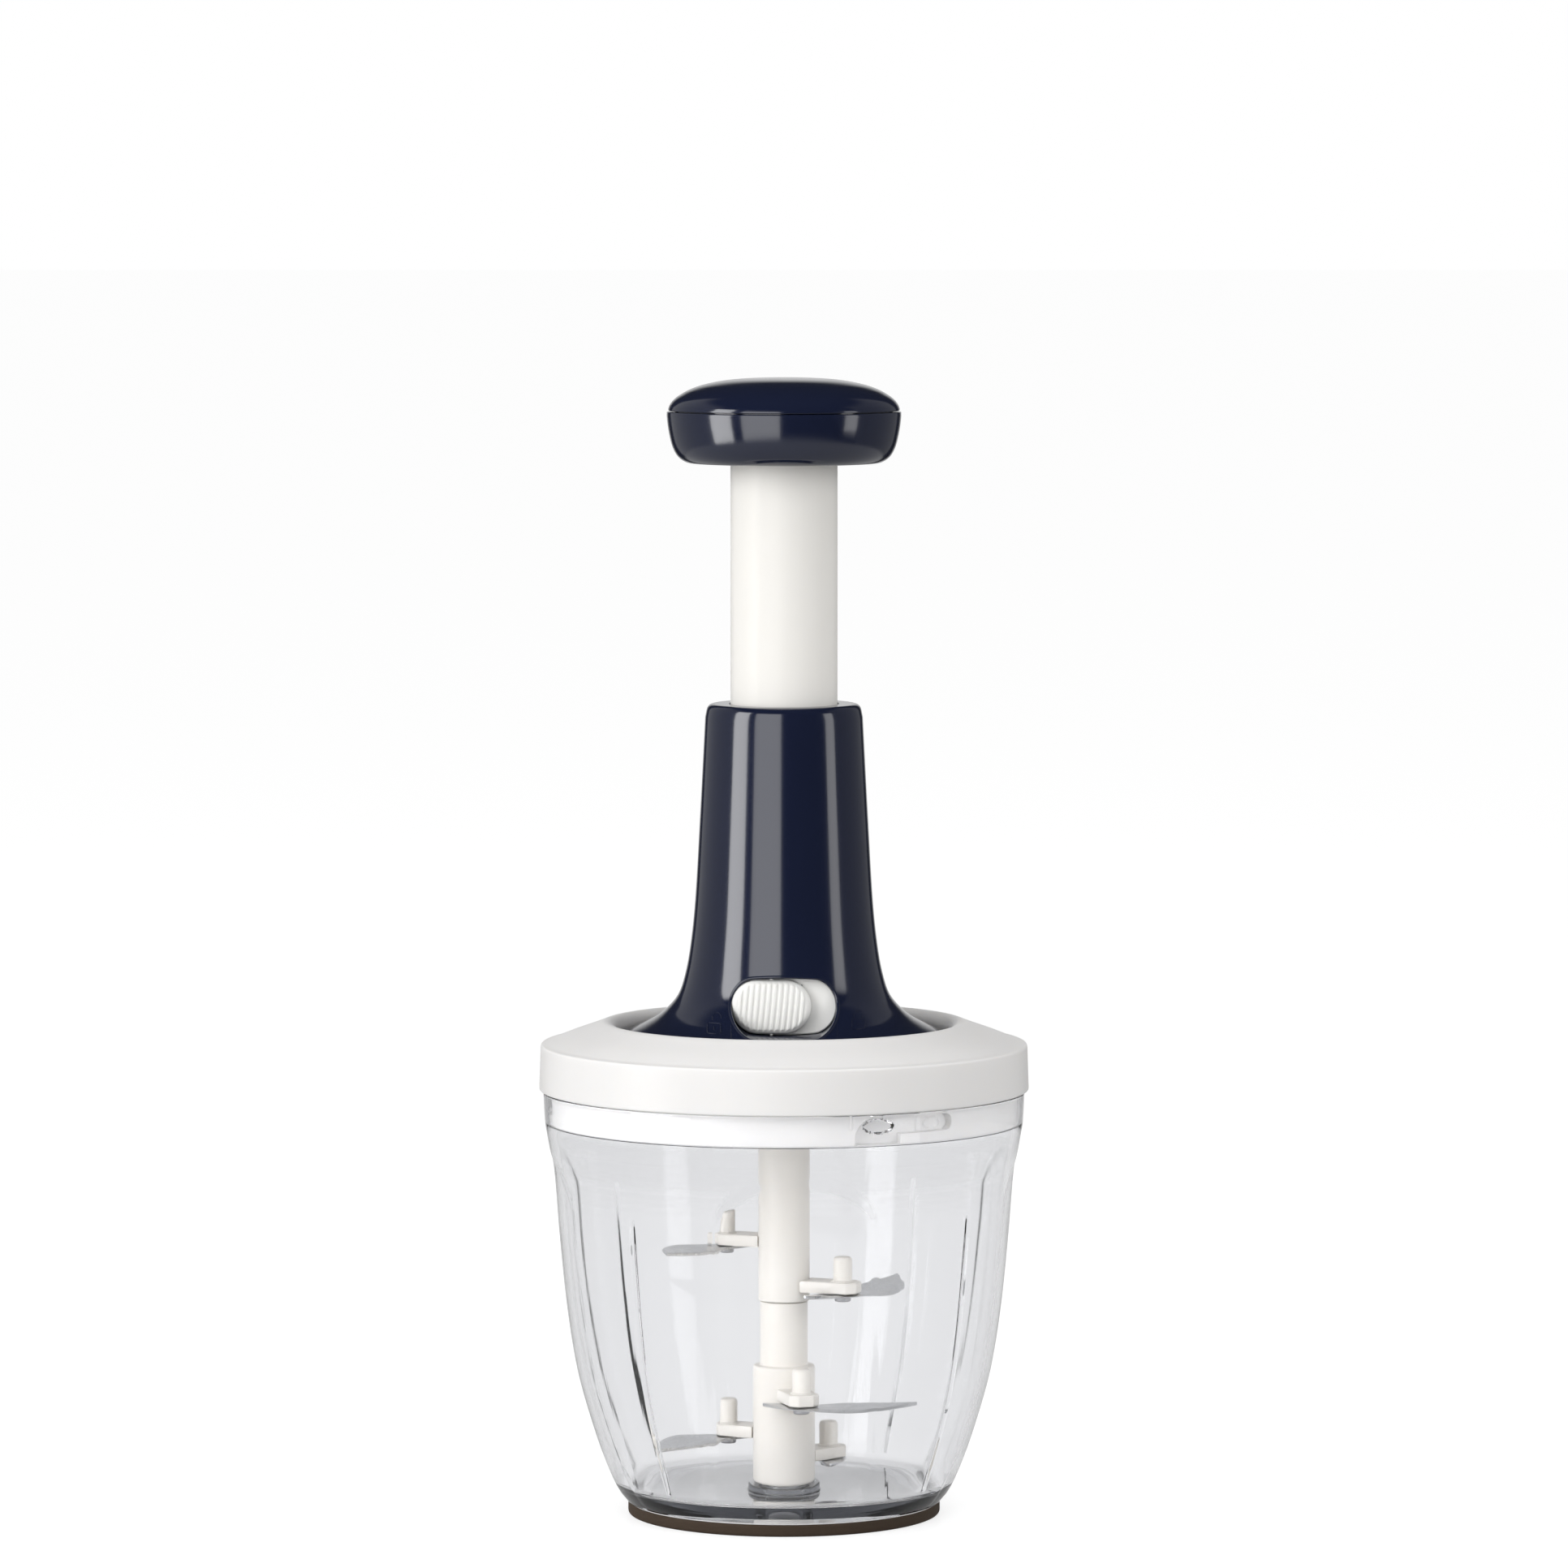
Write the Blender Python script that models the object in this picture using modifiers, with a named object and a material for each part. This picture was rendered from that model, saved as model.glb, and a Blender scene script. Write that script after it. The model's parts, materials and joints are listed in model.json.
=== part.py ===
"""Plunger food chopper, assembled: clear bowl, two-tier blades, lid and spring-returned pump.

Metres, +Z up. The origin lies under the middle of the base pad, on the table, and the
lock button faces -Y. Run with: blender --background --python part.py
"""
import math

import bmesh
import bpy
import numpy as np
from mathutils import Matrix, Vector

MM = 0.001
FULL_TURN = 2 * math.pi

# Fits and modelling resolution
SEAT_GAP = 0.3 * MM
RUNNING_GAP = 0.4 * MM
SLIDING_GAP = 0.6 * MM
OVERRUN = 2.0 * MM
WELD = 0.01 * MM
LARGE_SEGMENTS = 32
MEDIUM_SEGMENTS = 24
SMALL_SEGMENTS = 16
TINY_SEGMENTS = 8

# Base pad
PAD_INSET = 0.4 * MM
PAD_HEIGHT = 4.0 * MM
PAD_EDGE = 1.0 * MM
PAD_RIM_WIDTH = 11.9 * MM
PAD_HOLLOW_DEPTH = 0.8 * MM
PAD_SPIGOT_PLAY = 1.5 * MM
PAD_SPIGOT_WALL = 3.0 * MM
PAD_SPIGOT_RISE = 2.2 * MM

# Bowl: heights are shares of its height and radii shares of its rim radius
BOWL_HEIGHT = 131.7 * MM
BOWL_RIM_RADIUS = 76.8 * MM
BOWL_OUTLINE_SHARES = (
    (0.000, 0.655), (0.017, 0.682), (0.056, 0.7195), (0.175, 0.796), (0.334, 0.870),
    (0.492, 0.911), (0.651, 0.938), (0.809, 0.960), (0.888, 0.983), (0.928, 0.994),
    (1.000, 1.000),
)
BOWL_WALL = 2.8 * MM
BOWL_RIM_WALL = 1.9 * MM
BOWL_LEDGE_DEPTH = 10.0 * MM
BOWL_FLOOR_LIFT = 2.7 * MM
BOWL_FLOOR_THICKNESS = 3.0 * MM
BOWL_FLOOR_FILLET = 3.0 * MM
BOWL_FOOT_WIDTH = 5.2 * MM
STUD_RADIUS = 8.1 * MM
STUD_HEIGHT = 11.0 * MM
STUD_ROUNDING = 1.5 * MM
STUD_WALL = 2.0 * MM
STUD_FLANGE_RADIUS = 11.4 * MM
STUD_FLANGE_HEIGHT = 1.0 * MM

# Bowl ribs, arched wall panels and bayonet lugs; angles run from the front towards +X
RIB_ANGLES = (-42.0, 54.0, 142.0, -128.0)
RIB_DEPTH = 2.3 * MM
RIB_TOP_SHARE = 0.73
RIB_STATIONS = 7
PANEL_ANGLES = (3.0, 93.0, 183.0, -87.0)
PANEL_HALF_WIDTH = 26.5 * MM
PANEL_TOP_BELOW_RIM = 19.0 * MM
PANEL_ARCH_RISE = 17.0 * MM
PANEL_DEPTH = 0.9 * MM
PANEL_ARCH_STEPS = 8
LUG_ANGLES = (23.0, 143.0, 263.0)
LUG_WIDTH = 10.0 * MM
LUG_HEIGHT = 4.3 * MM
LUG_PROTRUSION = 1.6 * MM
LUG_BELOW_RIM = 3.7 * MM

# Lid
LID_OVERHANG = 1.3 * MM
LID_FLANGE_HEIGHT = 14.5 * MM
LID_FLANGE_DRAFT = 0.5 * MM
LID_EDGE_ROUND = 0.9 * MM
LID_SKIRT_DEPTH = 9.9 * MM
LID_SKIRT_WALL = 3.0 * MM
LID_SKIRT_CHAMFER = 0.6 * MM
LID_WALL = 2.2 * MM
LID_RISE = 7.2 * MM
LID_LIP_ROUND = 4.0 * MM
LID_LIP_START = 75.0
LID_LIP_STEPS = 5
LID_RECESS_DEPTH = 28.8 * MM
LID_RECESS_FILLET = 1.5 * MM
LID_COLLAR_DROP = 8.0 * MM
LID_COLLAR_WALL = 2.2 * MM
TRACK_ENTRY_WIDTH = 15.5 * MM
TRACK_DEPTH = 2.0 * MM
TRACK_PLAY = 0.5 * MM
TRACK_LENGTH_ANGLE = 15.0
TRACK_ENTRY_STEPS = 3
TRACK_RUN_STEPS = 5
LID_KEY_WIDTH = 9.0 * MM
LID_KEY_HEIGHT = 3.6 * MM
LID_KEY_LIFT = 1.2 * MM
LID_KEY_REACH = 1.7 * MM
KEY_ANGLES = (-41.0, 49.0, 139.0, 229.0)

# Blade assembly: its heights are shares of the whole stack, angles run from the front
BLADE_HEADROOM = 6.0 * MM
HUB_RADIUS = 9.9 * MM
HUB_HEIGHT_SHARE = 0.3244
SHAFT_RADIUS = 7.6 * MM
SHAFT_BORE_RADIUS = 4.4 * MM
SPIGOT_RADIUS = 5.9 * MM
SPIGOT_LENGTH = 18.0 * MM
SLEEVE_RADIUS = 8.2 * MM
SLEEVE_LENGTH_SHARE = 0.4902
SLEEVE_MOUTH_RADIUS = 5.9 * MM
SLEEVE_MOUTH_DEPTH = 2.5 * MM
SOCKET_DEPTH = 15.0 * MM
LOWER_TIER_ANGLES = (16.0, 244.0, 134.0)
LOWER_TIER_SHARES = (0.2317, 0.1105, 0.0392)
UPPER_TIER_ANGLES = (69.0, 249.0)
UPPER_TIER_SHARES = (0.5365, 0.6595)
ARM_REACH = 25.5 * MM
ARM_WIDTH = 10.0 * MM
ARM_THICKNESS = 3.6 * MM
ARM_CORNER = 2.6 * MM
ARM_ROOT_STEPS = 4
PEG_CENTRE = 20.0 * MM
PEG_RADIUS = 3.0 * MM
PEG_HEIGHT = 8.0 * MM
PEG_TIP_RADIUS = 1.5 * MM
BLADE_THICKNESS = 1.0 * MM
BLADE_WIDTH = 12.5 * MM
BLADE_HEEL_INWARDS = 9.5 * MM
BLADE_HEEL_BEHIND = 10.0 * MM
BLADE_BELLY_OUTWARDS = 14.0 * MM
BLADE_BELLY_AHEAD = 7.0 * MM
BLADE_TIP_OUTWARDS = 5.5 * MM
BLADE_TIP_AHEAD = 36.5 * MM
BLADE_STEPS = 9
BLADE_TAPER_POWER = 0.62
RIVET_SHANK_RADIUS = 1.4 * MM
RIVET_HOLE_RADIUS = 1.75 * MM
RIVET_HEAD_RADIUS = 2.6 * MM
RIVET_HEAD_HEIGHT = 1.2 * MM
RIVET_GRIP = 6.5 * MM

# Pump housing and base cover: heights are shares of the body height, radii of the step from
# the neck, which is one step wider than the tube guide, to the base
PUMP_BASE_RADIUS = 51.8 * MM
PUMP_BODY_HEIGHT = 129.9 * MM
COVER_HEIGHT = 13.7 * MM
NECK_STEP = 7.7 * MM
HOUSING_OUTLINE_SHARES = (
    (0.18, 1.0000), (0.19, 0.9573), (0.201, 0.8642), (0.217, 0.6973), (0.2325, 0.5654),
    (0.252, 0.4529), (0.285, 0.3249), (0.33, 0.2473), (0.4, 0.1813), (0.52, 0.1192),
    (0.73, 0.0598), (0.968, -0.0011), (0.99, -0.0399), (1, -0.1427),
)
BOSS_TOP_SHARE = 0.201
HOUSING_WALL = 2.4 * MM
HOUSING_LIP_DEPTH = 2.6 * MM
COVER_WALL = 2.4 * MM
COVER_FLOOR = 2.5 * MM
COVER_CORNER = 4.2 * MM
SEAM_CHAMFER = 0.5 * MM
NOTCH_WIDTH = 11.0 * MM
NOTCH_HEIGHT = 5.6 * MM
NOTCH_DEPTH = 2.0 * MM
POST_RADIUS = 2.9 * MM
POST_INSET = 6.1 * MM
POST_ANGLES = (60.0, 180.0, 300.0)
SCREW_SHANK_RADIUS = 1.4 * MM
SCREW_HOLE_RADIUS = 1.8 * MM
SCREW_HEAD_RADIUS = 2.4 * MM
SCREW_HEAD_HEIGHT = 1.4 * MM
SCREW_REACH = 20.5 * MM

# Lock window, its backing plate, the sliding button and its bolt
WINDOW_LENGTH = 33.8 * MM
WINDOW_HEIGHT = 18.8 * MM
WINDOW_LIFT = 36.0 * MM
BUTTON_PLAY = 0.6 * MM
BUTTON_REACH = 11.2 * MM
BUTTON_EDGE = 1.2 * MM
BUTTON_CORNER_STEPS = 6
GROOVE_COUNT = 10
GROOVE_PITCH = 2.0 * MM
GROOVE_WIDTH = 0.8 * MM
GROOVE_DEPTH = 0.6 * MM
GUIDE_STANDOFF = 2.8 * MM
GUIDE_THICKNESS = 1.6 * MM
GUIDE_OVERLAP = 2.3 * MM
BOLT_WIDTH = 3.0 * MM
BOLT_HEIGHT = 4.4 * MM
BOLT_BITE = 1.0 * MM
BOLT_SOCKET = 3.0 * MM
BOLT_INSET = 2.9 * MM
BOLT_LIFT = 5.0 * MM
LOCK_TRAVEL = 8.0 * MM

# Knob: heights are shares of its height, radii shares of its largest radius
KNOB_HEIGHT = 27.1 * MM
KNOB_RADIUS = 37.2 * MM
KNOB_SEAM_SHARE = 0.602
CAP_OUTLINE_SHARES = (
    (0.625, 0.992), (0.680, 0.975), (0.742, 0.940), (0.800, 0.884), (0.862, 0.800),
    (0.918, 0.680), (0.965, 0.505), (1.000, 0.000),
)
KNOB_BASE_OUTLINE_SHARES = (
    (0.540, 1.000), (0.330, 0.983), (0.160, 0.952), (0.060, 0.917), (0.018, 0.875),
    (0.000, 0.820), (0.010, 0.750),
)
KNOB_WALL = 2.3 * MM
KNOB_HOLLOW_DEPTH = 8.0 * MM
KNOB_HOLLOW_RADIUS = 25.6 * MM
KNOB_HUB_WALL = 2.4 * MM
KNOB_SOCKET_DEPTH = 11.0 * MM
KNOB_WEB = 2.0 * MM
CAP_SPIGOT_DEPTH = 3.0 * MM
CAP_SPIGOT_WALL = 1.6 * MM

# Plunger tube, its plug and screw, and the nut at its lower end
TUBE_RADIUS = 17.0 * MM
TUBE_WALL = 2.0 * MM
TUBE_SHOWING = 76.5 * MM
STROKE = 70.0 * MM
TUBE_HIDDEN = 29.5 * MM
TUBE_FLANGE_STEP = 1.0 * MM
TUBE_FLANGE_HEIGHT = 3.0 * MM
PLUG_HEIGHT = 10.0 * MM
KNOB_SCREW_RADIUS = 2.0 * MM
KNOB_SCREW_HEAD_RADIUS = 4.2 * MM
KNOB_SCREW_HEAD_HEIGHT = 2.2 * MM
KNOB_SCREW_BITE = 8.0 * MM
NUT_HEIGHT = 6.0 * MM
GUIDE_SLEEVE_WALL = 1.9 * MM
GUIDE_SLEEVE_FLANGE = 3.5 * MM

# Spiral rod: one left-handed turn in one lead
ROD_LEAD = 70.0 * MM
ROD_WIDTH = 12.0 * MM
ROD_THICKNESS = 4.0 * MM
ROD_ABOVE_NUT = 2.8 * MM
ROD_STATIONS = 34
ROD_COLLAR_RADIUS = 9.0 * MM
ROD_COLLAR_HEIGHT = 1.8 * MM
ROD_JOURNAL_RADIUS = 6.9 * MM
ROD_PILOT_RADIUS = 3.0 * MM
ROD_PILOT_LENGTH = 1.4 * MM

# Return spring and its seat on top of the rod
SEAT_PLAY = 1.6 * MM
SEAT_HEIGHT = 1.6 * MM
SEAT_SPIGOT_PLAY = 2.4 * MM
SEAT_SPIGOT_HEIGHT = 3.0 * MM
SPRING_PLAY = 3.6 * MM
SPRING_WIRE = 1.3 * MM
SPRING_TURNS = 12
SPRING_DEAD_TURNS = 2
SPRING_POINTS_PER_TURN = 9

# Planetary step-up gear in the pump base
GEARBOX_MARGIN = 14.0 * MM
SUN_TEETH = 12
PLANET_TEETH = 12
RING_TEETH = 36
PLANET_COUNT = 3
PRESSURE_ANGLE = 25.0
ADDENDUM_SHARE = 0.82
ROOT_CLEARANCE_SHARE = 0.24
TOOTH_PLAY = 0.5 * MM
RING_RIM = 2.5 * MM
GEAR_HEIGHT = 6.0 * MM
GEAR_LIFT = 5.0 * MM
PIN_RADIUS = 2.5 * MM
PIN_HEAD_RADIUS = 4.4 * MM
PIN_HEAD_HEIGHT = 0.9 * MM
CARRIER_THICKNESS = 2.5 * MM
CARRIER_EDGE = 5.0 * MM
CARRIER_RELIEF_RADIUS = 6.5 * MM
RATCHET_RADIUS = 11.0 * MM
RATCHET_TOOTH = 1.8 * MM
RATCHET_TEETH = 12
RATCHET_THICKNESS = 2.6 * MM
PAWL_WIDTH = 4.0 * MM
PAWL_LENGTH = 9.0 * MM
GEARBOX_PLATE_THICKNESS = 2.0 * MM

# Square drive shaft, its bush and thrust washer
DRIVE_WIDTH = 6.4 * MM
DRIVE_EDGE = 1.0 * MM
DRIVE_TURN = 20.0
DRIVE_SHOWING = 12.7 * MM
JOURNAL_RADIUS = 4.7 * MM
SUN_SEAT_RADIUS = 3.9 * MM
DRIVE_PILOT_RADIUS = 3.0 * MM
DRIVE_PILOT_LENGTH = 1.4 * MM
BUSH_WALL = 2.0 * MM
BUSH_FLANGE_RADIUS = 9.0 * MM
BUSH_FLANGE_HEIGHT = 1.0 * MM
WASHER_RADIUS = 8.4 * MM
WASHER_THICKNESS = 0.6 * MM

# Heights above the table that several pieces share
FOOT_Z = PAD_HEIGHT + SEAT_GAP
RIM_Z = FOOT_Z + BOWL_HEIGHT
FLOOR_Z = FOOT_Z + BOWL_FLOOR_LIFT + BOWL_FLOOR_THICKNESS
LEDGE_Z = RIM_Z - BOWL_LEDGE_DEPTH
HUB_Z = FLOOR_Z + STUD_FLANGE_HEIGHT + SEAT_GAP
LID_Z = RIM_Z + SEAT_GAP
LID_TOP_Z = LID_Z + LID_FLANGE_HEIGHT + LID_RISE
RECESS_Z = LID_TOP_Z - LID_RECESS_DEPTH
PUMP_Z = RECESS_Z + SEAT_GAP
BLADE_TOP_Z = PUMP_Z - BLADE_HEADROOM
BLADE_STACK_HEIGHT = BLADE_TOP_Z - HUB_Z
HUB_HEIGHT = HUB_HEIGHT_SHARE * BLADE_STACK_HEIGHT
SLEEVE_Z = BLADE_TOP_Z - SLEEVE_LENGTH_SHARE * BLADE_STACK_HEIGHT
SEAM_Z = PUMP_Z + COVER_HEIGHT
HOUSING_TOP_Z = PUMP_Z + PUMP_BODY_HEIGHT
WINDOW_Z = PUMP_Z + WINDOW_LIFT
KNOB_Z = HOUSING_TOP_Z + TUBE_SHOWING
KNOB_SEAM_Z = KNOB_Z + KNOB_HEIGHT * KNOB_SEAM_SHARE
TUBE_Z = HOUSING_TOP_Z - TUBE_HIDDEN
TUBE_TOP_Z = KNOB_Z + KNOB_SOCKET_DEPTH
PLUG_Z = TUBE_TOP_Z - PLUG_HEIGHT
NUT_Z = TUBE_Z + SEAT_GAP
ROD_TOP_Z = NUT_Z + NUT_HEIGHT + ROD_ABOVE_NUT
SEAT_Z = ROD_TOP_Z + SEAT_GAP
SPRING_Z = SEAT_Z + SEAT_HEIGHT + SEAT_GAP
SPRING_TOP_Z = PLUG_Z - SEAT_GAP
COVER_FLOOR_Z = PUMP_Z + COVER_FLOOR
GEAR_Z = PUMP_Z + GEAR_LIFT
CARRIER_Z = GEAR_Z + GEAR_HEIGHT + SLIDING_GAP
RATCHET_Z = CARRIER_Z + CARRIER_THICKNESS + RUNNING_GAP
GEARBOX_PLATE_Z = RATCHET_Z + RATCHET_THICKNESS + RUNNING_GAP
ROD_COLLAR_Z = GEARBOX_PLATE_Z + GEARBOX_PLATE_THICKNESS + SEAT_GAP
ROD_BAR_Z = ROD_COLLAR_Z + ROD_COLLAR_HEIGHT
BOLT_Z = WINDOW_Z + BOLT_LIFT
SPIN_PER_METRE = FULL_TURN / ROD_LEAD

# Radii and places that two pieces share
FOOT_RADIUS = BOWL_RIM_RADIUS * BOWL_OUTLINE_SHARES[0][1]
PAD_RADIUS = FOOT_RADIUS - PAD_INSET
PAD_HOLLOW_RADIUS = PAD_RADIUS - PAD_RIM_WIDTH
PAD_SPIGOT_OUTER = FOOT_RADIUS - BOWL_FOOT_WIDTH - PAD_SPIGOT_PLAY
LID_FLANGE_RADIUS = BOWL_RIM_RADIUS + LID_OVERHANG
SKIRT_RADIUS = BOWL_RIM_RADIUS - BOWL_RIM_WALL - RUNNING_GAP
RECESS_RADIUS = PUMP_BASE_RADIUS + 2 * SLIDING_GAP
TRACK_RADIUS = SKIRT_RADIUS - TRACK_DEPTH
GUIDE_RADIUS = TUBE_RADIUS + RUNNING_GAP
NECK_RADIUS = GUIDE_RADIUS + NECK_STEP
TUBE_BORE = TUBE_RADIUS - TUBE_WALL
SEAT_RADIUS = TUBE_BORE - SEAT_PLAY
SPRING_RADIUS = TUBE_BORE - SPRING_PLAY
SEAT_SPIGOT_RADIUS = SPRING_RADIUS - SEAT_SPIGOT_PLAY
GUIDE_FACE = GUIDE_RADIUS + GUIDE_STANDOFF
GUIDE_WIDTH = WINDOW_LENGTH + 2 * GUIDE_OVERLAP
GUIDE_HEIGHT = WINDOW_HEIGHT + 2 * GUIDE_OVERLAP
BUTTON_LENGTH = WINDOW_LENGTH - LOCK_TRAVEL - BUTTON_PLAY
BUTTON_HEIGHT = WINDOW_HEIGHT - 2 * BUTTON_PLAY
BUTTON_FACE = GUIDE_FACE + BUTTON_REACH
BOLT_TIP = TUBE_BORE - BOLT_BITE
BOLT_OFFSET = BOLT_INSET - WINDOW_LENGTH / 2
MODULE = (PUMP_BASE_RADIUS - GEARBOX_MARGIN) * 2 / RING_TEETH
ORBIT_RADIUS = MODULE * (SUN_TEETH + PLANET_TEETH) / 2
POST_CENTRE = PUMP_BASE_RADIUS - POST_INSET
GEARBOX_PLATE_RADIUS = PUMP_BASE_RADIUS - HOUSING_WALL - SLIDING_GAP
COLLAR_BORE = SLEEVE_RADIUS + SLIDING_GAP
BUSH_BORE = JOURNAL_RADIUS + SEAT_GAP
BUSH_RADIUS = BUSH_BORE + BUSH_WALL
PLATE_BORE = ROD_JOURNAL_RADIUS + RUNNING_GAP

# Tiers as (angle, height of the blade above the hub bottom), and the blade's middle line
LOWER_TIERS = [(angle, share * BLADE_STACK_HEIGHT)
               for angle, share in zip(LOWER_TIER_ANGLES, LOWER_TIER_SHARES)]
UPPER_TIERS = [(angle, share * BLADE_STACK_HEIGHT)
               for angle, share in zip(UPPER_TIER_ANGLES, UPPER_TIER_SHARES)]
BLADE_HEEL = Vector((-BLADE_HEEL_INWARDS, -BLADE_HEEL_BEHIND))
BLADE_BELLY = Vector((BLADE_BELLY_OUTWARDS, BLADE_BELLY_AHEAD))
BLADE_TIP = Vector((BLADE_TIP_OUTWARDS, BLADE_TIP_AHEAD))


# Collections, materials and small helpers
def clear_scene():
    """Remove whatever the open file holds."""
    for obj in list(bpy.data.objects):
        bpy.data.objects.remove(obj, do_unlink=True)


def new_collection(name):
    """Add a collection under the scene."""
    collection = bpy.data.collections.new(name)
    bpy.context.scene.collection.children.link(collection)
    return collection


clear_scene()
PARTS = new_collection("plunger_food_chopper")
CUTTERS = new_collection("cutters")


def material(name, colour, roughness, metallic=0.0, alpha=1.0):
    """Return a plain Principled material."""
    made = bpy.data.materials.new(name)
    made.use_nodes = True
    shader = made.node_tree.nodes["Principled BSDF"]
    shader.inputs["Base Color"].default_value = (*colour, 1.0)
    shader.inputs["Roughness"].default_value = roughness
    shader.inputs["Metallic"].default_value = metallic
    shader.inputs["Alpha"].default_value = alpha
    return made


CLEAR = material("clear_plastic", (0.80, 0.83, 0.86), 0.06, alpha=0.35)
PAD_RUBBER = material("pad_rubber", (0.11, 0.09, 0.07), 0.80)
LID_WHITE = material("lid_white", (0.80, 0.79, 0.77), 0.40)
NAVY = material("navy_gloss", (0.014, 0.022, 0.060), 0.22)
IVORY = material("ivory_plastic", (0.82, 0.79, 0.70), 0.38)
WHITE = material("white_plastic", (0.86, 0.85, 0.82), 0.30)
STEEL = material("steel", (0.42, 0.42, 0.43), 0.30, metallic=1.0)
GEAR_PLASTIC = material("gear_plastic", (0.70, 0.70, 0.66), 0.45)
BRASS = material("brass", (0.72, 0.53, 0.26), 0.35, metallic=1.0)


def turned(angle):
    """Rotation about +Z that carries the front (-Y) to an angle given in degrees."""
    return Matrix.Rotation(math.radians(angle), 4, "Z")


def radial_frame(angle):
    """Frame whose x axis points outwards at an angle counted from the front towards +X."""
    return Matrix.Rotation(math.radians(angle) - FULL_TURN / 4, 4, "Z")


def link_mesh(name, mesh, collection, look=None):
    """Make a named object of a mesh."""
    obj = bpy.data.objects.new(name, mesh)
    collection.objects.link(obj)
    if look:
        mesh.materials.append(look)
    if collection is CUTTERS:
        obj.hide_render = True
        obj.display_type = "WIRE"
    return obj


def mesh_from_bmesh(name, bm, matrix=None):
    """Turn a bmesh into mesh data with its faces pointing out."""
    bmesh.ops.recalc_face_normals(bm, faces=bm.faces)
    if matrix is not None:
        bm.transform(matrix)
    mesh = bpy.data.meshes.new(name)
    bm.to_mesh(mesh)
    bm.free()
    return mesh


def bake(obj, smooth_angle=32.0):
    """Replace an object's modifiers with their result and shade its round faces smooth."""
    bpy.context.view_layer.update()
    depsgraph = bpy.context.evaluated_depsgraph_get()
    mesh = bpy.data.meshes.new_from_object(obj.evaluated_get(depsgraph))
    obj.modifiers.clear()
    obj.data = mesh
    mesh.shade_smooth()
    mesh.set_sharp_from_angle(angle=math.radians(smooth_angle))
    return obj


def curve_to_solid(name, curve, collection, look=None, matrix=None):
    """Turn curve data into a welded mesh object."""
    source = bpy.data.objects.new(name + "_curve", curve)
    CUTTERS.objects.link(source)
    bpy.context.view_layer.update()
    depsgraph = bpy.context.evaluated_depsgraph_get()
    mesh = bpy.data.meshes.new_from_object(source.evaluated_get(depsgraph))
    bm = bmesh.new()
    bm.from_mesh(mesh)
    bmesh.ops.remove_doubles(bm, verts=bm.verts, dist=WELD)
    world = matrix @ source.matrix_world if matrix is not None else source.matrix_world
    bpy.data.objects.remove(source, do_unlink=True)
    return link_mesh(name, mesh_from_bmesh(name, bm, world), collection, look)


def prism(name, loops, bottom, top, collection=CUTTERS, look=None, matrix=None):
    """Extrude flat outlines between two heights; loops after the first are holes."""
    curve = bpy.data.curves.new(name, "CURVE")
    curve.dimensions = "2D"
    curve.fill_mode = "BOTH"
    curve.extrude = (top - bottom) / 2
    for loop in loops:
        spline = curve.splines.new("POLY")
        spline.points.add(len(loop) - 1)
        for point, (x, y) in zip(spline.points, loop):
            point.co = (x, y, 0, 1)
        spline.use_cyclic_u = True
    lift = Matrix.Translation((0, 0, (top + bottom) / 2))
    world = matrix @ lift if matrix is not None else lift
    return curve_to_solid(name, curve, collection, look, world)


def box(name, low, high, matrix=None, collection=CUTTERS, look=None):
    """Box between two corners."""
    bm = bmesh.new()
    bmesh.ops.create_cube(bm, size=1)
    low, high = Vector(low), Vector(high)
    place = Matrix.Translation((low + high) / 2) @ Matrix.Diagonal((*(high - low), 1))
    bm.transform(place)
    return link_mesh(name, mesh_from_bmesh(name, bm, matrix), collection, look)


def disc(name, radius, bottom, top, segments=TINY_SEGMENTS, place=(0, 0), collection=CUTTERS,
         look=None, matrix=None):
    """Upright cylinder between two heights."""
    bm = bmesh.new()
    bmesh.ops.create_cone(bm, cap_ends=True, segments=segments, radius1=radius, radius2=radius,
                          depth=top - bottom)
    bm.transform(Matrix.Translation((*place, (top + bottom) / 2)))
    return link_mesh(name, mesh_from_bmesh(name, bm, matrix), collection, look)


def loft(name, levels, matrix=None, collection=CUTTERS, look=None):
    """Join like outlines at rising heights into one solid with flat ends."""
    bm = bmesh.new()
    rings = [[bm.verts.new((x, y, z)) for x, y in outline] for outline, z in levels]
    for lower, upper in zip(rings, rings[1:]):
        for index in range(len(lower)):
            after = (index + 1) % len(lower)
            bm.faces.new((lower[index], lower[after], upper[after], upper[index]))
    bm.faces.new(rings[0][::-1])
    bm.faces.new(rings[-1])
    return link_mesh(name, mesh_from_bmesh(name, bm, matrix), collection, look)


def signed_area(points):
    """Signed area of a closed outline."""
    following = points[1:] + points[:1]
    return sum(a[0] * b[1] - b[0] * a[1] for a, b in zip(points, following)) / 2


def revolve(name, profile, segments, collection=PARTS, look=None, place=(0, 0, 0)):
    """Turn an (r, z) profile about Z; it is closed unless both its ends lie on the axis."""
    points = list(profile)
    if signed_area(points) > 0:
        points.reverse()
    open_ends = points[0][0] == 0 and points[-1][0] == 0
    edges = [(i, i + 1) for i in range(len(points) - 1)]
    if not open_ends:
        edges.append((len(points) - 1, 0))
    mesh = bpy.data.meshes.new(name)
    mesh.from_pydata([(r, 0, z) for r, z in points], edges, [])
    obj = link_mesh(name, mesh, collection, look)
    screw = obj.modifiers.new("turn", "SCREW")
    screw.axis = "Z"
    screw.angle = FULL_TURN
    screw.steps = segments
    screw.render_steps = segments
    screw.use_merge_vertices = True
    screw.merge_threshold = WELD
    obj.location = place
    return obj


def combine(obj, other, operation):
    """Add an exact Boolean of another object."""
    modifier = obj.modifiers.new(other.name, "BOOLEAN")
    modifier.operation = operation
    modifier.object = other
    modifier.solver = "EXACT"


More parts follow.
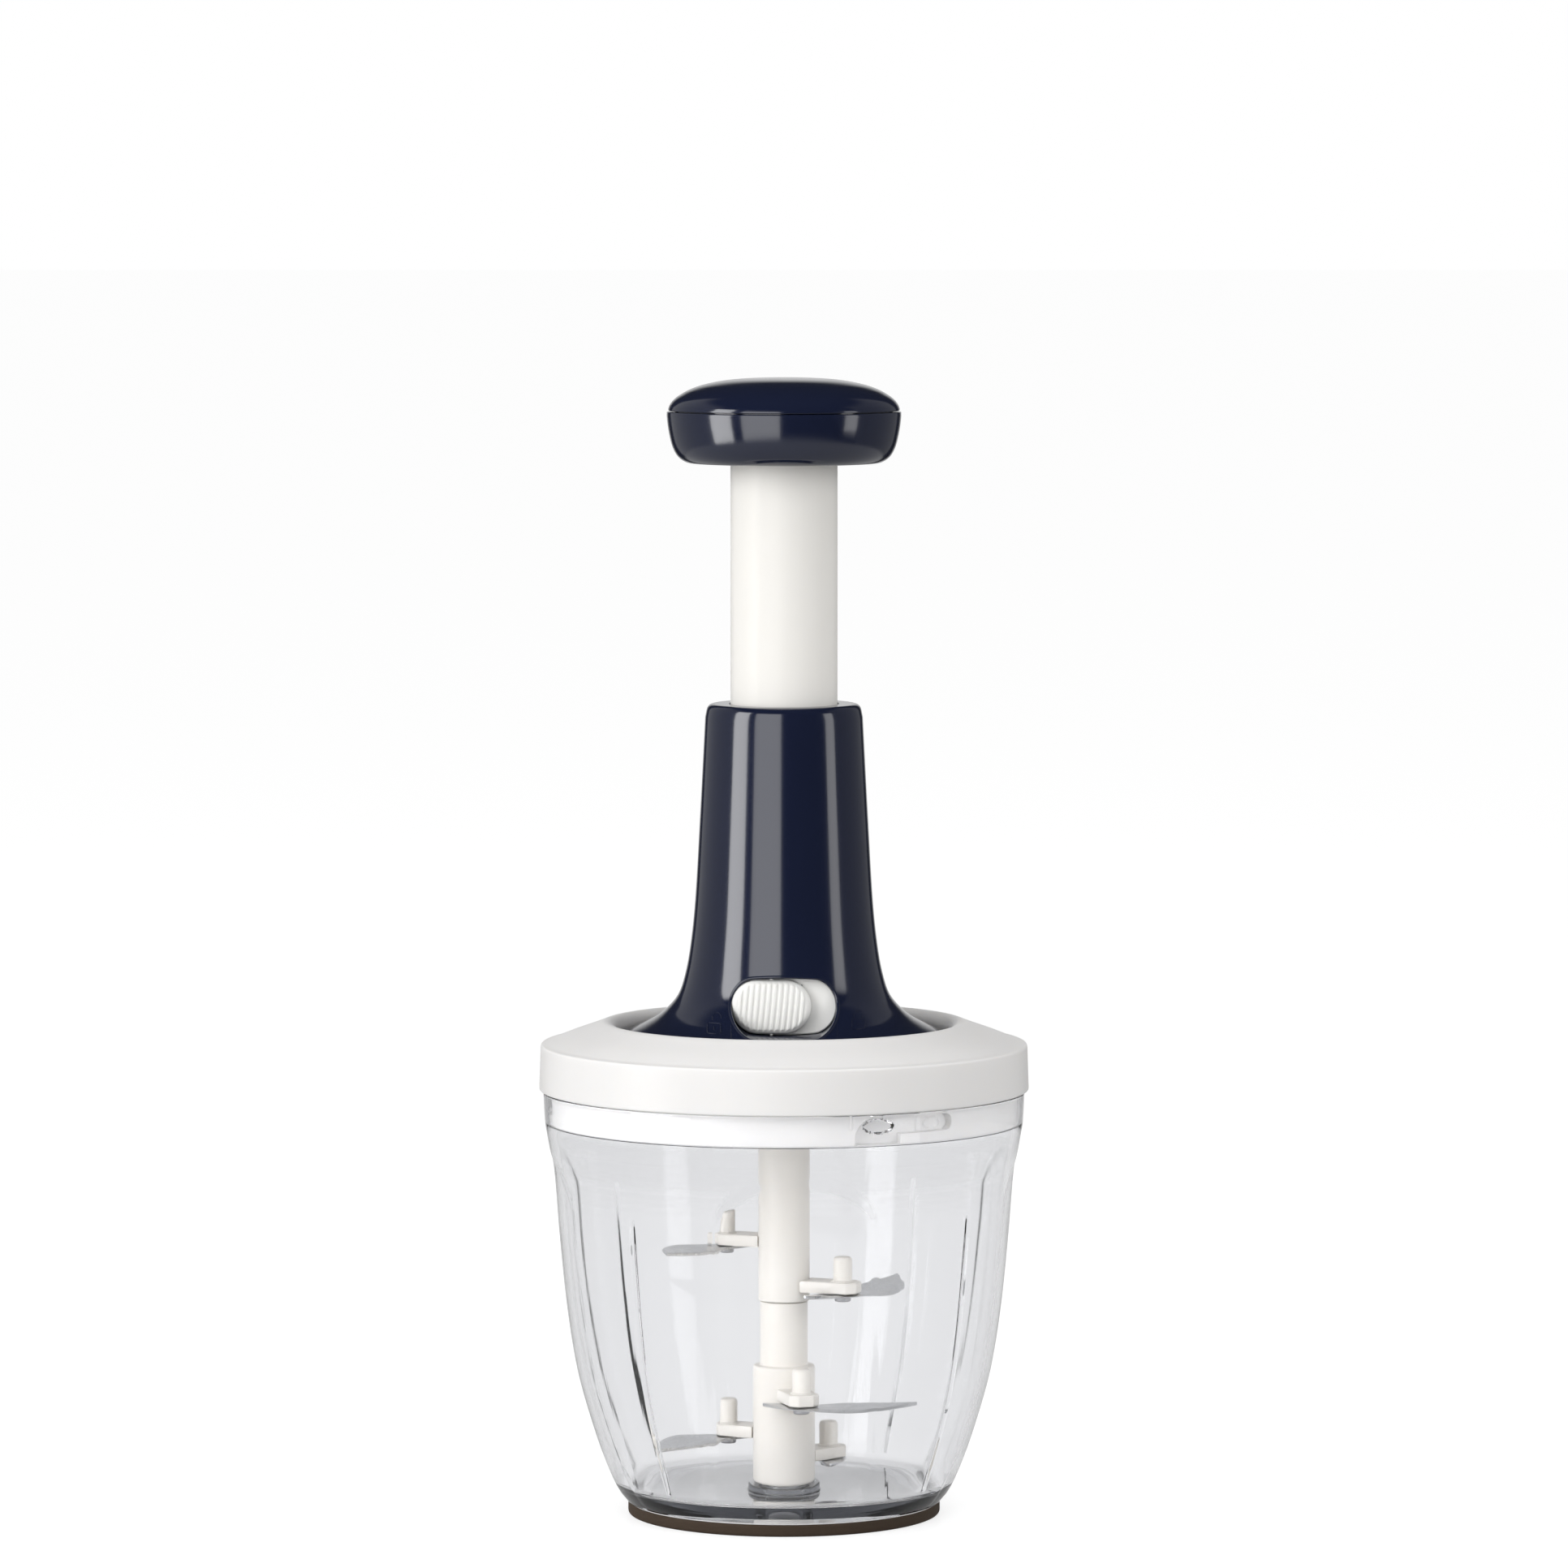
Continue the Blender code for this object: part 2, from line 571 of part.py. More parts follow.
def cut(obj, *cutters):
    """Subtract cutters."""
    for cutter in cutters:
        combine(obj, cutter, "DIFFERENCE")


def join(obj, *pieces):
    """Unite pieces with an object."""
    for piece in pieces:
        combine(obj, piece, "UNION")


def without_repeats(outline):
    """Drop points that repeat their neighbour."""
    kept = [outline[0]]
    for point in outline[1:]:
        if (Vector(point) - Vector(kept[-1])).length > WELD:
            kept.append(point)
    return kept


def inset(outline, distance):
    """Offset an open outline to its right-hand side by a wall."""
    points = [Vector(p) for p in outline]
    moved = []
    for index, point in enumerate(points):
        before = points[max(index - 1, 0)]
        after = points[min(index + 1, len(points) - 1)]
        along = (after - before).normalized()
        moved.append((point.x + along.y * distance, point.y - along.x * distance))
    return moved


def shared_outline(shares, height, radius, base, inner=0.0):
    """Scale (height share, radius share) pairs into (r, z) points; radii start at inner."""
    return [(inner + r * (radius - inner), base + z * height) for z, r in shares]


def arc(centre, radius, start, end, steps):
    """Points of an arc, in degrees."""
    angles = np.radians(np.linspace(start, end, steps))
    return [(centre[0] + radius * math.cos(a), centre[1] + radius * math.sin(a)) for a in angles]


def circle(radius, segments, centre=(0, 0)):
    """Closed round outline."""
    return arc(centre, radius, 0, 360 - 360 / segments, segments)


def obround(length, height, steps):
    """Outline with straight long sides and half-round ends, centred on the origin."""
    radius = height / 2
    reach = length / 2 - radius
    return arc((reach, 0), radius, -90, 90, steps) + arc((-reach, 0), radius, 90, 270, steps)


# Bowl and base pad
def bowl_radius(z, depth=0.0):
    """Outer radius of the bowl at a height, less a depth into the wall."""
    heights = [FOOT_Z + share * BOWL_HEIGHT for share, _ in BOWL_OUTLINE_SHARES]
    radii = [share * BOWL_RIM_RADIUS for _, share in BOWL_OUTLINE_SHARES]
    return float(np.interp(z, heights, radii)) - depth


def bowl_profile():
    """Profile from the stud's top along the inside, over the rim and back under the floor."""
    outer = shared_outline(BOWL_OUTLINE_SHARES, BOWL_HEIGHT, BOWL_RIM_RADIUS, FOOT_Z)
    rim_inner = BOWL_RIM_RADIUS - BOWL_RIM_WALL
    floor_under = FLOOR_Z - BOWL_FLOOR_THICKNESS
    fillet_z = FLOOR_Z + BOWL_FLOOR_FILLET
    corner = bowl_radius(fillet_z, BOWL_WALL)
    stud_top = FLOOR_Z + STUD_HEIGHT
    flange_top = FLOOR_Z + STUD_FLANGE_HEIGHT
    core = STUD_RADIUS - STUD_WALL
    foot_inner = outer[0][0] - BOWL_FOOT_WIDTH
    stud = [(0, stud_top), (STUD_RADIUS - STUD_ROUNDING, stud_top),
            (STUD_RADIUS, stud_top - STUD_ROUNDING), (STUD_RADIUS, flange_top),
            (STUD_FLANGE_RADIUS, flange_top), (STUD_FLANGE_RADIUS, FLOOR_Z)]
    wall = [(corner - BOWL_FLOOR_FILLET, FLOOR_Z), (corner, fillet_z)]
    wall += [(r - BOWL_WALL, z) for r, z in outer if fillet_z < z < LEDGE_Z]
    wall += [(bowl_radius(LEDGE_Z, BOWL_WALL), LEDGE_Z), (rim_inner, LEDGE_Z), (rim_inner, RIM_Z)]
    foot = [(foot_inner, FOOT_Z), (foot_inner, floor_under)]
    hollow = [(core, floor_under), (core - STUD_ROUNDING, stud_top - STUD_WALL),
              (0, stud_top - STUD_WALL)]
    return stud + wall + outer[::-1] + foot + hollow


def bowl_rib(angle):
    """Sharp inner rib: a four-sided bar sunk to its middle in the wall, fading out at the top."""
    low = FLOOR_Z - BOWL_FLOOR_THICKNESS / 2
    high = FOOT_Z + RIB_TOP_SHARE * BOWL_HEIGHT
    curve = bpy.data.curves.new("bowl_rib", "CURVE")
    curve.dimensions = "3D"
    curve.twist_mode = "Z_UP"
    curve.bevel_depth = RIB_DEPTH
    curve.bevel_resolution = 0
    curve.use_fill_caps = True
    spline = curve.splines.new("POLY")
    spline.points.add(RIB_STATIONS - 1)
    for index, point in enumerate(spline.points):
        share = index / (RIB_STATIONS - 1)
        z = low + share * (high - low)
        point.co = (bowl_radius(z, BOWL_WALL), 0, z, 1)
        point.radius = 1 - share * share / 2
    return curve_to_solid("bowl_rib", curve, CUTTERS, matrix=radial_frame(angle))


def bowl_panel_cutters():
    """Arch-topped recesses of even depth in the outer wall."""
    top = RIM_Z - PANEL_TOP_BELOW_RIM
    spring_line = top - PANEL_ARCH_RISE
    arch = [(PANEL_HALF_WIDTH * math.cos(a), spring_line + PANEL_ARCH_RISE * math.sin(a))
            for a in np.linspace(0, math.pi, PANEL_ARCH_STEPS)]
    outline = arch + [(-PANEL_HALF_WIDTH, FOOT_Z - OVERRUN), (PANEL_HALF_WIDTH, FOOT_Z - OVERRUN)]
    outer = shared_outline(BOWL_OUTLINE_SHARES, BOWL_HEIGHT, BOWL_RIM_RADIUS, FOOT_Z)
    surface = [(r - PANEL_DEPTH, z) for r, z in outer]
    surface.insert(0, (surface[0][0], FOOT_Z - OVERRUN))
    reach = BOWL_RIM_RADIUS + OVERRUN
    profile = surface + [(reach, RIM_Z), (reach, FOOT_Z - OVERRUN)]
    cutters = []
    for angle in PANEL_ANGLES:
        skin = revolve("panel_skin", profile, LARGE_SEGMENTS, CUTTERS)
        stand = Matrix.Rotation(FULL_TURN / 4, 4, "Z") @ Matrix.Rotation(FULL_TURN / 4, 4, "X")
        arch_prism = prism("panel_arch", [outline], PAD_SPIGOT_OUTER / 2, reach + OVERRUN,
                           matrix=radial_frame(angle) @ stand)
        combine(skin, arch_prism, "INTERSECT")
        cutters.append(bake(skin))
    return cutters


def bowl_lug(angle):
    """Oval bayonet lug inside the rim."""
    bm = bmesh.new()
    rim_inner = BOWL_RIM_RADIUS - BOWL_RIM_WALL
    root = rim_inner + BOWL_RIM_WALL / 2
    face = rim_inner - LUG_PROTRUSION
    bmesh.ops.create_cone(bm, cap_ends=True, segments=TINY_SEGMENTS, radius1=1 / 2,
                          radius2=1 / 2, depth=root - face)
    place = Matrix.Translation(((root + face) / 2, 0, RIM_Z - LUG_BELOW_RIM))
    lie = Matrix.Rotation(FULL_TURN / 4, 4, "Y")
    bm.transform(place @ lie @ Matrix.Diagonal((LUG_HEIGHT, LUG_WIDTH, 1, 1)))
    return link_mesh("bowl_lug", mesh_from_bmesh("bowl_lug", bm, radial_frame(angle)), CUTTERS)


def make_bowl():
    """Clear bowl."""
    obj = revolve("bowl", without_repeats(bowl_profile()), LARGE_SEGMENTS, look=CLEAR)
    cut(obj, *bowl_panel_cutters())
    join(obj, *[bowl_rib(angle) for angle in RIB_ANGLES])
    join(obj, *[bowl_lug(angle) for angle in LUG_ANGLES])
    bake(obj)


def make_base_pad():
    """Non-slip pad under the foot, located by a ring inside it."""
    spigot_inner = PAD_SPIGOT_OUTER - PAD_SPIGOT_WALL
    spigot_top = PAD_HEIGHT + PAD_SPIGOT_RISE
    profile = [
        (0, PAD_HEIGHT), (spigot_inner, PAD_HEIGHT), (spigot_inner, spigot_top),
        (PAD_SPIGOT_OUTER, spigot_top), (PAD_SPIGOT_OUTER, PAD_HEIGHT),
        (PAD_RADIUS - PAD_EDGE, PAD_HEIGHT), (PAD_RADIUS, PAD_HEIGHT - PAD_EDGE),
        (PAD_RADIUS, PAD_EDGE), (PAD_RADIUS - PAD_EDGE, 0), (PAD_HOLLOW_RADIUS, 0),
        (PAD_HOLLOW_RADIUS, PAD_HOLLOW_DEPTH), (0, PAD_HOLLOW_DEPTH),
    ]
    bake(revolve("base_pad", profile, LARGE_SEGMENTS, look=PAD_RUBBER))


# Blade assembly
def arm_pieces(angle, height, root_radius):
    """Flat arm rooted on an arc inside the tube wall, and the round peg that stands on it."""
    bottom = HUB_Z + height + SEAT_GAP
    top = bottom + ARM_THICKNESS
    half = ARM_WIDTH / 2
    spread = math.degrees(math.asin(half / root_radius))
    outline = arc((0, 0), root_radius, spread, -spread, ARM_ROOT_STEPS)
    outline += [(ARM_REACH - ARM_CORNER, -half), (ARM_REACH, -half + ARM_CORNER),
                (ARM_REACH, half - ARM_CORNER), (ARM_REACH - ARM_CORNER, half)]
    frame = radial_frame(angle)
    arm = prism("blade_arm", [outline], bottom, top, matrix=frame)
    peg = revolve("blade_peg", [
        (0, top - ARM_THICKNESS / 2), (PEG_RADIUS, top - ARM_THICKNESS / 2),
        (PEG_RADIUS, top + PEG_HEIGHT - PEG_TIP_RADIUS),
        (PEG_RADIUS - PEG_TIP_RADIUS, top + PEG_HEIGHT), (0, top + PEG_HEIGHT),
    ], TINY_SEGMENTS, CUTTERS, place=frame @ Vector((PEG_CENTRE, 0, 0)))
    return arm, peg


def rivet_bore(angle, height):
    """Bore for the rivet shank, up into the peg."""
    bottom = HUB_Z + height
    return disc("rivet_bore", RIVET_HOLE_RADIUS, bottom - OVERRUN,
                bottom + RIVET_GRIP + SEAT_GAP, place=(PEG_CENTRE, 0), matrix=radial_frame(angle))


def make_lower_blade_shaft():
    """Hub that turns on the bowl stud, with three arms and the spigot for the upper sleeve."""
    hub_top = HUB_Z + HUB_HEIGHT
    shoulder = SLEEVE_Z - SEAT_GAP
    tip = shoulder + SPIGOT_LENGTH
    bore = STUD_RADIUS + RUNNING_GAP
    bore_top = FLOOR_Z + STUD_HEIGHT + RUNNING_GAP
    profile = [
        (SHAFT_BORE_RADIUS, tip), (SPIGOT_RADIUS, tip), (SPIGOT_RADIUS, shoulder),
        (SHAFT_RADIUS, shoulder), (SHAFT_RADIUS, hub_top), (HUB_RADIUS, hub_top),
        (HUB_RADIUS, HUB_Z), (bore, HUB_Z), (bore, bore_top), (SHAFT_BORE_RADIUS, bore_top),
    ]
    obj = revolve("lower_blade_shaft", profile, SMALL_SEGMENTS, look=IVORY)
    for tier in LOWER_TIERS:
        join(obj, *arm_pieces(*tier, (bore + HUB_RADIUS) / 2))
    cut(obj, *[rivet_bore(*tier) for tier in LOWER_TIERS])
    bake(obj)


def drive_outline(width):
    """Square with rounded edges."""
    half = width / 2
    flat = half - DRIVE_EDGE
    return [(half, -flat), (half, flat), (flat, half), (-flat, half), (-half, flat),
            (-half, -flat), (-flat, -half), (flat, -half)]


def make_upper_blade_sleeve():
    """Sleeve over the spigot, with two arms and the square socket at its top."""
    bore = SPIGOT_RADIUS + SEAT_GAP
    bore_top = SLEEVE_Z + SPIGOT_LENGTH + SEAT_GAP
    mouth = BLADE_TOP_Z - SLEEVE_MOUTH_DEPTH
    profile = [
        (0, mouth), (SLEEVE_MOUTH_RADIUS, mouth), (SLEEVE_MOUTH_RADIUS, BLADE_TOP_Z),
        (SLEEVE_RADIUS, BLADE_TOP_Z), (SLEEVE_RADIUS, SLEEVE_Z), (bore, SLEEVE_Z),
        (bore, bore_top), (0, bore_top),
    ]
    obj = revolve("upper_blade_sleeve", profile, SMALL_SEGMENTS, look=IVORY)
    socket = prism("drive_socket", [drive_outline(DRIVE_WIDTH + 2 * SLIDING_GAP)],
                   mouth - SOCKET_DEPTH, BLADE_TOP_Z + OVERRUN, matrix=turned(DRIVE_TURN))
    for tier in UPPER_TIERS:
        join(obj, *arm_pieces(*tier, (bore + SLEEVE_RADIUS) / 2))
    cut(obj, socket, *[rivet_bore(*tier) for tier in UPPER_TIERS])
    bake(obj)


def blade_outline():
    """Swept leaf about a curved centre line; x points outwards and y against the cutting turn."""
    left, right = [], []
    for share in np.linspace(0, 1, BLADE_STEPS + 2)[1:-1]:
        back = 1 - share
        centre = BLADE_HEEL * back * back + BLADE_BELLY * 2 * back * share + BLADE_TIP * share ** 2
        along = (BLADE_BELLY - BLADE_HEEL) * back + (BLADE_TIP - BLADE_BELLY) * share
        side = Vector((along.y, -along.x)).normalized()
        half = BLADE_WIDTH / 2 * math.sin(math.pi * share) ** BLADE_TAPER_POWER
        right.append(centre + side * half)
        left.append(centre - side * half)
    return [BLADE_HEEL, *right, BLADE_TIP, *left[::-1]]


def make_blade(name, angle, height):
    """Thin steel blade under its arm, with the rivet hole."""
    top = HUB_Z + height
    outline = [(p.x + PEG_CENTRE, p.y) for p in blade_outline()]
    hole = circle(RIVET_HOLE_RADIUS, TINY_SEGMENTS, (PEG_CENTRE, 0))
    prism(name, [outline, hole], top - BLADE_THICKNESS, top, PARTS, STEEL, radial_frame(angle))


def headed_pin(radius, head_radius, bottom, head_height, top):
    """Profile of a pin with its head at the bottom."""
    return [(0, bottom), (head_radius, bottom), (head_radius, bottom + head_height),
            (radius, bottom + head_height), (radius, top), (0, top)]


def make_copies(name, profiles_and_places, segments, look):
    """Turn several like pieces, each a numbered object at its own place."""
    for number, (profile, place) in enumerate(profiles_and_places, start=1):
        bake(revolve(f"{name}_{number}", profile, segments, look=look, place=place))


def make_blade_rivets():
    """One rivet under each blade."""
    rivets = []
    for angle, height in LOWER_TIERS + UPPER_TIERS:
        blade_bottom = HUB_Z + height - BLADE_THICKNESS - SEAT_GAP
        profile = headed_pin(RIVET_SHANK_RADIUS, RIVET_HEAD_RADIUS,
                             blade_bottom - RIVET_HEAD_HEIGHT, RIVET_HEAD_HEIGHT,
                             HUB_Z + height + RIVET_GRIP)
        rivets.append((profile, radial_frame(angle) @ Vector((PEG_CENTRE, 0, 0))))
    make_copies("blade_rivet", rivets, TINY_SEGMENTS, STEEL)


# Lid
def lid_profile():
    """Closed profile of the lid: skirt, flange, sloped top, recess and centre collar."""
    skirt_inner = SKIRT_RADIUS - LID_SKIRT_WALL
    skirt_z = LID_Z - LID_SKIRT_DEPTH
    edge_z = LID_Z + LID_FLANGE_HEIGHT
    top_radius = LID_FLANGE_RADIUS - LID_FLANGE_DRAFT
    lip_centre = (RECESS_RADIUS + LID_LIP_ROUND, LID_TOP_Z - LID_LIP_ROUND)
    lip = arc(lip_centre, LID_LIP_ROUND, LID_LIP_START, 180, LID_LIP_STEPS)
    under_top = LID_TOP_Z - LID_LIP_ROUND
    floor_under = RECESS_Z - LID_WALL
    collar_outer = COLLAR_BORE + LID_COLLAR_WALL
    outside = [
        (skirt_inner, skirt_z), (SKIRT_RADIUS - LID_SKIRT_CHAMFER, skirt_z),
        (SKIRT_RADIUS, skirt_z + LID_SKIRT_CHAMFER), (SKIRT_RADIUS, LID_Z),
        (LID_FLANGE_RADIUS, LID_Z), (top_radius, edge_z - LID_EDGE_ROUND),
        (top_radius - LID_EDGE_ROUND, edge_z), *lip,
        (RECESS_RADIUS, RECESS_Z + LID_RECESS_FILLET),
        (RECESS_RADIUS - LID_RECESS_FILLET, RECESS_Z), (COLLAR_BORE, RECESS_Z),
    ]
    inside = [
        (COLLAR_BORE, floor_under - LID_COLLAR_DROP), (collar_outer, floor_under - LID_COLLAR_DROP),
        (collar_outer, floor_under), (RECESS_RADIUS + LID_WALL, floor_under),
        (RECESS_RADIUS + LID_WALL, under_top), (skirt_inner, edge_z - LID_WALL),
    ]
    return outside + inside


def ring_sector(name, inner, outer, bottom, top, start, end, steps):
    """Part of a ring between two angles, made by spinning its section."""
    bm = bmesh.new()
    corners = [bm.verts.new(p) for p in
               ((inner, 0, bottom), (outer, 0, bottom), (outer, 0, top), (inner, 0, top))]
    face = bm.faces.new(corners)
    bmesh.ops.spin(bm, geom=[face, *face.edges, *corners], cent=(0, 0, 0), axis=(0, 0, 1),
                   angle=math.radians(end - start), steps=steps, use_duplicate=False)
    return link_mesh(name, mesh_from_bmesh(name, bm, radial_frame(start)), CUTTERS)


def lid_track_cutters(angle):
    """Bayonet track in the skirt: an open entry at a lug and a closed run beside it."""
    reach = SKIRT_RADIUS + OVERRUN
    half_entry = math.degrees(TRACK_ENTRY_WIDTH / 2 / SKIRT_RADIUS)
    lug_z = RIM_Z - LUG_BELOW_RIM
    top = lug_z + LUG_HEIGHT / 2 + TRACK_PLAY
    bottom = lug_z - LUG_HEIGHT / 2 - TRACK_PLAY
    skirt_z = LID_Z - LID_SKIRT_DEPTH
    entry = ring_sector("track_entry", TRACK_RADIUS, reach, skirt_z - OVERRUN, top,
                        angle - half_entry, angle + half_entry, TRACK_ENTRY_STEPS)
    run = ring_sector("track_run", TRACK_RADIUS, reach, bottom, top,
                      angle, angle + half_entry + TRACK_LENGTH_ANGLE, TRACK_RUN_STEPS)
    return entry, run


def lid_key(angle):
    """Key inside the recess that enters a notch of the pump base."""
    bottom = RECESS_Z + LID_KEY_LIFT
    half = LID_KEY_WIDTH / 2
    return box("lid_key", (RECESS_RADIUS - LID_KEY_REACH, -half, bottom),
               (RECESS_RADIUS + LID_WALL / 2, half, bottom + LID_KEY_HEIGHT), radial_frame(angle))


def make_lid():
    """White lid."""
    obj = revolve("lid", without_repeats(lid_profile()), LARGE_SEGMENTS, look=LID_WHITE)
    for angle in LUG_ANGLES:
        cut(obj, *lid_track_cutters(angle))
    join(obj, *[lid_key(angle) for angle in KEY_ANGLES])
    bake(obj)


# Pump housing and base cover
def housing_outline():
    """Outer outline of the housing from its top lip down to the shoulder."""
    return shared_outline(HOUSING_OUTLINE_SHARES, PUMP_BODY_HEIGHT, PUMP_BASE_RADIUS, PUMP_Z,
                          NECK_RADIUS)[::-1]


def make_housing():
    """Flared housing with the lock window and three inner screw bosses."""
    outer = housing_outline()
    low = SEAM_Z + SEAT_GAP
    opening = GUIDE_RADIUS
    lip_under = HOUSING_TOP_Z - HOUSING_LIP_DEPTH
    inner = [(r, z) for r, z in inset(outer, HOUSING_WALL) if z < lip_under - WELD]
    inner_low = (PUMP_BASE_RADIUS - HOUSING_WALL, low)
    profile = [(opening, HOUSING_TOP_Z), *outer, (PUMP_BASE_RADIUS, low + SEAM_CHAMFER),
               (PUMP_BASE_RADIUS - SEAM_CHAMFER, low), inner_low, *inner[::-1],
               (inner[0][0], lip_under), (opening, lip_under)]
    obj = revolve("housing", without_repeats(profile), LARGE_SEGMENTS, look=NAVY)
    upright = Matrix.Rotation(FULL_TURN / 4, 4, "X")
    window = prism("lock_window", [obround(WINDOW_LENGTH, WINDOW_HEIGHT, BUTTON_CORNER_STEPS)],
                   GUIDE_FACE, PUMP_BASE_RADIUS + OVERRUN,
                   matrix=Matrix.Translation((0, 0, WINDOW_Z)) @ upright)
    boss_low = GEARBOX_PLATE_Z + GEARBOX_PLATE_THICKNESS + SEAT_GAP
    boss_top = PUMP_Z + BOSS_TOP_SHARE * PUMP_BODY_HEIGHT - HOUSING_WALL / 2
    for angle in POST_ANGLES:
        frame = radial_frame(angle)
        join(obj, disc("housing_boss", POST_RADIUS, boss_low, boss_top, place=(POST_CENTRE, 0),
                       matrix=frame))
    for angle in POST_ANGLES:
        cut(obj, disc("boss_hole", SCREW_HOLE_RADIUS, boss_low - OVERRUN,
                      PUMP_Z + SCREW_REACH + SLIDING_GAP, place=(POST_CENTRE, 0),
                      matrix=radial_frame(angle)))
    cut(obj, window)
    bake(obj)


def make_base_cover():
    """Lower cover with bayonet notches, screw posts and the hole for the drive bush."""
    wall_inner = PUMP_BASE_RADIUS - COVER_WALL
    half_corner = COVER_CORNER * (1 - math.sqrt(2) / 2)
    profile = [
        (BUSH_RADIUS + SEAT_GAP, COVER_FLOOR_Z), (wall_inner - COVER_WALL, COVER_FLOOR_Z),
        (wall_inner, COVER_FLOOR_Z + COVER_WALL), (wall_inner, SEAM_Z),
        (PUMP_BASE_RADIUS - SEAM_CHAMFER, SEAM_Z), (PUMP_BASE_RADIUS, SEAM_Z - SEAM_CHAMFER),
        (PUMP_BASE_RADIUS, PUMP_Z + COVER_CORNER),
        (PUMP_BASE_RADIUS - half_corner, PUMP_Z + half_corner),
        (PUMP_BASE_RADIUS - COVER_CORNER, PUMP_Z), (BUSH_RADIUS + SEAT_GAP, PUMP_Z),
    ]
    obj = revolve("base_cover", profile, LARGE_SEGMENTS, look=NAVY)
    post_top = GEARBOX_PLATE_Z - SEAT_GAP
    for angle in POST_ANGLES:
        frame = radial_frame(angle)
        join(obj, disc("cover_post", POST_RADIUS, COVER_FLOOR_Z - COVER_FLOOR / 2, post_top,
                       place=(POST_CENTRE, 0), matrix=frame))
    for angle in POST_ANGLES:
        frame = radial_frame(angle)
        cut(obj, disc("post_hole", SCREW_HOLE_RADIUS, PUMP_Z - OVERRUN, post_top + OVERRUN,
                      place=(POST_CENTRE, 0), matrix=frame),
            disc("head_recess", SCREW_HEAD_RADIUS + SEAT_GAP, PUMP_Z - OVERRUN,
                 PUMP_Z + SCREW_HEAD_HEIGHT + 2 * SEAT_GAP, place=(POST_CENTRE, 0), matrix=frame))
    half = NOTCH_WIDTH / 2
    for angle in KEY_ANGLES:
        cut(obj, box("cover_notch", (PUMP_BASE_RADIUS - NOTCH_DEPTH, -half, PUMP_Z - OVERRUN),
                     (PUMP_BASE_RADIUS + OVERRUN, half, PUMP_Z + NOTCH_HEIGHT),
                     radial_frame(angle)))
    bake(obj)


def make_cover_screws():
    """Three screws that hold cover, gearbox plate and housing together."""
    bottom = PUMP_Z + SEAT_GAP
    profile = headed_pin(SCREW_SHANK_RADIUS, SCREW_HEAD_RADIUS, bottom, SCREW_HEAD_HEIGHT,
                         PUMP_Z + SCREW_REACH)
    places = [radial_frame(angle) @ Vector((POST_CENTRE, 0, 0)) for angle in POST_ANGLES]
    make_copies("cover_screw", [(profile, place) for place in places], TINY_SEGMENTS, STEEL)


def make_tube_guide():
    """Flanged sleeve under the housing lip that guides the tube and stops its flange."""
    bottom = TUBE_Z + TUBE_FLANGE_HEIGHT + SEAT_GAP
    top = HOUSING_TOP_Z - HOUSING_LIP_DEPTH - SEAT_GAP
    inner_housing = min(r for r, z in inset(housing_outline(), HOUSING_WALL) if z < top)
    sleeve = GUIDE_RADIUS + GUIDE_SLEEVE_WALL
    flange = inner_housing - SEAT_GAP
    profile = [(GUIDE_RADIUS, top), (flange - SEAM_CHAMFER, top), (flange, top - GUIDE_SLEEVE_FLANGE),
               (sleeve, top - GUIDE_SLEEVE_FLANGE), (sleeve, bottom), (GUIDE_RADIUS, bottom)]
    bake(revolve("tube_guide", profile, MEDIUM_SEGMENTS, look=WHITE))


# Lock
def make_lock_guide():
    """Fixed white plate behind the window, slotted for the bolt."""
    half = GUIDE_WIDTH / 2
    low = WINDOW_Z - GUIDE_HEIGHT / 2
    obj = box("lock_guide", (-half, -GUIDE_FACE, low),
              (half, GUIDE_THICKNESS - GUIDE_FACE, low + GUIDE_HEIGHT),
              collection=PARTS, look=WHITE)
    side = BOLT_OFFSET - BOLT_WIDTH / 2 - SLIDING_GAP
    cut(obj, box("guide_slot", (side, -GUIDE_FACE - OVERRUN, BOLT_Z - BOLT_HEIGHT / 2 - SLIDING_GAP),
                 (side + BOLT_WIDTH + LOCK_TRAVEL + 2 * SLIDING_GAP, -GUIDE_FACE + 2 * OVERRUN,
                  BOLT_Z + BOLT_HEIGHT / 2 + SLIDING_GAP)))
    bake(obj)


def button_centre():
    """Middle of the button at rest, at the left end of its window."""
    return -WINDOW_LENGTH / 2 + SEAT_GAP + BUTTON_LENGTH / 2


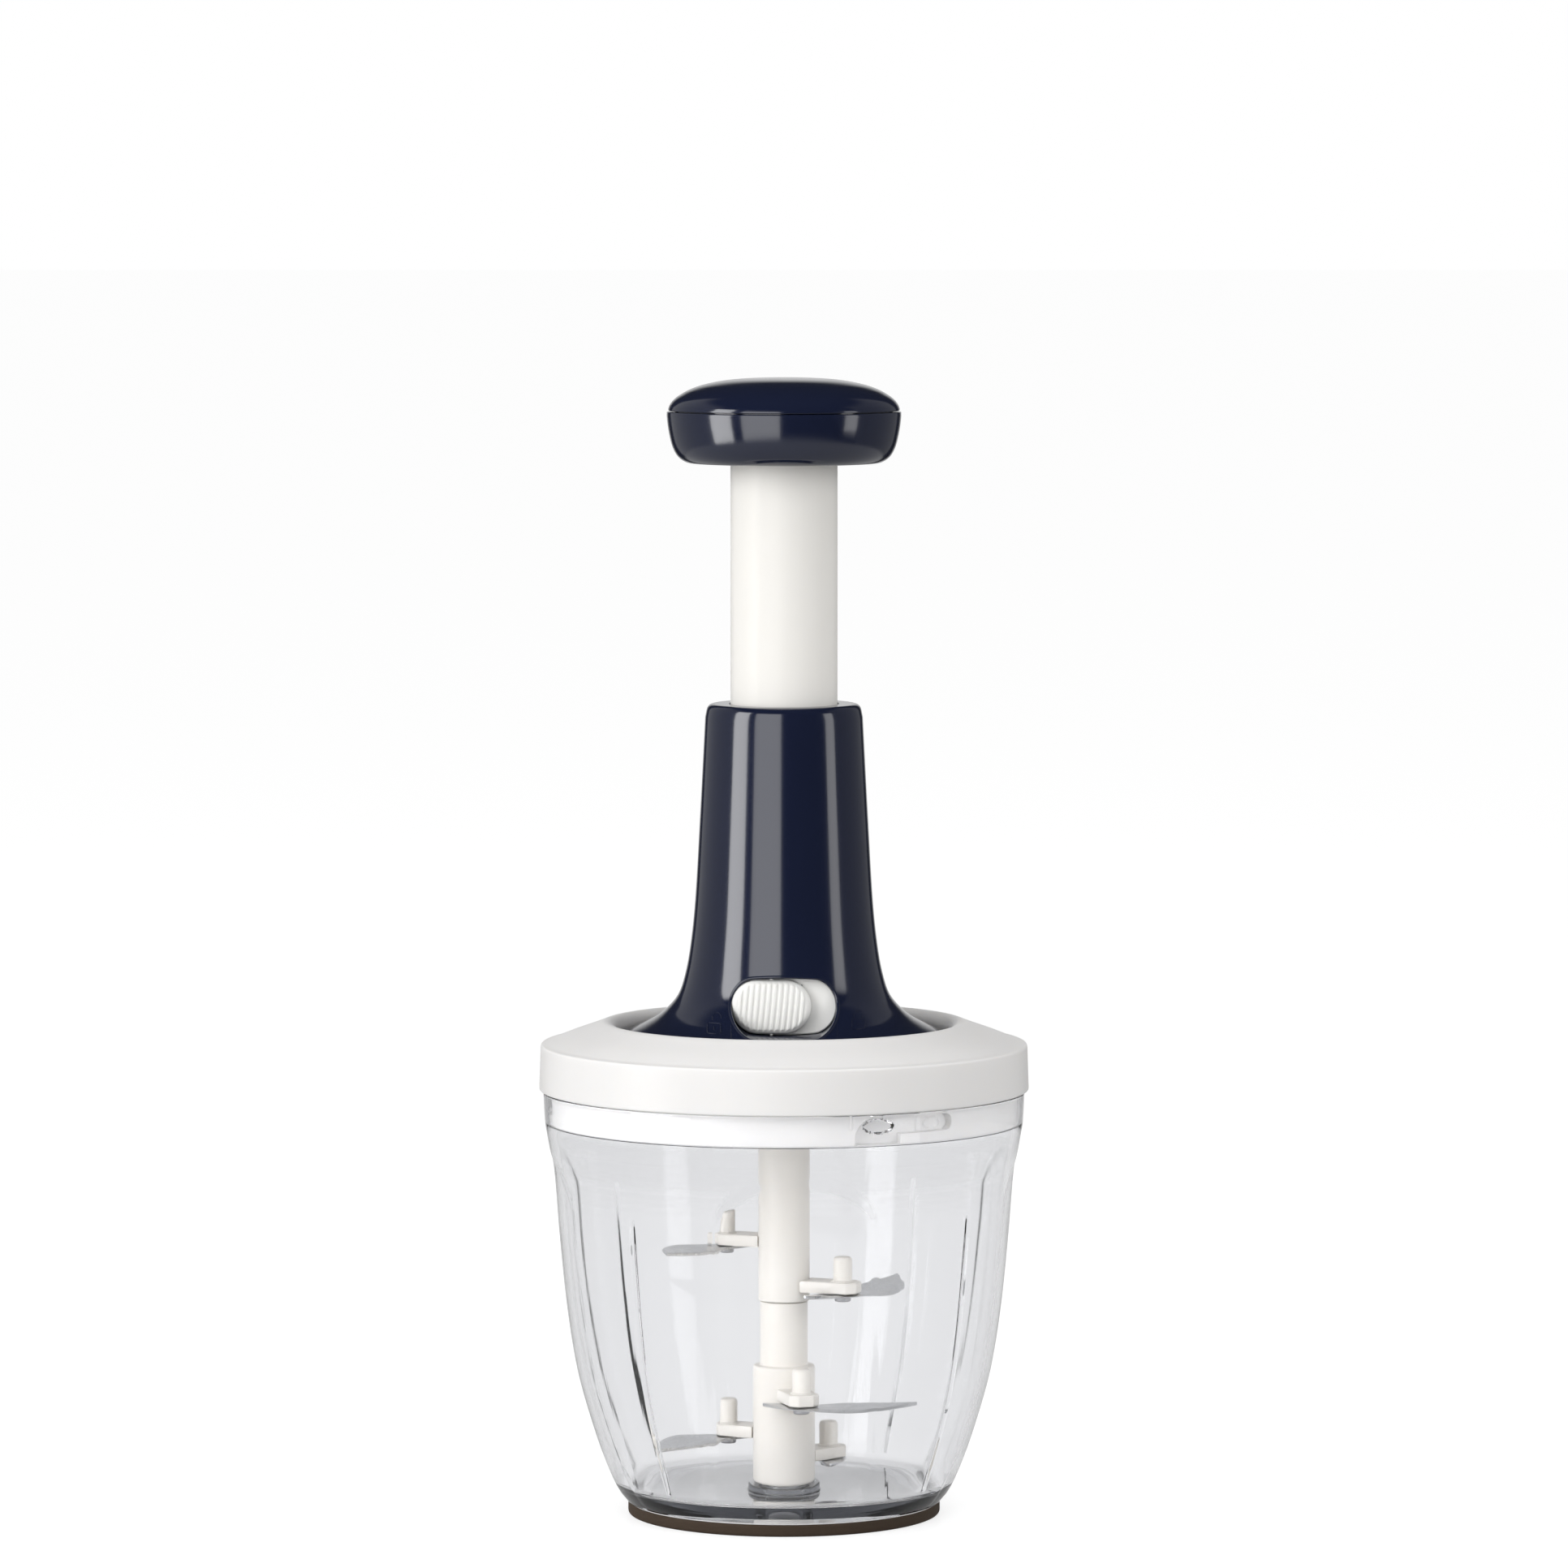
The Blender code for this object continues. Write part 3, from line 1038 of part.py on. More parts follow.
def make_lock_button():
    """Ribbed obround button, hollowed at the back for the bolt."""
    upright = Matrix.Rotation(FULL_TURN / 4, 4, "X")
    place = Matrix.Translation((button_centre(), 0, WINDOW_Z)) @ upright
    back = GUIDE_FACE + SEAT_GAP
    body = obround(BUTTON_LENGTH, BUTTON_HEIGHT, BUTTON_CORNER_STEPS)
    face = obround(BUTTON_LENGTH - 2 * BUTTON_EDGE, BUTTON_HEIGHT - 2 * BUTTON_EDGE,
                   BUTTON_CORNER_STEPS)
    obj = loft("lock_button", [(body, back), (body, BUTTON_FACE - BUTTON_EDGE),
                               (face, BUTTON_FACE)], place, PARTS, WHITE)
    half = GROOVE_WIDTH / 2
    for index in range(GROOVE_COUNT):
        x = button_centre() + (index - (GROOVE_COUNT - 1) / 2) * GROOVE_PITCH
        cut(obj, box("grip_groove", (x - half, -BUTTON_FACE - OVERRUN, WINDOW_Z - BUTTON_HEIGHT),
                     (x + half, -BUTTON_FACE + GROOVE_DEPTH, WINDOW_Z + BUTTON_HEIGHT)))
    half = BOLT_WIDTH / 2 + SEAT_GAP
    rise = BOLT_HEIGHT / 2 + SEAT_GAP
    cut(obj, box("bolt_pocket", (BOLT_OFFSET - half, -back - BOLT_SOCKET - SEAT_GAP, BOLT_Z - rise),
                 (BOLT_OFFSET + half, -back + OVERRUN, BOLT_Z + rise)))
    bake(obj)


def make_lock_bolt():
    """Bolt carried by the button; its tip enters the slot of the pressed tube."""
    half = BOLT_WIDTH / 2
    rise = BOLT_HEIGHT / 2
    back = GUIDE_FACE + SEAT_GAP + BOLT_SOCKET
    outline = [(BOLT_OFFSET - half, -back), (BOLT_OFFSET + half, -back),
               (BOLT_OFFSET + half, -BOLT_TIP), (BOLT_OFFSET - half, -BOLT_TIP)]
    prism("lock_bolt", [outline], BOLT_Z - rise, BOLT_Z + rise, PARTS, WHITE)


# Knob, tube, nut
def make_knob_cap():
    """Domed top of the knob with a locating ring."""
    outer = shared_outline(CAP_OUTLINE_SHARES, KNOB_HEIGHT, KNOB_RADIUS, KNOB_Z)
    seam = KNOB_SEAM_Z + SEAT_GAP
    inner = [(max(r, 0), z) for r, z in inset(outer[::-1], KNOB_WALL)][:-2]
    inner[0] = (0, outer[-1][1] - KNOB_WALL)
    spigot = KNOB_RADIUS - KNOB_WALL - SEAT_GAP
    low = seam - CAP_SPIGOT_DEPTH
    profile = [*outer[::-1], (outer[0][0], seam), (spigot, seam), (spigot, low),
               (spigot - CAP_SPIGOT_WALL, low),
               (spigot - CAP_SPIGOT_WALL, seam + SEAM_CHAMFER), *inner[::-1]]
    bake(revolve("knob_cap", without_repeats(profile), MEDIUM_SEGMENTS, look=NAVY))


def make_knob_base():
    """Lower half of the knob: rolled rim, hollow underside and the socket for the tube."""
    outer = shared_outline(KNOB_BASE_OUTLINE_SHARES, KNOB_HEIGHT, KNOB_RADIUS, KNOB_Z)
    socket = TUBE_RADIUS + SEAT_GAP
    hub = socket + KNOB_HUB_WALL
    web_z = TUBE_TOP_Z + SEAT_GAP
    hollow_top = KNOB_Z + KNOB_HOLLOW_DEPTH
    wall_inner = KNOB_RADIUS - KNOB_WALL
    hole = KNOB_SCREW_RADIUS + SEAT_GAP
    floor = hollow_top + KNOB_WEB
    profile = [
        (hole, web_z + KNOB_WEB), (hub, web_z + KNOB_WEB), (hub, floor),
        (KNOB_HOLLOW_RADIUS, floor), (wall_inner - KNOB_WALL, floor),
        (wall_inner, KNOB_Z + KNOB_HEIGHT * KNOB_BASE_OUTLINE_SHARES[1][0]),
        (wall_inner, KNOB_SEAM_Z), (outer[0][0], KNOB_SEAM_Z), *outer,
        (KNOB_HOLLOW_RADIUS, KNOB_Z + KNOB_WEB), (KNOB_HOLLOW_RADIUS, hollow_top),
        (hub, hollow_top), (hub, KNOB_Z + KNOB_WALL), (socket, KNOB_Z + KNOB_WALL),
        (socket, web_z), (hole, web_z),
    ]
    bake(revolve("knob_base", without_repeats(profile), MEDIUM_SEGMENTS, look=NAVY))


def make_plunger_tube():
    """White tube with its stop flange and the slot for the lock bolt."""
    bore = TUBE_BORE
    flange = TUBE_RADIUS + TUBE_FLANGE_STEP
    profile = [(bore, TUBE_TOP_Z), (TUBE_RADIUS, TUBE_TOP_Z),
               (TUBE_RADIUS, TUBE_Z + TUBE_FLANGE_HEIGHT), (flange, TUBE_Z + TUBE_FLANGE_HEIGHT),
               (flange, TUBE_Z), (bore, TUBE_Z)]
    obj = revolve("plunger_tube", profile, MEDIUM_SEGMENTS, look=WHITE)
    slot_z = BOLT_Z + STROKE
    rise = BOLT_HEIGHT / 2 + 2 * SLIDING_GAP
    locked = BOLT_OFFSET + LOCK_TRAVEL + BOLT_WIDTH / 2 + SLIDING_GAP
    cut(obj, box("tube_slot", (-TUBE_RADIUS, -TUBE_RADIUS - OVERRUN, slot_z - rise),
                 (locked, -BOLT_TIP + SLIDING_GAP + OVERRUN, slot_z + rise)))
    bake(obj)


def make_tube_plug():
    """Plug in the top of the tube: the spring bears on it and the knob is screwed to it."""
    radius = TUBE_BORE - SEAT_GAP
    pilot = KNOB_SCREW_RADIUS + SEAT_GAP
    pilot_z = TUBE_TOP_Z - KNOB_SCREW_BITE - SEAT_GAP
    profile = [(0, pilot_z), (pilot, pilot_z), (pilot, TUBE_TOP_Z), (radius, TUBE_TOP_Z),
               (radius, PLUG_Z), (0, PLUG_Z)]
    bake(revolve("tube_plug", profile, SMALL_SEGMENTS, look=WHITE))


def make_knob_screw():
    """Screw that holds the knob base on the plug."""
    head_z = TUBE_TOP_Z + SEAT_GAP + KNOB_WEB + SEAT_GAP
    top = head_z + KNOB_SCREW_HEAD_HEIGHT
    profile = [(0, top), (KNOB_SCREW_HEAD_RADIUS - SEAM_CHAMFER, top),
               (KNOB_SCREW_HEAD_RADIUS, top - KNOB_SCREW_HEAD_HEIGHT / 2),
               (KNOB_SCREW_HEAD_RADIUS, head_z), (KNOB_SCREW_RADIUS, head_z),
               (KNOB_SCREW_RADIUS, TUBE_TOP_Z - KNOB_SCREW_BITE),
               (0, TUBE_TOP_Z - KNOB_SCREW_BITE)]
    bake(revolve("knob_screw", profile, TINY_SEGMENTS, look=STEEL))


def twisted_bar(name, width, thickness, bottom, top, stations):
    """Flat bar twisted left-handed about Z, upright at the nut, made with a Simple Deform."""
    bm = bmesh.new()
    bmesh.ops.create_cube(bm, size=1)
    upright = [edge for edge in bm.edges if abs(edge.verts[0].co.z - edge.verts[1].co.z) > WELD]
    bmesh.ops.subdivide_edges(bm, edges=upright, cuts=stations - 1, use_grid_fill=True)
    shape = (Matrix.Translation((0, 0, (bottom + top) / 2))
             @ Matrix.Diagonal((width, thickness, top - bottom, 1)))
    bm.transform(shape)
    obj = link_mesh(name, mesh_from_bmesh(name, bm), CUTTERS)
    twist = obj.modifiers.new("twist", "SIMPLE_DEFORM")
    twist.deform_method = "TWIST"
    twist.deform_axis = "Z"
    twist.angle = -SPIN_PER_METRE * (top - bottom)
    return bake(obj)


def make_drive_nut():
    """Nut in the tube's lower end whose twisted slot turns the rod."""
    radius = TUBE_BORE - SEAT_GAP
    obj = disc("drive_nut", radius, NUT_Z, NUT_Z + NUT_HEIGHT, SMALL_SEGMENTS,
               collection=PARTS, look=GEAR_PLASTIC)
    step = (ROD_TOP_Z - ROD_BAR_Z) / ROD_STATIONS
    slot = twisted_bar("nut_slot", ROD_WIDTH + 2 * SLIDING_GAP, ROD_THICKNESS + 2 * SLIDING_GAP,
                       NUT_Z - 2 * step, NUT_Z + NUT_HEIGHT + 2 * step, TINY_SEGMENTS)
    cut(obj, slot)
    bake(obj)


# Spiral rod, ratchet, carrier and gears
def make_spiral_rod():
    """Twisted rod with the collar, journal and pilot that carry it in the gearbox plate."""
    bar = twisted_bar("rod_bar", ROD_WIDTH, ROD_THICKNESS, ROD_BAR_Z - ROD_COLLAR_HEIGHT / 2,
                      ROD_TOP_Z, ROD_STATIONS)
    pilot = RATCHET_Z - ROD_PILOT_LENGTH
    key = RATCHET_Z + RATCHET_THICKNESS
    keyed = RATCHET_RADIUS / 2
    profile = [(0, ROD_BAR_Z), (ROD_COLLAR_RADIUS, ROD_BAR_Z), (ROD_COLLAR_RADIUS, ROD_COLLAR_Z),
               (ROD_JOURNAL_RADIUS, ROD_COLLAR_Z), (ROD_JOURNAL_RADIUS, key + SEAT_GAP),
               (keyed, key + SEAT_GAP), (keyed, RATCHET_Z), (ROD_PILOT_RADIUS, RATCHET_Z),
               (ROD_PILOT_RADIUS, pilot), (0, pilot)]
    obj = revolve("spiral_rod", profile, SMALL_SEGMENTS, look=STEEL)
    join(obj, bar)
    bake(obj)


def make_spring_seat():
    """Seat on the rod's top end, with a spigot inside the spring."""
    low = SEAT_Z
    high = low + SEAT_HEIGHT
    profile = [(0, high + SEAT_SPIGOT_HEIGHT), (SEAT_SPIGOT_RADIUS, high + SEAT_SPIGOT_HEIGHT),
               (SEAT_SPIGOT_RADIUS, high), (SEAT_RADIUS, high), (SEAT_RADIUS, low), (0, low)]
    bake(revolve("spring_seat", profile, SMALL_SEGMENTS, look=WHITE))


def spring_points():
    """Centre line of the return spring, closed up at both ends."""
    radius = SPRING_RADIUS
    bottom = SPRING_Z + SPRING_WIRE / 2
    top = SPRING_TOP_Z - SPRING_WIRE / 2
    dead_pitch = SPRING_WIRE + 2 * RUNNING_GAP
    dead = SPRING_DEAD_TURNS / 2
    live_rise = top - bottom - 2 * dead * dead_pitch
    live = SPRING_TURNS - SPRING_DEAD_TURNS
    points = []
    for index in range(SPRING_TURNS * SPRING_POINTS_PER_TURN + 1):
        turn = index / SPRING_POINTS_PER_TURN
        low_end = min(turn, dead)
        middle = min(max(turn - dead, 0), live)
        high_end = max(turn - dead - live, 0)
        z = bottom + (low_end + high_end) * dead_pitch + middle / live * live_rise
        points.append(Vector((radius * math.cos(FULL_TURN * turn),
                              radius * math.sin(FULL_TURN * turn), z)))
    return points


def least_self_gap(points, wire, per_turn):
    """Smallest clear distance between turns, measured on the centre line."""
    least = math.inf
    for index, point in enumerate(points):
        for other in points[index + per_turn // 2 + 1:]:
            least = min(least, (point - other).length - wire)
    return least


def make_return_spring():
    """Round-wire spring inside the tube, one unbroken coil."""
    points = spring_points()
    curve = bpy.data.curves.new("return_spring", "CURVE")
    curve.dimensions = "3D"
    curve.bevel_depth = SPRING_WIRE / 2
    curve.bevel_resolution = 1
    curve.use_fill_caps = True
    spline = curve.splines.new("POLY")
    spline.points.add(len(points) - 1)
    for target, point in zip(spline.points, points):
        target.co = (*point, 1)
    curve.materials.append(STEEL)
    PARTS.objects.link(bpy.data.objects.new("return_spring", curve))
    gap = least_self_gap(points, SPRING_WIRE, SPRING_POINTS_PER_TURN)
    print(f"return_spring: least gap to itself {gap / MM:.2f} mm")


def tooth_half_angle(radius, teeth, play):
    """Half the angle of an involute tooth at a radius."""
    pitch = MODULE * teeth / 2
    alpha = math.radians(PRESSURE_ANGLE)
    base = pitch * math.cos(alpha)
    at = math.acos(min(1.0, base / radius)) if radius > base else 0.0
    involute = (math.tan(alpha) - alpha) - (math.tan(at) - at)
    return math.pi / (2 * teeth) + involute - play / (2 * pitch)


def gear_outline(teeth, inner, outer, play, phase):
    """Outline of a gear, or of the space inside a ring gear, from three radii a flank."""
    radii = (inner, MODULE * teeth / 2, outer)
    points = []
    for tooth in range(teeth):
        centre = phase + FULL_TURN * tooth / teeth
        flank = [(r, tooth_half_angle(r, teeth, play)) for r in radii]
        polar = [(r, centre - half) for r, half in flank]
        polar += [(r, centre + half) for r, half in flank[::-1]]
        points += [(r * math.cos(a), r * math.sin(a)) for r, a in polar]
    return points


def gear_radii(teeth, internal=False):
    """Root and tip radii, or tip and root for a ring gear."""
    pitch = MODULE * teeth / 2
    addendum = MODULE * ADDENDUM_SHARE
    dedendum = addendum + MODULE * ROOT_CLEARANCE_SHARE
    if internal:
        return pitch - addendum, pitch + dedendum
    return pitch - dedendum, pitch + addendum


def make_ring_gear():
    """Fixed ring gear on the cover floor."""
    tip, root = gear_radii(RING_TEETH, internal=True)
    space = gear_outline(RING_TEETH, tip, root, -TOOTH_PLAY, math.pi / RING_TEETH)
    outer = circle(root + RING_RIM, LARGE_SEGMENTS)
    prism("ring_gear", [outer, space], COVER_FLOOR_Z + SEAT_GAP,
          GEAR_Z + GEAR_HEIGHT + SEAT_GAP, PARTS, GEAR_PLASTIC)


def make_sun_gear():
    """Sun gear on the drive shaft."""
    root, tip = gear_radii(SUN_TEETH)
    hole = circle(SUN_SEAT_RADIUS + SEAT_GAP, SMALL_SEGMENTS)
    prism("sun_gear", [gear_outline(SUN_TEETH, root, tip, TOOTH_PLAY, 0), hole],
          GEAR_Z, GEAR_Z + GEAR_HEIGHT, PARTS, GEAR_PLASTIC)


def planet_places():
    """Centres of the planet gears."""
    for index in range(PLANET_COUNT):
        angle = FULL_TURN * index / PLANET_COUNT
        yield index + 1, angle, Vector((ORBIT_RADIUS, 0, 0))


def make_planet_gears():
    """Three planet gears, each with its origin on its own pin."""
    root, tip = gear_radii(PLANET_TEETH)
    hole = circle(PIN_RADIUS + RUNNING_GAP, TINY_SEGMENTS)
    outline = gear_outline(PLANET_TEETH, root, tip, TOOTH_PLAY, math.pi / PLANET_TEETH)
    for number, angle, centre in planet_places():
        gear = prism(f"planet_gear_{number}", [outline, hole], 0, GEAR_HEIGHT, PARTS,
                     GEAR_PLASTIC)
        gear.rotation_euler.z = angle
        gear.location = Matrix.Rotation(angle, 4, "Z") @ centre + Vector((0, 0, GEAR_Z))


def make_planet_carrier():
    """Three-cornered plate above the planets that holds their pins and the pawls."""
    reach = ORBIT_RADIUS + CARRIER_EDGE
    obj = disc("planet_carrier", reach, CARRIER_Z, CARRIER_Z + CARRIER_THICKNESS,
               MEDIUM_SEGMENTS, collection=PARTS, look=WHITE)
    cut(obj, disc("pilot_bore", ROD_PILOT_RADIUS + RUNNING_GAP, CARRIER_Z - OVERRUN,
                  CARRIER_Z + CARRIER_THICKNESS + OVERRUN))
    for _, angle, centre in planet_places():
        cut(obj, disc("pin_bore", PIN_RADIUS + SEAT_GAP, CARRIER_Z - OVERRUN,
                      CARRIER_Z + CARRIER_THICKNESS + OVERRUN, place=centre.xy,
                      matrix=Matrix.Rotation(angle, 4, "Z")),
            disc("carrier_relief", CARRIER_RELIEF_RADIUS, CARRIER_Z - OVERRUN,
                 CARRIER_Z + CARRIER_THICKNESS + OVERRUN, place=centre.xy,
                 matrix=Matrix.Rotation(angle + FULL_TURN / (2 * PLANET_COUNT), 4, "Z")))
    bake(obj)


def make_planet_pins():
    """Headed pins that carry the planets."""
    bottom = GEAR_Z - SEAT_GAP - PIN_HEAD_HEIGHT
    profile = headed_pin(PIN_RADIUS, PIN_HEAD_RADIUS, bottom, PIN_HEAD_HEIGHT,
                         CARRIER_Z + CARRIER_THICKNESS)
    pins = [(profile, Matrix.Rotation(angle, 4, "Z") @ centre)
            for _, angle, centre in planet_places()]
    make_copies("planet_pin", pins, TINY_SEGMENTS, STEEL)


def make_ratchet_wheel():
    """Saw-toothed wheel keyed to the rod: the driving half of the one-way clutch."""
    outline = []
    for tooth in range(RATCHET_TEETH):
        start = FULL_TURN * tooth / RATCHET_TEETH
        outline.append(((RATCHET_RADIUS - RATCHET_TOOTH) * math.cos(start),
                        (RATCHET_RADIUS - RATCHET_TOOTH) * math.sin(start)))
        outline.append((RATCHET_RADIUS * math.cos(start), RATCHET_RADIUS * math.sin(start)))
    hole = circle(RATCHET_RADIUS / 2 + SEAT_GAP, SMALL_SEGMENTS)
    prism("ratchet_wheel", [outline, hole], RATCHET_Z, RATCHET_Z + RATCHET_THICKNESS,
          PARTS, STEEL)


def make_clutch_pawls():
    """Two pawls on the carrier that rest against the ratchet teeth."""
    inner = RATCHET_RADIUS + SEAT_GAP
    half = PAWL_LENGTH / 2
    outline = [(inner, -half), (inner + PAWL_WIDTH, -half), (inner + PAWL_WIDTH, half),
               (inner + PAWL_WIDTH / 2, half)]
    for side in range(2):
        prism(f"clutch_pawl_{side + 1}", [outline], CARRIER_Z + CARRIER_THICKNESS + SEAT_GAP,
              RATCHET_Z + RATCHET_THICKNESS, PARTS, WHITE,
              Matrix.Rotation(FULL_TURN / 2 * side, 4, "Z"))


def make_gearbox_plate():
    """Bearing plate that closes the gear chamber and carries the rod's journal."""
    outer = circle(GEARBOX_PLATE_RADIUS, MEDIUM_SEGMENTS)
    bore = circle(PLATE_BORE, SMALL_SEGMENTS)
    obj = prism("gearbox_plate", [outer, bore], GEARBOX_PLATE_Z,
                GEARBOX_PLATE_Z + GEARBOX_PLATE_THICKNESS, PARTS, WHITE)
    for angle in POST_ANGLES:
        cut(obj, disc("plate_hole", SCREW_HOLE_RADIUS, GEARBOX_PLATE_Z - OVERRUN,
                      GEARBOX_PLATE_Z + GEARBOX_PLATE_THICKNESS + OVERRUN,
                      place=(POST_CENTRE, 0), matrix=radial_frame(angle)))
    bake(obj)


# Drive shaft, bush, washer
def make_drive_shaft():
    """Square shaft below the base, round journal in the bush and seat for the sun gear."""
    journal_low = PUMP_Z - SEAT_GAP
    sun_low = GEAR_Z - SEAT_GAP
    sun_top = GEAR_Z + GEAR_HEIGHT
    profile = [(0, journal_low), (JOURNAL_RADIUS, journal_low), (JOURNAL_RADIUS, sun_low),
               (SUN_SEAT_RADIUS, sun_low), (SUN_SEAT_RADIUS, sun_top),
               (DRIVE_PILOT_RADIUS, sun_top), (DRIVE_PILOT_RADIUS, sun_top + DRIVE_PILOT_LENGTH),
               (0, sun_top + DRIVE_PILOT_LENGTH)]
    obj = revolve("drive_shaft", profile, SMALL_SEGMENTS, look=NAVY)
    join(obj, prism("drive_square", [drive_outline(DRIVE_WIDTH)], PUMP_Z - DRIVE_SHOWING,
                    PUMP_Z + COVER_FLOOR / 2, matrix=turned(DRIVE_TURN)))
    bake(obj)


def make_drive_bush():
    """Brass bush in the cover floor, flanged inside."""
    low = PUMP_Z + SEAT_GAP
    flange_low = COVER_FLOOR_Z + SEAT_GAP
    flange_top = flange_low + BUSH_FLANGE_HEIGHT
    profile = [(BUSH_BORE, flange_top), (BUSH_FLANGE_RADIUS, flange_top),
               (BUSH_FLANGE_RADIUS, flange_low), (BUSH_RADIUS, flange_low), (BUSH_RADIUS, low),
               (BUSH_BORE, low)]
    bake(revolve("drive_bush", profile, SMALL_SEGMENTS, look=BRASS))


def make_thrust_washer():
    """Steel washer between bush and sun gear."""
    low = GEAR_Z - SEAT_GAP - WASHER_THICKNESS
    profile = [(BUSH_BORE, low + WASHER_THICKNESS), (WASHER_RADIUS, low + WASHER_THICKNESS),
               (WASHER_RADIUS, low), (BUSH_BORE, low)]
    bake(revolve("thrust_washer", profile, SMALL_SEGMENTS, look=STEEL))


def build():
    """Model every piece of the chopper."""
    make_base_pad()
    make_bowl()
    make_lower_blade_shaft()
    make_upper_blade_sleeve()
    for number, tier in enumerate(LOWER_TIERS, start=1):
        make_blade(f"lower_blade_{number}", *tier)
    for number, tier in enumerate(UPPER_TIERS, start=1):
        make_blade(f"upper_blade_{number}", *tier)
    make_blade_rivets()
    make_lid()
    make_base_cover()
    make_housing()
    make_cover_screws()
    make_tube_guide()
    make_lock_guide()
    make_lock_button()
    make_lock_bolt()
    make_knob_cap()
    make_knob_base()
    make_knob_screw()
    make_plunger_tube()
    make_tube_plug()
    make_drive_nut()
    make_spiral_rod()
    make_spring_seat()
    make_return_spring()
    make_ring_gear()
    make_sun_gear()
    make_planet_gears()
    make_planet_carrier()
    make_planet_pins()
    make_ratchet_wheel()
    make_clutch_pawls()
    make_gearbox_plate()
    make_drive_shaft()
    make_drive_bush()
    make_thrust_washer()


build()
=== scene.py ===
"""Looks of the plunger food chopper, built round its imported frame.

Metres and +Z up, in the frame of the CAD. Each sub-assembly is a class whose fields are its
sizes and whose methods work out its surfaces as numpy grids and dress them. A bearing is an
angle in degrees from the front (-Y) towards +X.
"""
from __future__ import annotations

import json
import logging
import math
from dataclasses import dataclass, field
from enum import Enum
from typing import Any, Sequence

import bmesh
import bpy
import numpy as np
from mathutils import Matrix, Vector

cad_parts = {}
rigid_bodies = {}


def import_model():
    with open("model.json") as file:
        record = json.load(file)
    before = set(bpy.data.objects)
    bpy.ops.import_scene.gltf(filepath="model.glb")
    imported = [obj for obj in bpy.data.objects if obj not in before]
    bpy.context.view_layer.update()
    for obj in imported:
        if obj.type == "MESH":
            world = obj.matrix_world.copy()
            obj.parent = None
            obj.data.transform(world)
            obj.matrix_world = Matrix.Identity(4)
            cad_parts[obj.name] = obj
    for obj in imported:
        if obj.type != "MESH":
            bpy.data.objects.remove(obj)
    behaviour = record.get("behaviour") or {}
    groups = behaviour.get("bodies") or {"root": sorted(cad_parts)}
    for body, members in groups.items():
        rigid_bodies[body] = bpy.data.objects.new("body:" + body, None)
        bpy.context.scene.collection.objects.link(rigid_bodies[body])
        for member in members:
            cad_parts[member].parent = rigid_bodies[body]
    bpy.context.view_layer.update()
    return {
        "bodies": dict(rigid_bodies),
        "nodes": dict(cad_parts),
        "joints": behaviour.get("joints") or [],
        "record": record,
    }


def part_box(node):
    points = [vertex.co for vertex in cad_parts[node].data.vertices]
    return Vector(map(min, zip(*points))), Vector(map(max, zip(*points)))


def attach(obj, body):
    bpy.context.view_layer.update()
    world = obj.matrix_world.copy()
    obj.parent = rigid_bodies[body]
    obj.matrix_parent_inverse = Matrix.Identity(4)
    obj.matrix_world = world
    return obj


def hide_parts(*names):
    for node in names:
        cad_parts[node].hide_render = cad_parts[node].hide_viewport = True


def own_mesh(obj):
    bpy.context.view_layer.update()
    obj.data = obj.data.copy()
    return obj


MM = 0.001
# Distance of an outline's extra points from its corners
SUPPORT = 0.4 * MM
# Bowl's lugs and lid's entries, lid's keys and cover's notches, drive bar and its socket
LUG_BEARINGS = (23.0, 143.0, 263.0)
KEY_BEARINGS = (-41.0, 49.0, 139.0, 229.0)
SQUARE_BEARING = 110.0
LOG = logging.getLogger("chopper")
Array = np.ndarray
Colour = tuple[float, float, float]
Pair = tuple[float, float]
Pairs = tuple[Pair, ...]


class Body(Enum):
    """The moving groups of the frame."""

    BOWL = "bowl"
    BLADES = "blades"
    LID = "lid"
    PUMP = "pump"
    PLUNGER = "plunger"
    LOCK = "lock"
    DRIVE = "drive"


# Curves and outlines
def smooth_step(value: Array) -> Array:
    """Ease from 0 to 1: three t squared less two t cubed, with t held between 0 and 1."""
    held = np.clip(value, 0, 1)
    return held * held * (3 - 2 * held)


def smooth_through(at: Array, knots: Array, values: Array) -> Array:
    """Read a monotone cubic that passes through given points.

    Each span is a Hermite cubic; the slope at a knot is the harmonic mean of the two secants
    beside it, or zero where they differ in sign.

    Args:
        at: Places to read.
        knots: Rising places of the given points.
        values: Values at the knots.

    Returns:
        The curve's values at the places asked for.
    """
    width = np.diff(knots)
    secant = np.diff(values) / width
    product = secant[:-1] * secant[1:]
    total = np.where(product > 0, secant[:-1] + secant[1:], 1)
    inner = np.where(product > 0, 2 * product / total, 0)
    slope = np.concatenate([secant[:1], inner, secant[-1:]])
    span = np.clip(np.searchsorted(knots, at, side="right") - 1, 0, len(width) - 1)
    t = np.clip((at - knots[span]) / width[span], 0, 1)
    keep, gain = 2 * t ** 3 - 3 * t ** 2 + 1, t ** 3 - 2 * t ** 2 + t
    late = t ** 3 - t ** 2
    return (keep * values[span] + gain * width[span] * slope[span]
            + (1 - keep) * values[span + 1] + late * width[span] * slope[span + 1])


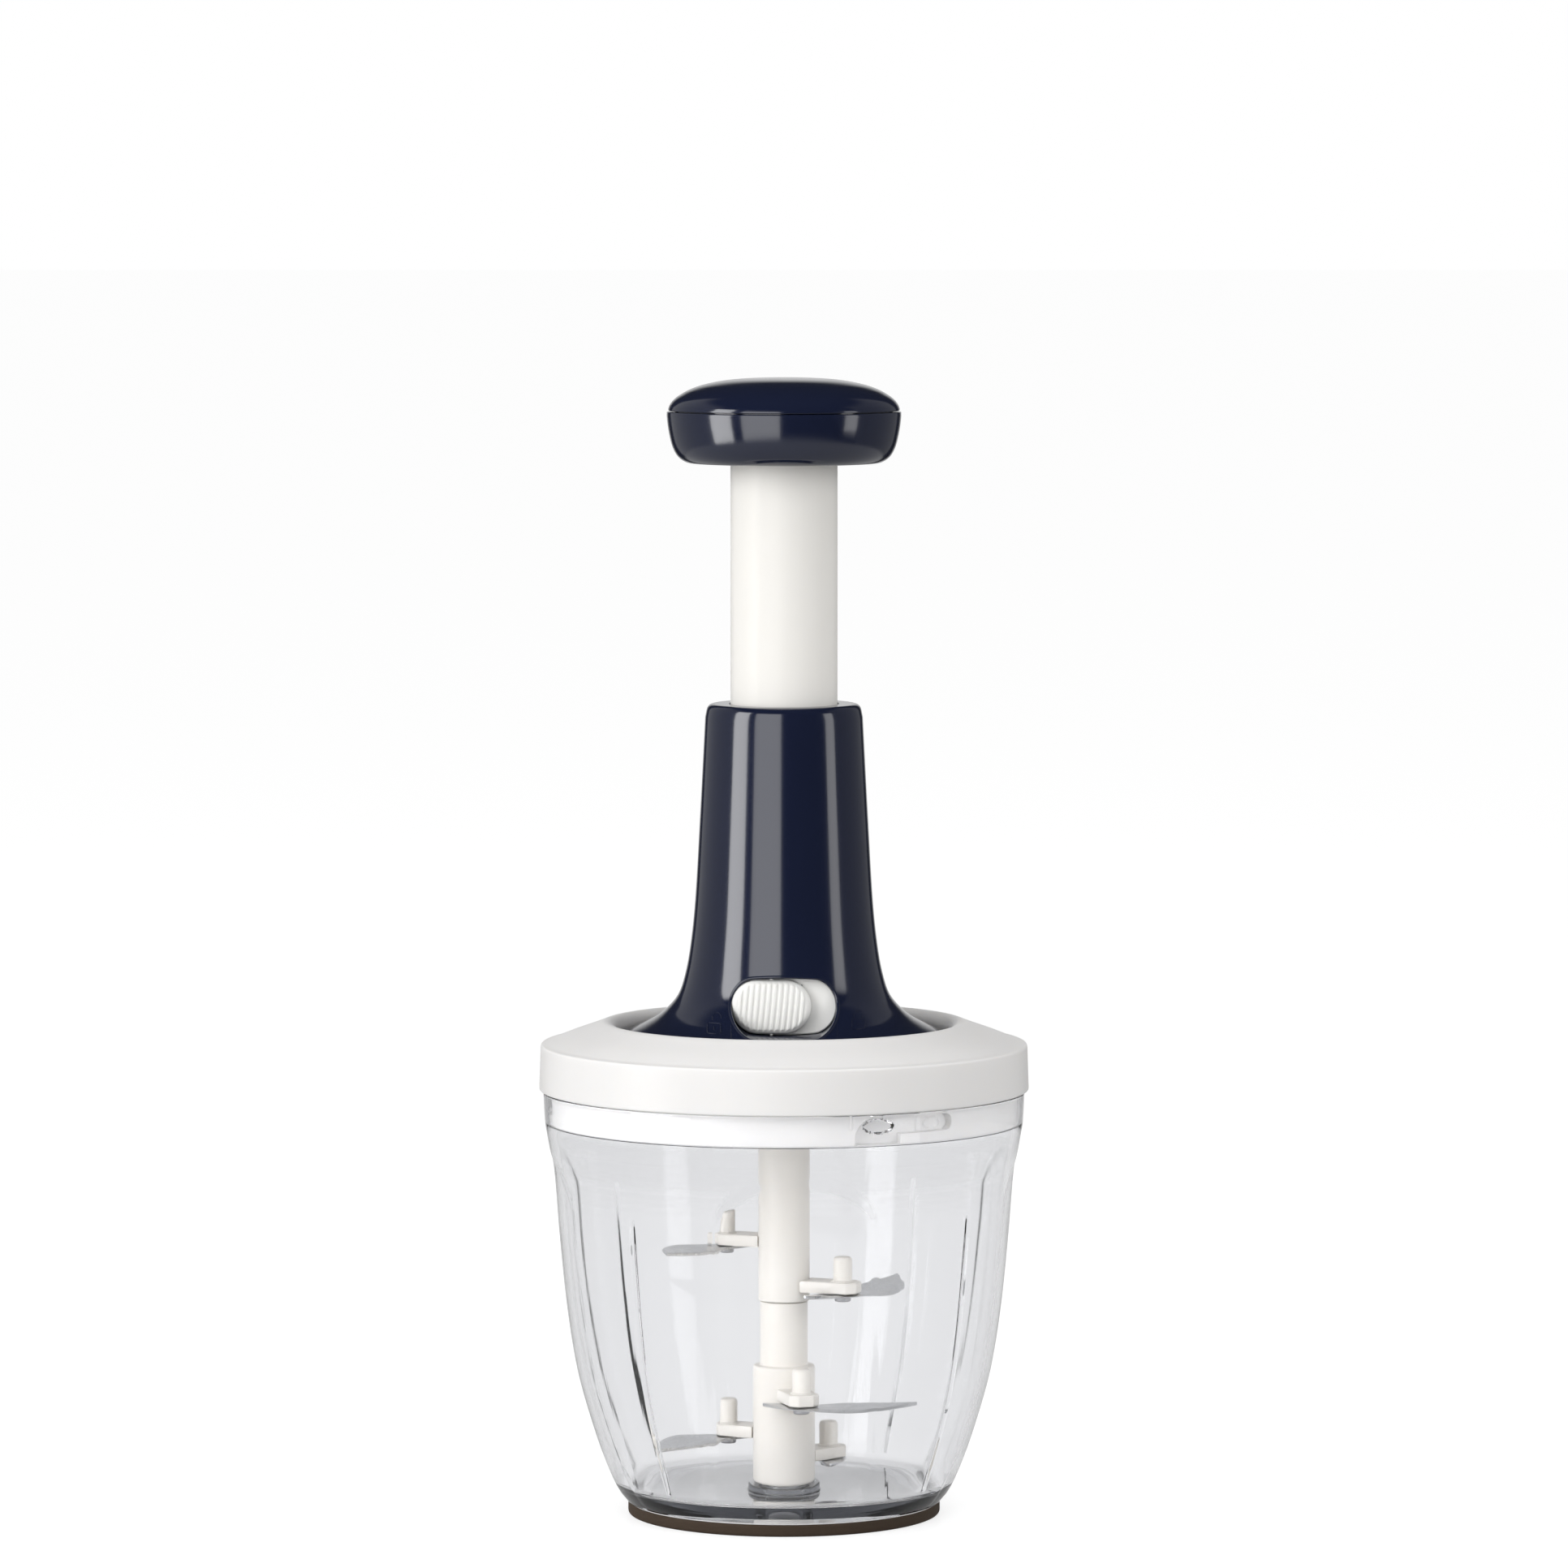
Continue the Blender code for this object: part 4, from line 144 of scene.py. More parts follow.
def spline(points: Sequence[Sequence[float]], per_span: int) -> Array:
    """Catmull-Rom curve through points.

    Each span is a Hermite cubic whose end slopes are half the step between the neighbours.

    Args:
        points: Points of any dimension, in order.
        per_span: Samples on each span.

    Returns:
        Samples from the first point to the last.
    """
    knots = np.asarray(points, float)
    padded = np.concatenate([2 * knots[:1] - knots[1:2], knots, 2 * knots[-1:] - knots[-2:-1]])
    slope = (padded[2:] - padded[:-2]) / 2
    t = np.linspace(0, 1, per_span, endpoint=False)[None, :, None]
    start, end = knots[:-1, None], knots[1:, None]
    first, last = slope[:-1, None], slope[1:, None]
    curve = ((2 * t ** 3 - 3 * t ** 2 + 1) * start + (t ** 3 - 2 * t ** 2 + t) * first
             + (3 * t ** 2 - 2 * t ** 3) * end + (t ** 3 - t ** 2) * last)
    return np.concatenate([curve.reshape(-1, knots.shape[1]), knots[-1:]])


def rounded(corners: Sequence[Sequence[float]], steps: int = 6) -> Array:
    """Open outline with rounded corners.

    A corner (x, y, radius) becomes a quadratic curve that starts and ends at a distance of
    radius over the tangent of half the corner's angle.

    Args:
        corners: Points as (x, y) or (x, y, radius).
        steps: Points on each rounded corner.

    Returns:
        The outline's points.
    """
    points = np.array([corner[:2] for corner in corners], float)
    radii = np.array([corner[2] if len(corner) > 2 else 0.0 for corner in corners])
    apart = np.append(True, np.linalg.norm(np.diff(points, axis=0), axis=1) > 1e-7)
    points, radii = points[apart], radii[apart]
    runs = [points[:1]]
    for before, corner, after, radius in zip(points, points[1:], points[2:], radii[1:]):
        if radius <= 0:
            runs.append(corner[None])
            continue
        back, ahead = before - corner, after - corner
        back_length, ahead_length = np.linalg.norm(back), np.linalg.norm(ahead)
        back, ahead = back / back_length, ahead / ahead_length
        half = math.acos(float(np.clip(back @ ahead, -1, 1))) / 2
        reach = min(radius / math.tan(half), 0.48 * min(back_length, ahead_length))
        t = np.linspace(0, 1, steps)[:, None]
        runs.append((1 - t) ** 2 * (corner + back * reach) + 2 * t * (1 - t) * corner
                    + t ** 2 * (corner + ahead * reach))
    runs.append(points[-1:])
    return np.concatenate(runs)


def supported(outline: Array, margin: float, longest: float) -> Array:
    """Add points along straight runs, close to their ends and then evenly.

    Args:
        outline: Points in order.
        margin: Distance of the extra points from the ends of a run.
        longest: Longest step left between two points.

    Returns:
        The outline with the extra points.
    """
    runs = []
    for start, end in zip(outline, outline[1:]):
        length = float(np.linalg.norm(end - start))
        shares = np.zeros(1)
        if length > 3 * margin:
            inner = np.linspace(margin, length - margin, max(2, math.ceil(length / longest)))
            shares = np.concatenate([shares, inner / length])
        runs.append(start + shares[:, None] * (end - start))
    return np.concatenate([*runs, outline[-1:]])


def moulded(corners: Sequence[Sequence[float]], longest: float, steps: int = 6,
            keep: slice = slice(None)) -> Array:
    """Rounded outline, or the kept run of it, with extra points along its straight runs."""
    return supported(rounded(corners, steps)[keep], SUPPORT, longest)


def obround(length: float, height: float, count: int) -> Array:
    """Stadium outline: points at a half height from a segment, spaced evenly by direction."""
    angle = np.linspace(0, 2 * np.pi, count, endpoint=False)
    reach = (length - height) / 2
    straight = np.clip(np.cos(angle) * 3, -1, 1) * reach
    return np.stack([straight + np.cos(angle) * height / 2, np.sin(angle) * height / 2], -1)


def world_angle(bearing: float | Array) -> float | Array:
    """Angle about +Z, in radians, of a bearing."""
    return np.radians(bearing) - np.pi / 2


def turn_angles(count: int, *extra: Array) -> Array:
    """Angles round the axis: an even set, and more of them where a feature needs columns."""
    even = np.linspace(0, 2 * np.pi, count, endpoint=False)
    angles = np.sort(np.concatenate([even, *extra]) % (2 * np.pi))
    apart = np.diff(angles, append=angles[0] + 2 * np.pi)
    return angles[apart > 1e-4]


def arc_offset(angles: Array, bearing: float, radius: float | Array) -> Array:
    """Distance along a circle from a bearing, positive towards rising bearings."""
    away = (angles - world_angle(bearing) + np.pi) % (2 * np.pi) - np.pi
    return away * radius


def columns_by(bearings: Sequence[float], reach: Array, radius: float) -> list[Array]:
    """Angles at given distances along a circle from each bearing."""
    return [world_angle(bearing) + reach / radius for bearing in bearings]


def turned(outline: Array, angles: Array, shift: Array | float = 0.0) -> Array:
    """Grid of an (r, z) outline turned about Z, with a radial shift at each point."""
    radius = outline[None, :, 0] + np.zeros((len(angles), 1)) + shift
    return np.stack([radius * np.cos(angles)[:, None], radius * np.sin(angles)[:, None],
                     np.broadcast_to(outline[None, :, 1], radius.shape)], -1)


def placed(points: Array, bearing: float, out: float = 0.0, up: float = 0.0) -> Array:
    """Turn points from (outwards, along rising bearings, up) to their bearing in the world."""
    angle = world_angle(bearing)
    x, y, z = points[..., 0] + out, points[..., 1], points[..., 2] + up
    return np.stack([x * np.cos(angle) - y * np.sin(angle),
                     x * np.sin(angle) + y * np.cos(angle), z], -1)


# Meshes
@dataclass(frozen=True)
class Sheet:
    """A grid of points and the ways in which it closes on itself."""

    points: Array
    around: bool = True
    looped: bool = False

    def quads(self, first: int) -> Array:
        """Corner indices of every cell, counted from a first index."""
        rows, columns = self.points.shape[:2]
        index = first + np.arange(rows * columns).reshape(rows, columns)
        if self.around:
            index = np.concatenate([index, index[:1]])
        if self.looped:
            index = np.concatenate([index, index[:, :1]], axis=1)
        corners = (index[:-1, :-1], index[1:, :-1], index[1:, 1:], index[:-1, 1:])
        return np.stack(corners, -1).reshape(-1, 4)


def mesh_of(name: str, sheets: Sequence[Sheet], sharp: float = 38.0) -> bpy.types.Mesh:
    """Weld sheets into one mesh whose faces point outwards.

    Args:
        name: Name of the mesh.
        sheets: Grids that together close their shells.
        sharp: Angle in degrees above which an edge stays crisp.

    Returns:
        The mesh, shaded smooth.
    """
    first, points, quads = 0, [], []
    for sheet in sheets:
        flat = sheet.points.reshape(-1, 3)
        points.append(flat)
        quads.append(sheet.quads(first))
        first += len(flat)
    corners = np.concatenate(quads)
    mesh = bpy.data.meshes.new(name)
    mesh.vertices.add(first)
    mesh.vertices.foreach_set("co", np.concatenate(points).ravel())
    mesh.loops.add(corners.size)
    mesh.loops.foreach_set("vertex_index", corners.ravel().astype(np.int32))
    mesh.polygons.add(len(corners))
    mesh.polygons.foreach_set("loop_start", np.arange(0, corners.size, 4, dtype=np.int32))
    mesh.update(calc_edges=True)
    work = bmesh.new()
    work.from_mesh(mesh)
    bmesh.ops.remove_doubles(work, verts=work.verts, dist=0.002 * MM)
    bmesh.ops.recalc_face_normals(work, faces=work.faces)
    work.to_mesh(mesh)
    work.free()
    mesh.shade_smooth()
    mesh.set_sharp_from_angle(angle=math.radians(sharp))
    return mesh


def tube(path: Array, radius: float, sides: int = 8, closed: bool = False) -> Sheet:
    """Round bar along a path.

    At each point the section lies across the path, on two directions made from the tangent
    and the axis Z; an open bar is drawn in to a point at both ends.

    Args:
        path: Points in order.
        radius: Radius of the bar.
        sides: Points round the section.
        closed: Whether the path joins its own start.

    Returns:
        The bar's surface.
    """
    if closed:
        tangent = np.roll(path, -1, 0) - np.roll(path, 1, 0)
    else:
        path = np.concatenate([path[:1], path, path[-1:]])
        tangent = np.gradient(path, axis=0)
        tangent[0], tangent[-1] = tangent[1], tangent[-2]
    tangent /= np.linalg.norm(tangent, axis=1, keepdims=True) + 1e-12
    side = np.cross(tangent, (0.02, 0.01, 1.0))
    side /= np.linalg.norm(side, axis=1, keepdims=True) + 1e-12
    rise = np.cross(side, tangent)
    size = np.full(len(path), radius)
    if not closed:
        size[[0, -1]] = 0
    turn = np.linspace(0, 2 * np.pi, sides, endpoint=False)[:, None, None]
    ring = side * np.cos(turn) + rise * np.sin(turn)
    return Sheet(path[None] + ring * size[None, :, None], True, closed)


def slab(outline: Array, low: float, high: float, edge: float) -> Sheet:
    """Flat plate with softened edges: like outlines at rising heights, closed on their middle.

    Args:
        outline: Closed flat outline, seen from above and free of deep hollows.
        low: Height of the underside.
        high: Height of the top.
        edge: Size of the softened edge.

    Returns:
        The plate's surface.
    """
    middle = outline.mean(0)
    away = outline - middle
    distance = np.linalg.norm(away, axis=1, keepdims=True)
    shrunk = middle + away * (1 - edge / distance)
    levels = [(np.broadcast_to(middle, outline.shape), low), (shrunk, low),
              (outline, low + edge), (outline, high - edge), (shrunk, high),
              (np.broadcast_to(middle, outline.shape), high)]
    rings = [np.column_stack([flat, np.full(len(flat), z)]) for flat, z in levels]
    return Sheet(np.stack(rings, 1))


def new_object(name: str, data: bpy.types.ID) -> bpy.types.Object:
    """Make an object and link it to the scene."""
    item = bpy.data.objects.new(name, data)
    bpy.context.scene.collection.objects.link(item)
    return item


def aim_from(item: bpy.types.Object, place: Sequence[float], away: Vector) -> None:
    """Stand a light or camera at a place and turn it to a direction."""
    item.location = place
    item.rotation_euler = away.to_track_quat("-Z", "Y").to_euler()


def square_bar(half: float, corner: float, steps: int, low: float, high: float,
               edge: float) -> Sheet:
    """Upright square bar with rounded corners, from its half width."""
    flat = rounded([(half, 0), (half, half, corner), (-half, half, corner),
                    (-half, -half, corner), (half, -half, corner), (half, -0.01 * MM)], steps)
    return slab(flat, low, high, edge)


# Materials
class Desk:
    """The node tree of a material or world, with the one method that adds nodes to it."""

    def __init__(self, owner: bpy.types.ID) -> None:
        """Start with no nodes."""
        self.owner = owner
        owner.use_nodes = True
        self.tree = owner.node_tree
        self.tree.nodes.clear()

    def node(self, kind: str, inputs: dict[str | int, Any] | None = None,
             **settings: Any) -> "Signal":
        """Add a node.

        Args:
            kind: Blender's type of the node.
            inputs: Values or signals for its sockets, by name or number.
            settings: Properties of the node, set first.

        Returns:
            The node's first output.
        """
        made = self.tree.nodes.new(kind)
        for key, value in settings.items():
            setattr(made, key, value)
        for key, value in (inputs or {}).items():
            socket = made.inputs[key]
            if isinstance(value, Signal):
                self.tree.links.new(value.socket, socket)
            else:
                socket.default_value = value
        return Signal(self, made.outputs[0] if made.outputs else None, made)

    def noise(self, size: float, detail: float = 2.0, stretch: Colour = (1, 1, 1)) -> "Signal":
        """Noise of a real feature size, stretched along the axes, in Object coordinates."""
        place = self.node("ShaderNodeTexCoord").output("Object")
        spread = self.node("ShaderNodeMapping", {"Vector": place, "Scale": stretch})
        return self.node("ShaderNodeTexNoise",
                         {"Vector": spread, "Scale": 1 / size, "Detail": detail})

    def blend(self, mask: "Signal", first: "Colour | Signal",
              second: "Colour | Signal") -> "Signal":
        """Mix two colours by a mask."""
        first, second = (one if isinstance(one, Signal) else (*one, 1)
                         for one in (first, second))
        mixed = self.node("ShaderNodeMix", {0: mask, 6: first, 7: second}, data_type="RGBA")
        return mixed.output(2)

    def edge(self, value: "Signal", start: float, end: float) -> "Signal":
        """Smooth step that rises from 0 at the start to 1 at the end."""
        return self.node("ShaderNodeMapRange",
                         {"Value": value, "From Min": start, "From Max": end},
                         interpolation_type="SMOOTHSTEP")

    def bump(self, strength: float, distance: float, height: "Signal") -> "Signal":
        """Normal of a surface with a fine relief."""
        return self.node("ShaderNodeBump", {"Strength": strength, "Distance": distance,
                                            "Height": height})

    def mix(self, share: "Signal", first: "Signal", second: "Signal") -> "Signal":
        """Mix two shaders."""
        return self.node("ShaderNodeMixShader", {0: share, 1: first, 2: second})

    def surface(self, shader: "Signal", volume: "Signal | None" = None) -> bpy.types.Material:
        """Connect the last shader, and what fills the solid, and hand over the material."""
        inside = {"Volume": volume} if volume else {}
        self.node("ShaderNodeOutputMaterial", {"Surface": shader, **inside})
        return self.owner


class Signal:
    """A socket whose Python operators add Math nodes."""

    def __init__(self, desk: Desk, socket: Any, made: Any) -> None:
        """Wrap an output socket of a node."""
        self.desk, self.socket, self.made = desk, socket, made

    def output(self, key: str | int) -> "Signal":
        """Another output of the same node."""
        return Signal(self.desk, self.made.outputs[key], self.made)

    def math(self, operation: str, first: Any, second: Any = 0.0) -> "Signal":
        """Add one Math node."""
        return self.desk.node("ShaderNodeMath", {0: first, 1: second}, operation=operation)

    def __add__(self, other: Any) -> "Signal":
        """Sum."""
        return self.math("ADD", self, other)

    def __radd__(self, other: Any) -> "Signal":
        """Sum, reflected."""
        return self.math("ADD", other, self)

    def __sub__(self, other: Any) -> "Signal":
        """Difference."""
        return self.math("SUBTRACT", self, other)

    def __rsub__(self, other: Any) -> "Signal":
        """Difference, reflected."""
        return self.math("SUBTRACT", other, self)

    def __mul__(self, other: Any) -> "Signal":
        """Product."""
        return self.math("MULTIPLY", self, other)

    def __rmul__(self, other: Any) -> "Signal":
        """Product, reflected."""
        return self.math("MULTIPLY", other, self)

    def __pow__(self, other: Any) -> "Signal":
        """Power."""
        return self.math("POWER", self, other)

    def highest(self, other: Any) -> "Signal":
        """The larger of two values."""
        return self.math("MAXIMUM", self, other)


@dataclass(frozen=True)
class MouldedPlastic:
    """Injection-moulded plastic: faint mottling, fine grain and a gloss that varies a little."""

    name: str
    slot: str
    colour: Colour
    roughness: float
    grain_size: float = 0.5 * MM
    grain_depth: float = 0.02
    flow: float = 0.03
    coat: float = 0.0
    subsurface: float = 0.0
    specular: float = 0.5

    def make(self) -> bpy.types.Material:
        """Build the material."""
        desk = Desk(bpy.data.materials.new(self.name))
        flow_lines = desk.noise(14 * MM, 3.0, (1, 1, 0.35))
        grain = desk.noise(self.grain_size)
        darker = tuple(channel * (1 - self.flow) for channel in self.colour)
        shader = desk.node("ShaderNodeBsdfPrincipled", {
            "Base Color": desk.blend(flow_lines, darker, self.colour),
            "Roughness": self.roughness + (flow_lines - 0.5) * 0.08 + (grain - 0.5) * 0.04,
            "Coat Weight": self.coat, "Coat Roughness": 0.05,
            "Specular IOR Level": self.specular,
            "Subsurface Weight": self.subsurface, "Subsurface Scale": 5 * MM,
            "Subsurface Radius": (1.0, 0.92, 0.8),
            "Normal": desk.bump(self.grain_depth, self.grain_size, grain),
        })
        return desk.surface(shader)


@dataclass(frozen=True)
class ClearPlastic:
    """Clear moulded plastic: bent light inside, soft waviness and bright shadows."""

    name: str = "clear_plastic_finish"
    slot: str = "clear_plastic"
    colour: Colour = (0.925, 0.927, 0.934)
    cloudy: Colour = (0.91, 0.912, 0.921)
    index: float = 1.46
    facing_tint: Colour = (0.35, 0.35, 0.35)
    shadow_pass: float = 0.97
    depth_colour: Colour = (0.800, 0.803, 0.812)
    depth_density: float = 130.0

    def make(self) -> bpy.types.Material:
        """Build the material: light is let through for shadow rays."""
        desk = Desk(bpy.data.materials.new(self.name))
        waves = desk.noise(26 * MM, 1.0)
        haze = desk.noise(3 * MM)
        clear = desk.node("ShaderNodeBsdfPrincipled", {
            "Base Color": desk.blend(waves, self.colour, self.cloudy),
            "Roughness": 0.02 + haze * 0.02, "IOR": self.index, "Transmission Weight": 1.0,
            "Specular Tint": (*self.facing_tint, 1),
            "Normal": desk.bump(0.05, 1 * MM, waves),
        })
        passing = desk.node("ShaderNodeBsdfTransparent", {"Color": (0.99, 0.99, 0.992, 1)})
        shadow = desk.node("ShaderNodeLightPath").output("Is Shadow Ray")
        mixed = desk.mix(shadow * self.shadow_pass, clear, passing)
        depth = desk.node("ShaderNodeVolumeAbsorption", {
            "Color": (*self.depth_colour, 1), "Density": self.depth_density})
        return desk.surface(mixed, depth)


@dataclass(frozen=True)
class PadRubber:
    """Soft rubber: matt, dusty and finely pitted, with a pale disc of painted light."""

    name: str = "pad_rubber_finish"
    slot: str = "pad_rubber"
    colour: Colour = (0.046, 0.032, 0.022)
    # Painted light: pale colour on the face under the clear floor, lightening the bowl's floor
    painted_light: Colour = (0.92, 0.915, 0.90)
    painted_light_level: float = 3.92 * MM
    painted_light_radius: float = 49.2 * MM

    def make(self) -> bpy.types.Material:
        """Build the material: painted light, a pale disc, lies on the face under the clear floor.
        """
        desk = Desk(bpy.data.materials.new(self.name))
        dust = desk.noise(9 * MM, 4.0)
        pits = desk.noise(0.45 * MM, 3.0)
        dusty = tuple(channel * 1.25 for channel in self.colour)
        place = desk.node("ShaderNodeTexCoord").output("Object")
        split = desk.node("ShaderNodeSeparateXYZ", {0: place})
        radius = (split ** 2 + split.output(1) ** 2) ** 0.5
        # Mask of the painted light: the disc of the top face that lies under the clear floor
        inner = 1 - desk.edge(radius, self.painted_light_radius, self.painted_light_radius + 0.5 * MM)
        upper = desk.edge(split.output(2), self.painted_light_level - 0.1 * MM, self.painted_light_level)
        shader = desk.node("ShaderNodeBsdfPrincipled", {
            "Base Color": desk.blend(inner * upper, desk.blend(dust ** 2, self.colour, dusty),
                                     self.painted_light),
            "Roughness": 0.62 + pits * 0.2, "Specular IOR Level": 0.25,
            "Normal": desk.bump(0.25, 0.3 * MM, pits),
        })
        return desk.surface(shader)


@dataclass(frozen=True)
class SatinSteel:
    """Rolled stainless steel: fine scratches along one way and a soft sheen."""

    name: str
    slot: str
    colour: Colour = (0.56, 0.565, 0.575)
    roughness: float = 0.28
    streak: Colour = (6, 6, 1)

    def make(self) -> bpy.types.Material:
        """Build the material."""
        desk = Desk(bpy.data.materials.new(self.name))
        scratches = desk.noise(1.2 * MM, 5.0, self.streak)
        clouds = desk.noise(12 * MM, 2.0)
        bright = tuple(channel * 1.12 for channel in self.colour)
        shader = desk.node("ShaderNodeBsdfPrincipled", {
            "Base Color": desk.blend(scratches, self.colour, bright), "Metallic": 1.0,
            "Roughness": self.roughness + (scratches - 0.5) * 0.2 + (clouds - 0.5) * 0.1,
            "Normal": desk.bump(0.12, 0.05 * MM, scratches),
        })
        return desk.surface(shader)


class Finishes:
    """Every finish of the chopper, made once."""

    def __init__(self) -> None:
        """Make the materials."""
        self.kinds = {
            "navy": MouldedPlastic("navy_gloss_finish", "navy_gloss", (0.0080, 0.0115, 0.0305),
                                   0.13, grain_depth=0.006, flow=0.10, coat=0.2),
            "white": MouldedPlastic("white_plastic_finish", "white_plastic",
                                    (0.86, 0.84, 0.80), 0.36, grain_depth=0.008,
                                    subsurface=0.08, specular=0.22),
            "lock": MouldedPlastic("lock_white_finish", "white_plastic", (0.875, 0.872, 0.845),
                                   0.34, grain_depth=0.01, flow=0.015, subsurface=0.06,
                                   specular=0.25),
            "ivory": MouldedPlastic("ivory_plastic_finish", "ivory_plastic",
                                    (0.80, 0.77, 0.72), 0.34, grain_depth=0.02,
                                    subsurface=0.10),
            "lid": MouldedPlastic("lid_white_finish", "lid_white", (0.81, 0.80, 0.79), 0.36,
                                  grain_depth=0.02, flow=0.02, subsurface=0.22,
                                  specular=0.3),
            "gear": MouldedPlastic("gear_plastic_finish", "gear_plastic", (0.66, 0.65, 0.58),
                                   0.42, grain_depth=0.05),
            "clear": ClearPlastic(),
            "rubber": PadRubber(),
            "blade": SatinSteel("blade_steel_finish", "steel"),
            "rod": SatinSteel("rod_steel_finish", "steel", (0.42, 0.42, 0.43), 0.33, (1, 1, 9)),
            "brass": SatinSteel("brass_finish", "brass", (0.72, 0.53, 0.26), 0.32, (2, 2, 6)),
        }
        self.made = {key: kind.make() for key, kind in self.kinds.items()}

    def paint(self, item: bpy.types.Object, key: str) -> None:
        """Give an object one finish."""
        item.data.materials.clear()
        item.data.materials.append(self.made[key])

    def dress(self, item: bpy.types.Object, key: str) -> None:
        """Give a new object one finish."""
        self.paint(item, key)

    def by_slot(self, slot: str) -> str:
        """The finish that a material slot of the record gets on a carried-over node."""
        if slot == "steel":
            return "rod"
        return next(key for key, kind in self.kinds.items() if kind.slot == slot)


@dataclass
class Shop:
    """What every sub-assembly needs: the frame and the finishes."""

    frame: dict[str, Any]
    finishes: Finishes = field(default_factory=Finishes)

    def span(self, node: str) -> tuple[Vector, Vector]:
        """Lowest and highest corner of a node at rest."""
        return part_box(node)

    def stroke(self) -> float:
        """How far the knob goes down."""
        return next(-joint["range_m"][0] for joint in self.frame["joints"]
                    if joint["name"] == "plunger_press")

    def piece(self, name: str, sheets: Sequence[Sheet], finish: str, body: Body,
              stands_for: Sequence[str] = (), cutters: Sequence[Sheet] = (),
              sharp: float = 38.0) -> bpy.types.Object:
        """Make a piece, dress it and let it ride.

        Args:
            name: Name of the piece.
            sheets: Its surfaces.
            finish: Key of its finish.
            body: Body it moves with.
            stands_for: Nodes of the frame that it replaces.
            cutters: Closed surfaces cut out of the first of its surfaces.
            sharp: Angle above which an edge stays crisp.

        Returns:
            The object.
        """
        first = sheets[:1] if cutters else sheets
        item = new_object(name, mesh_of(name, first, sharp))
        for index, cutter in enumerate(cutters):
            self.cut(item, mesh_of(f"{name}_cut_{index}", [cutter]))
        if cutters:
            self.add(item, [mesh_of(name, [sheet], sharp) for sheet in sheets[1:]])
            item.data.shade_smooth()
            item.data.set_sharp_from_angle(angle=math.radians(sharp))
        self.finishes.dress(item, finish)
        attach(item, body.value)
        if stands_for:
            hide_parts(*stands_for)
        LOG.info("%s: %d faces on %s", name, len(item.data.polygons), body.value)
        return item

    def lathe(self, name: str, outline: Array, count: int, finish: str, body: Body,
              stands_for: Sequence[str], looped: bool = False, **options: Any) -> None:
        """Make a piece from one outline turned about Z, its other settings as for a piece."""
        sheet = Sheet(turned(outline, turn_angles(count)), True, looped)
        self.piece(name, [sheet], finish, body, stands_for, **options)

    @staticmethod
    def add(item: bpy.types.Object, meshes: Sequence[bpy.types.Mesh]) -> None:
        """Add meshes to an object's own."""
        work = bmesh.new()
        for mesh in (item.data, *meshes):
            work.from_mesh(mesh)
        work.to_mesh(item.data)
        work.free()

    @staticmethod
    def cut(item: bpy.types.Object, cutter_mesh: bpy.types.Mesh) -> None:
        """Subtract a mesh from an object and keep the result as its mesh."""
        cutter = new_object("cutter", cutter_mesh)
        modifier = item.modifiers.new("cut", "BOOLEAN")
        modifier.object, modifier.operation, modifier.solver = cutter, "DIFFERENCE", "EXACT"
        bpy.context.view_layer.update()
        graph = bpy.context.evaluated_depsgraph_get()
        result = bpy.data.meshes.new_from_object(item.evaluated_get(graph))
        item.modifiers.clear()
        item.data = result
        bpy.data.objects.remove(cutter, do_unlink=True)


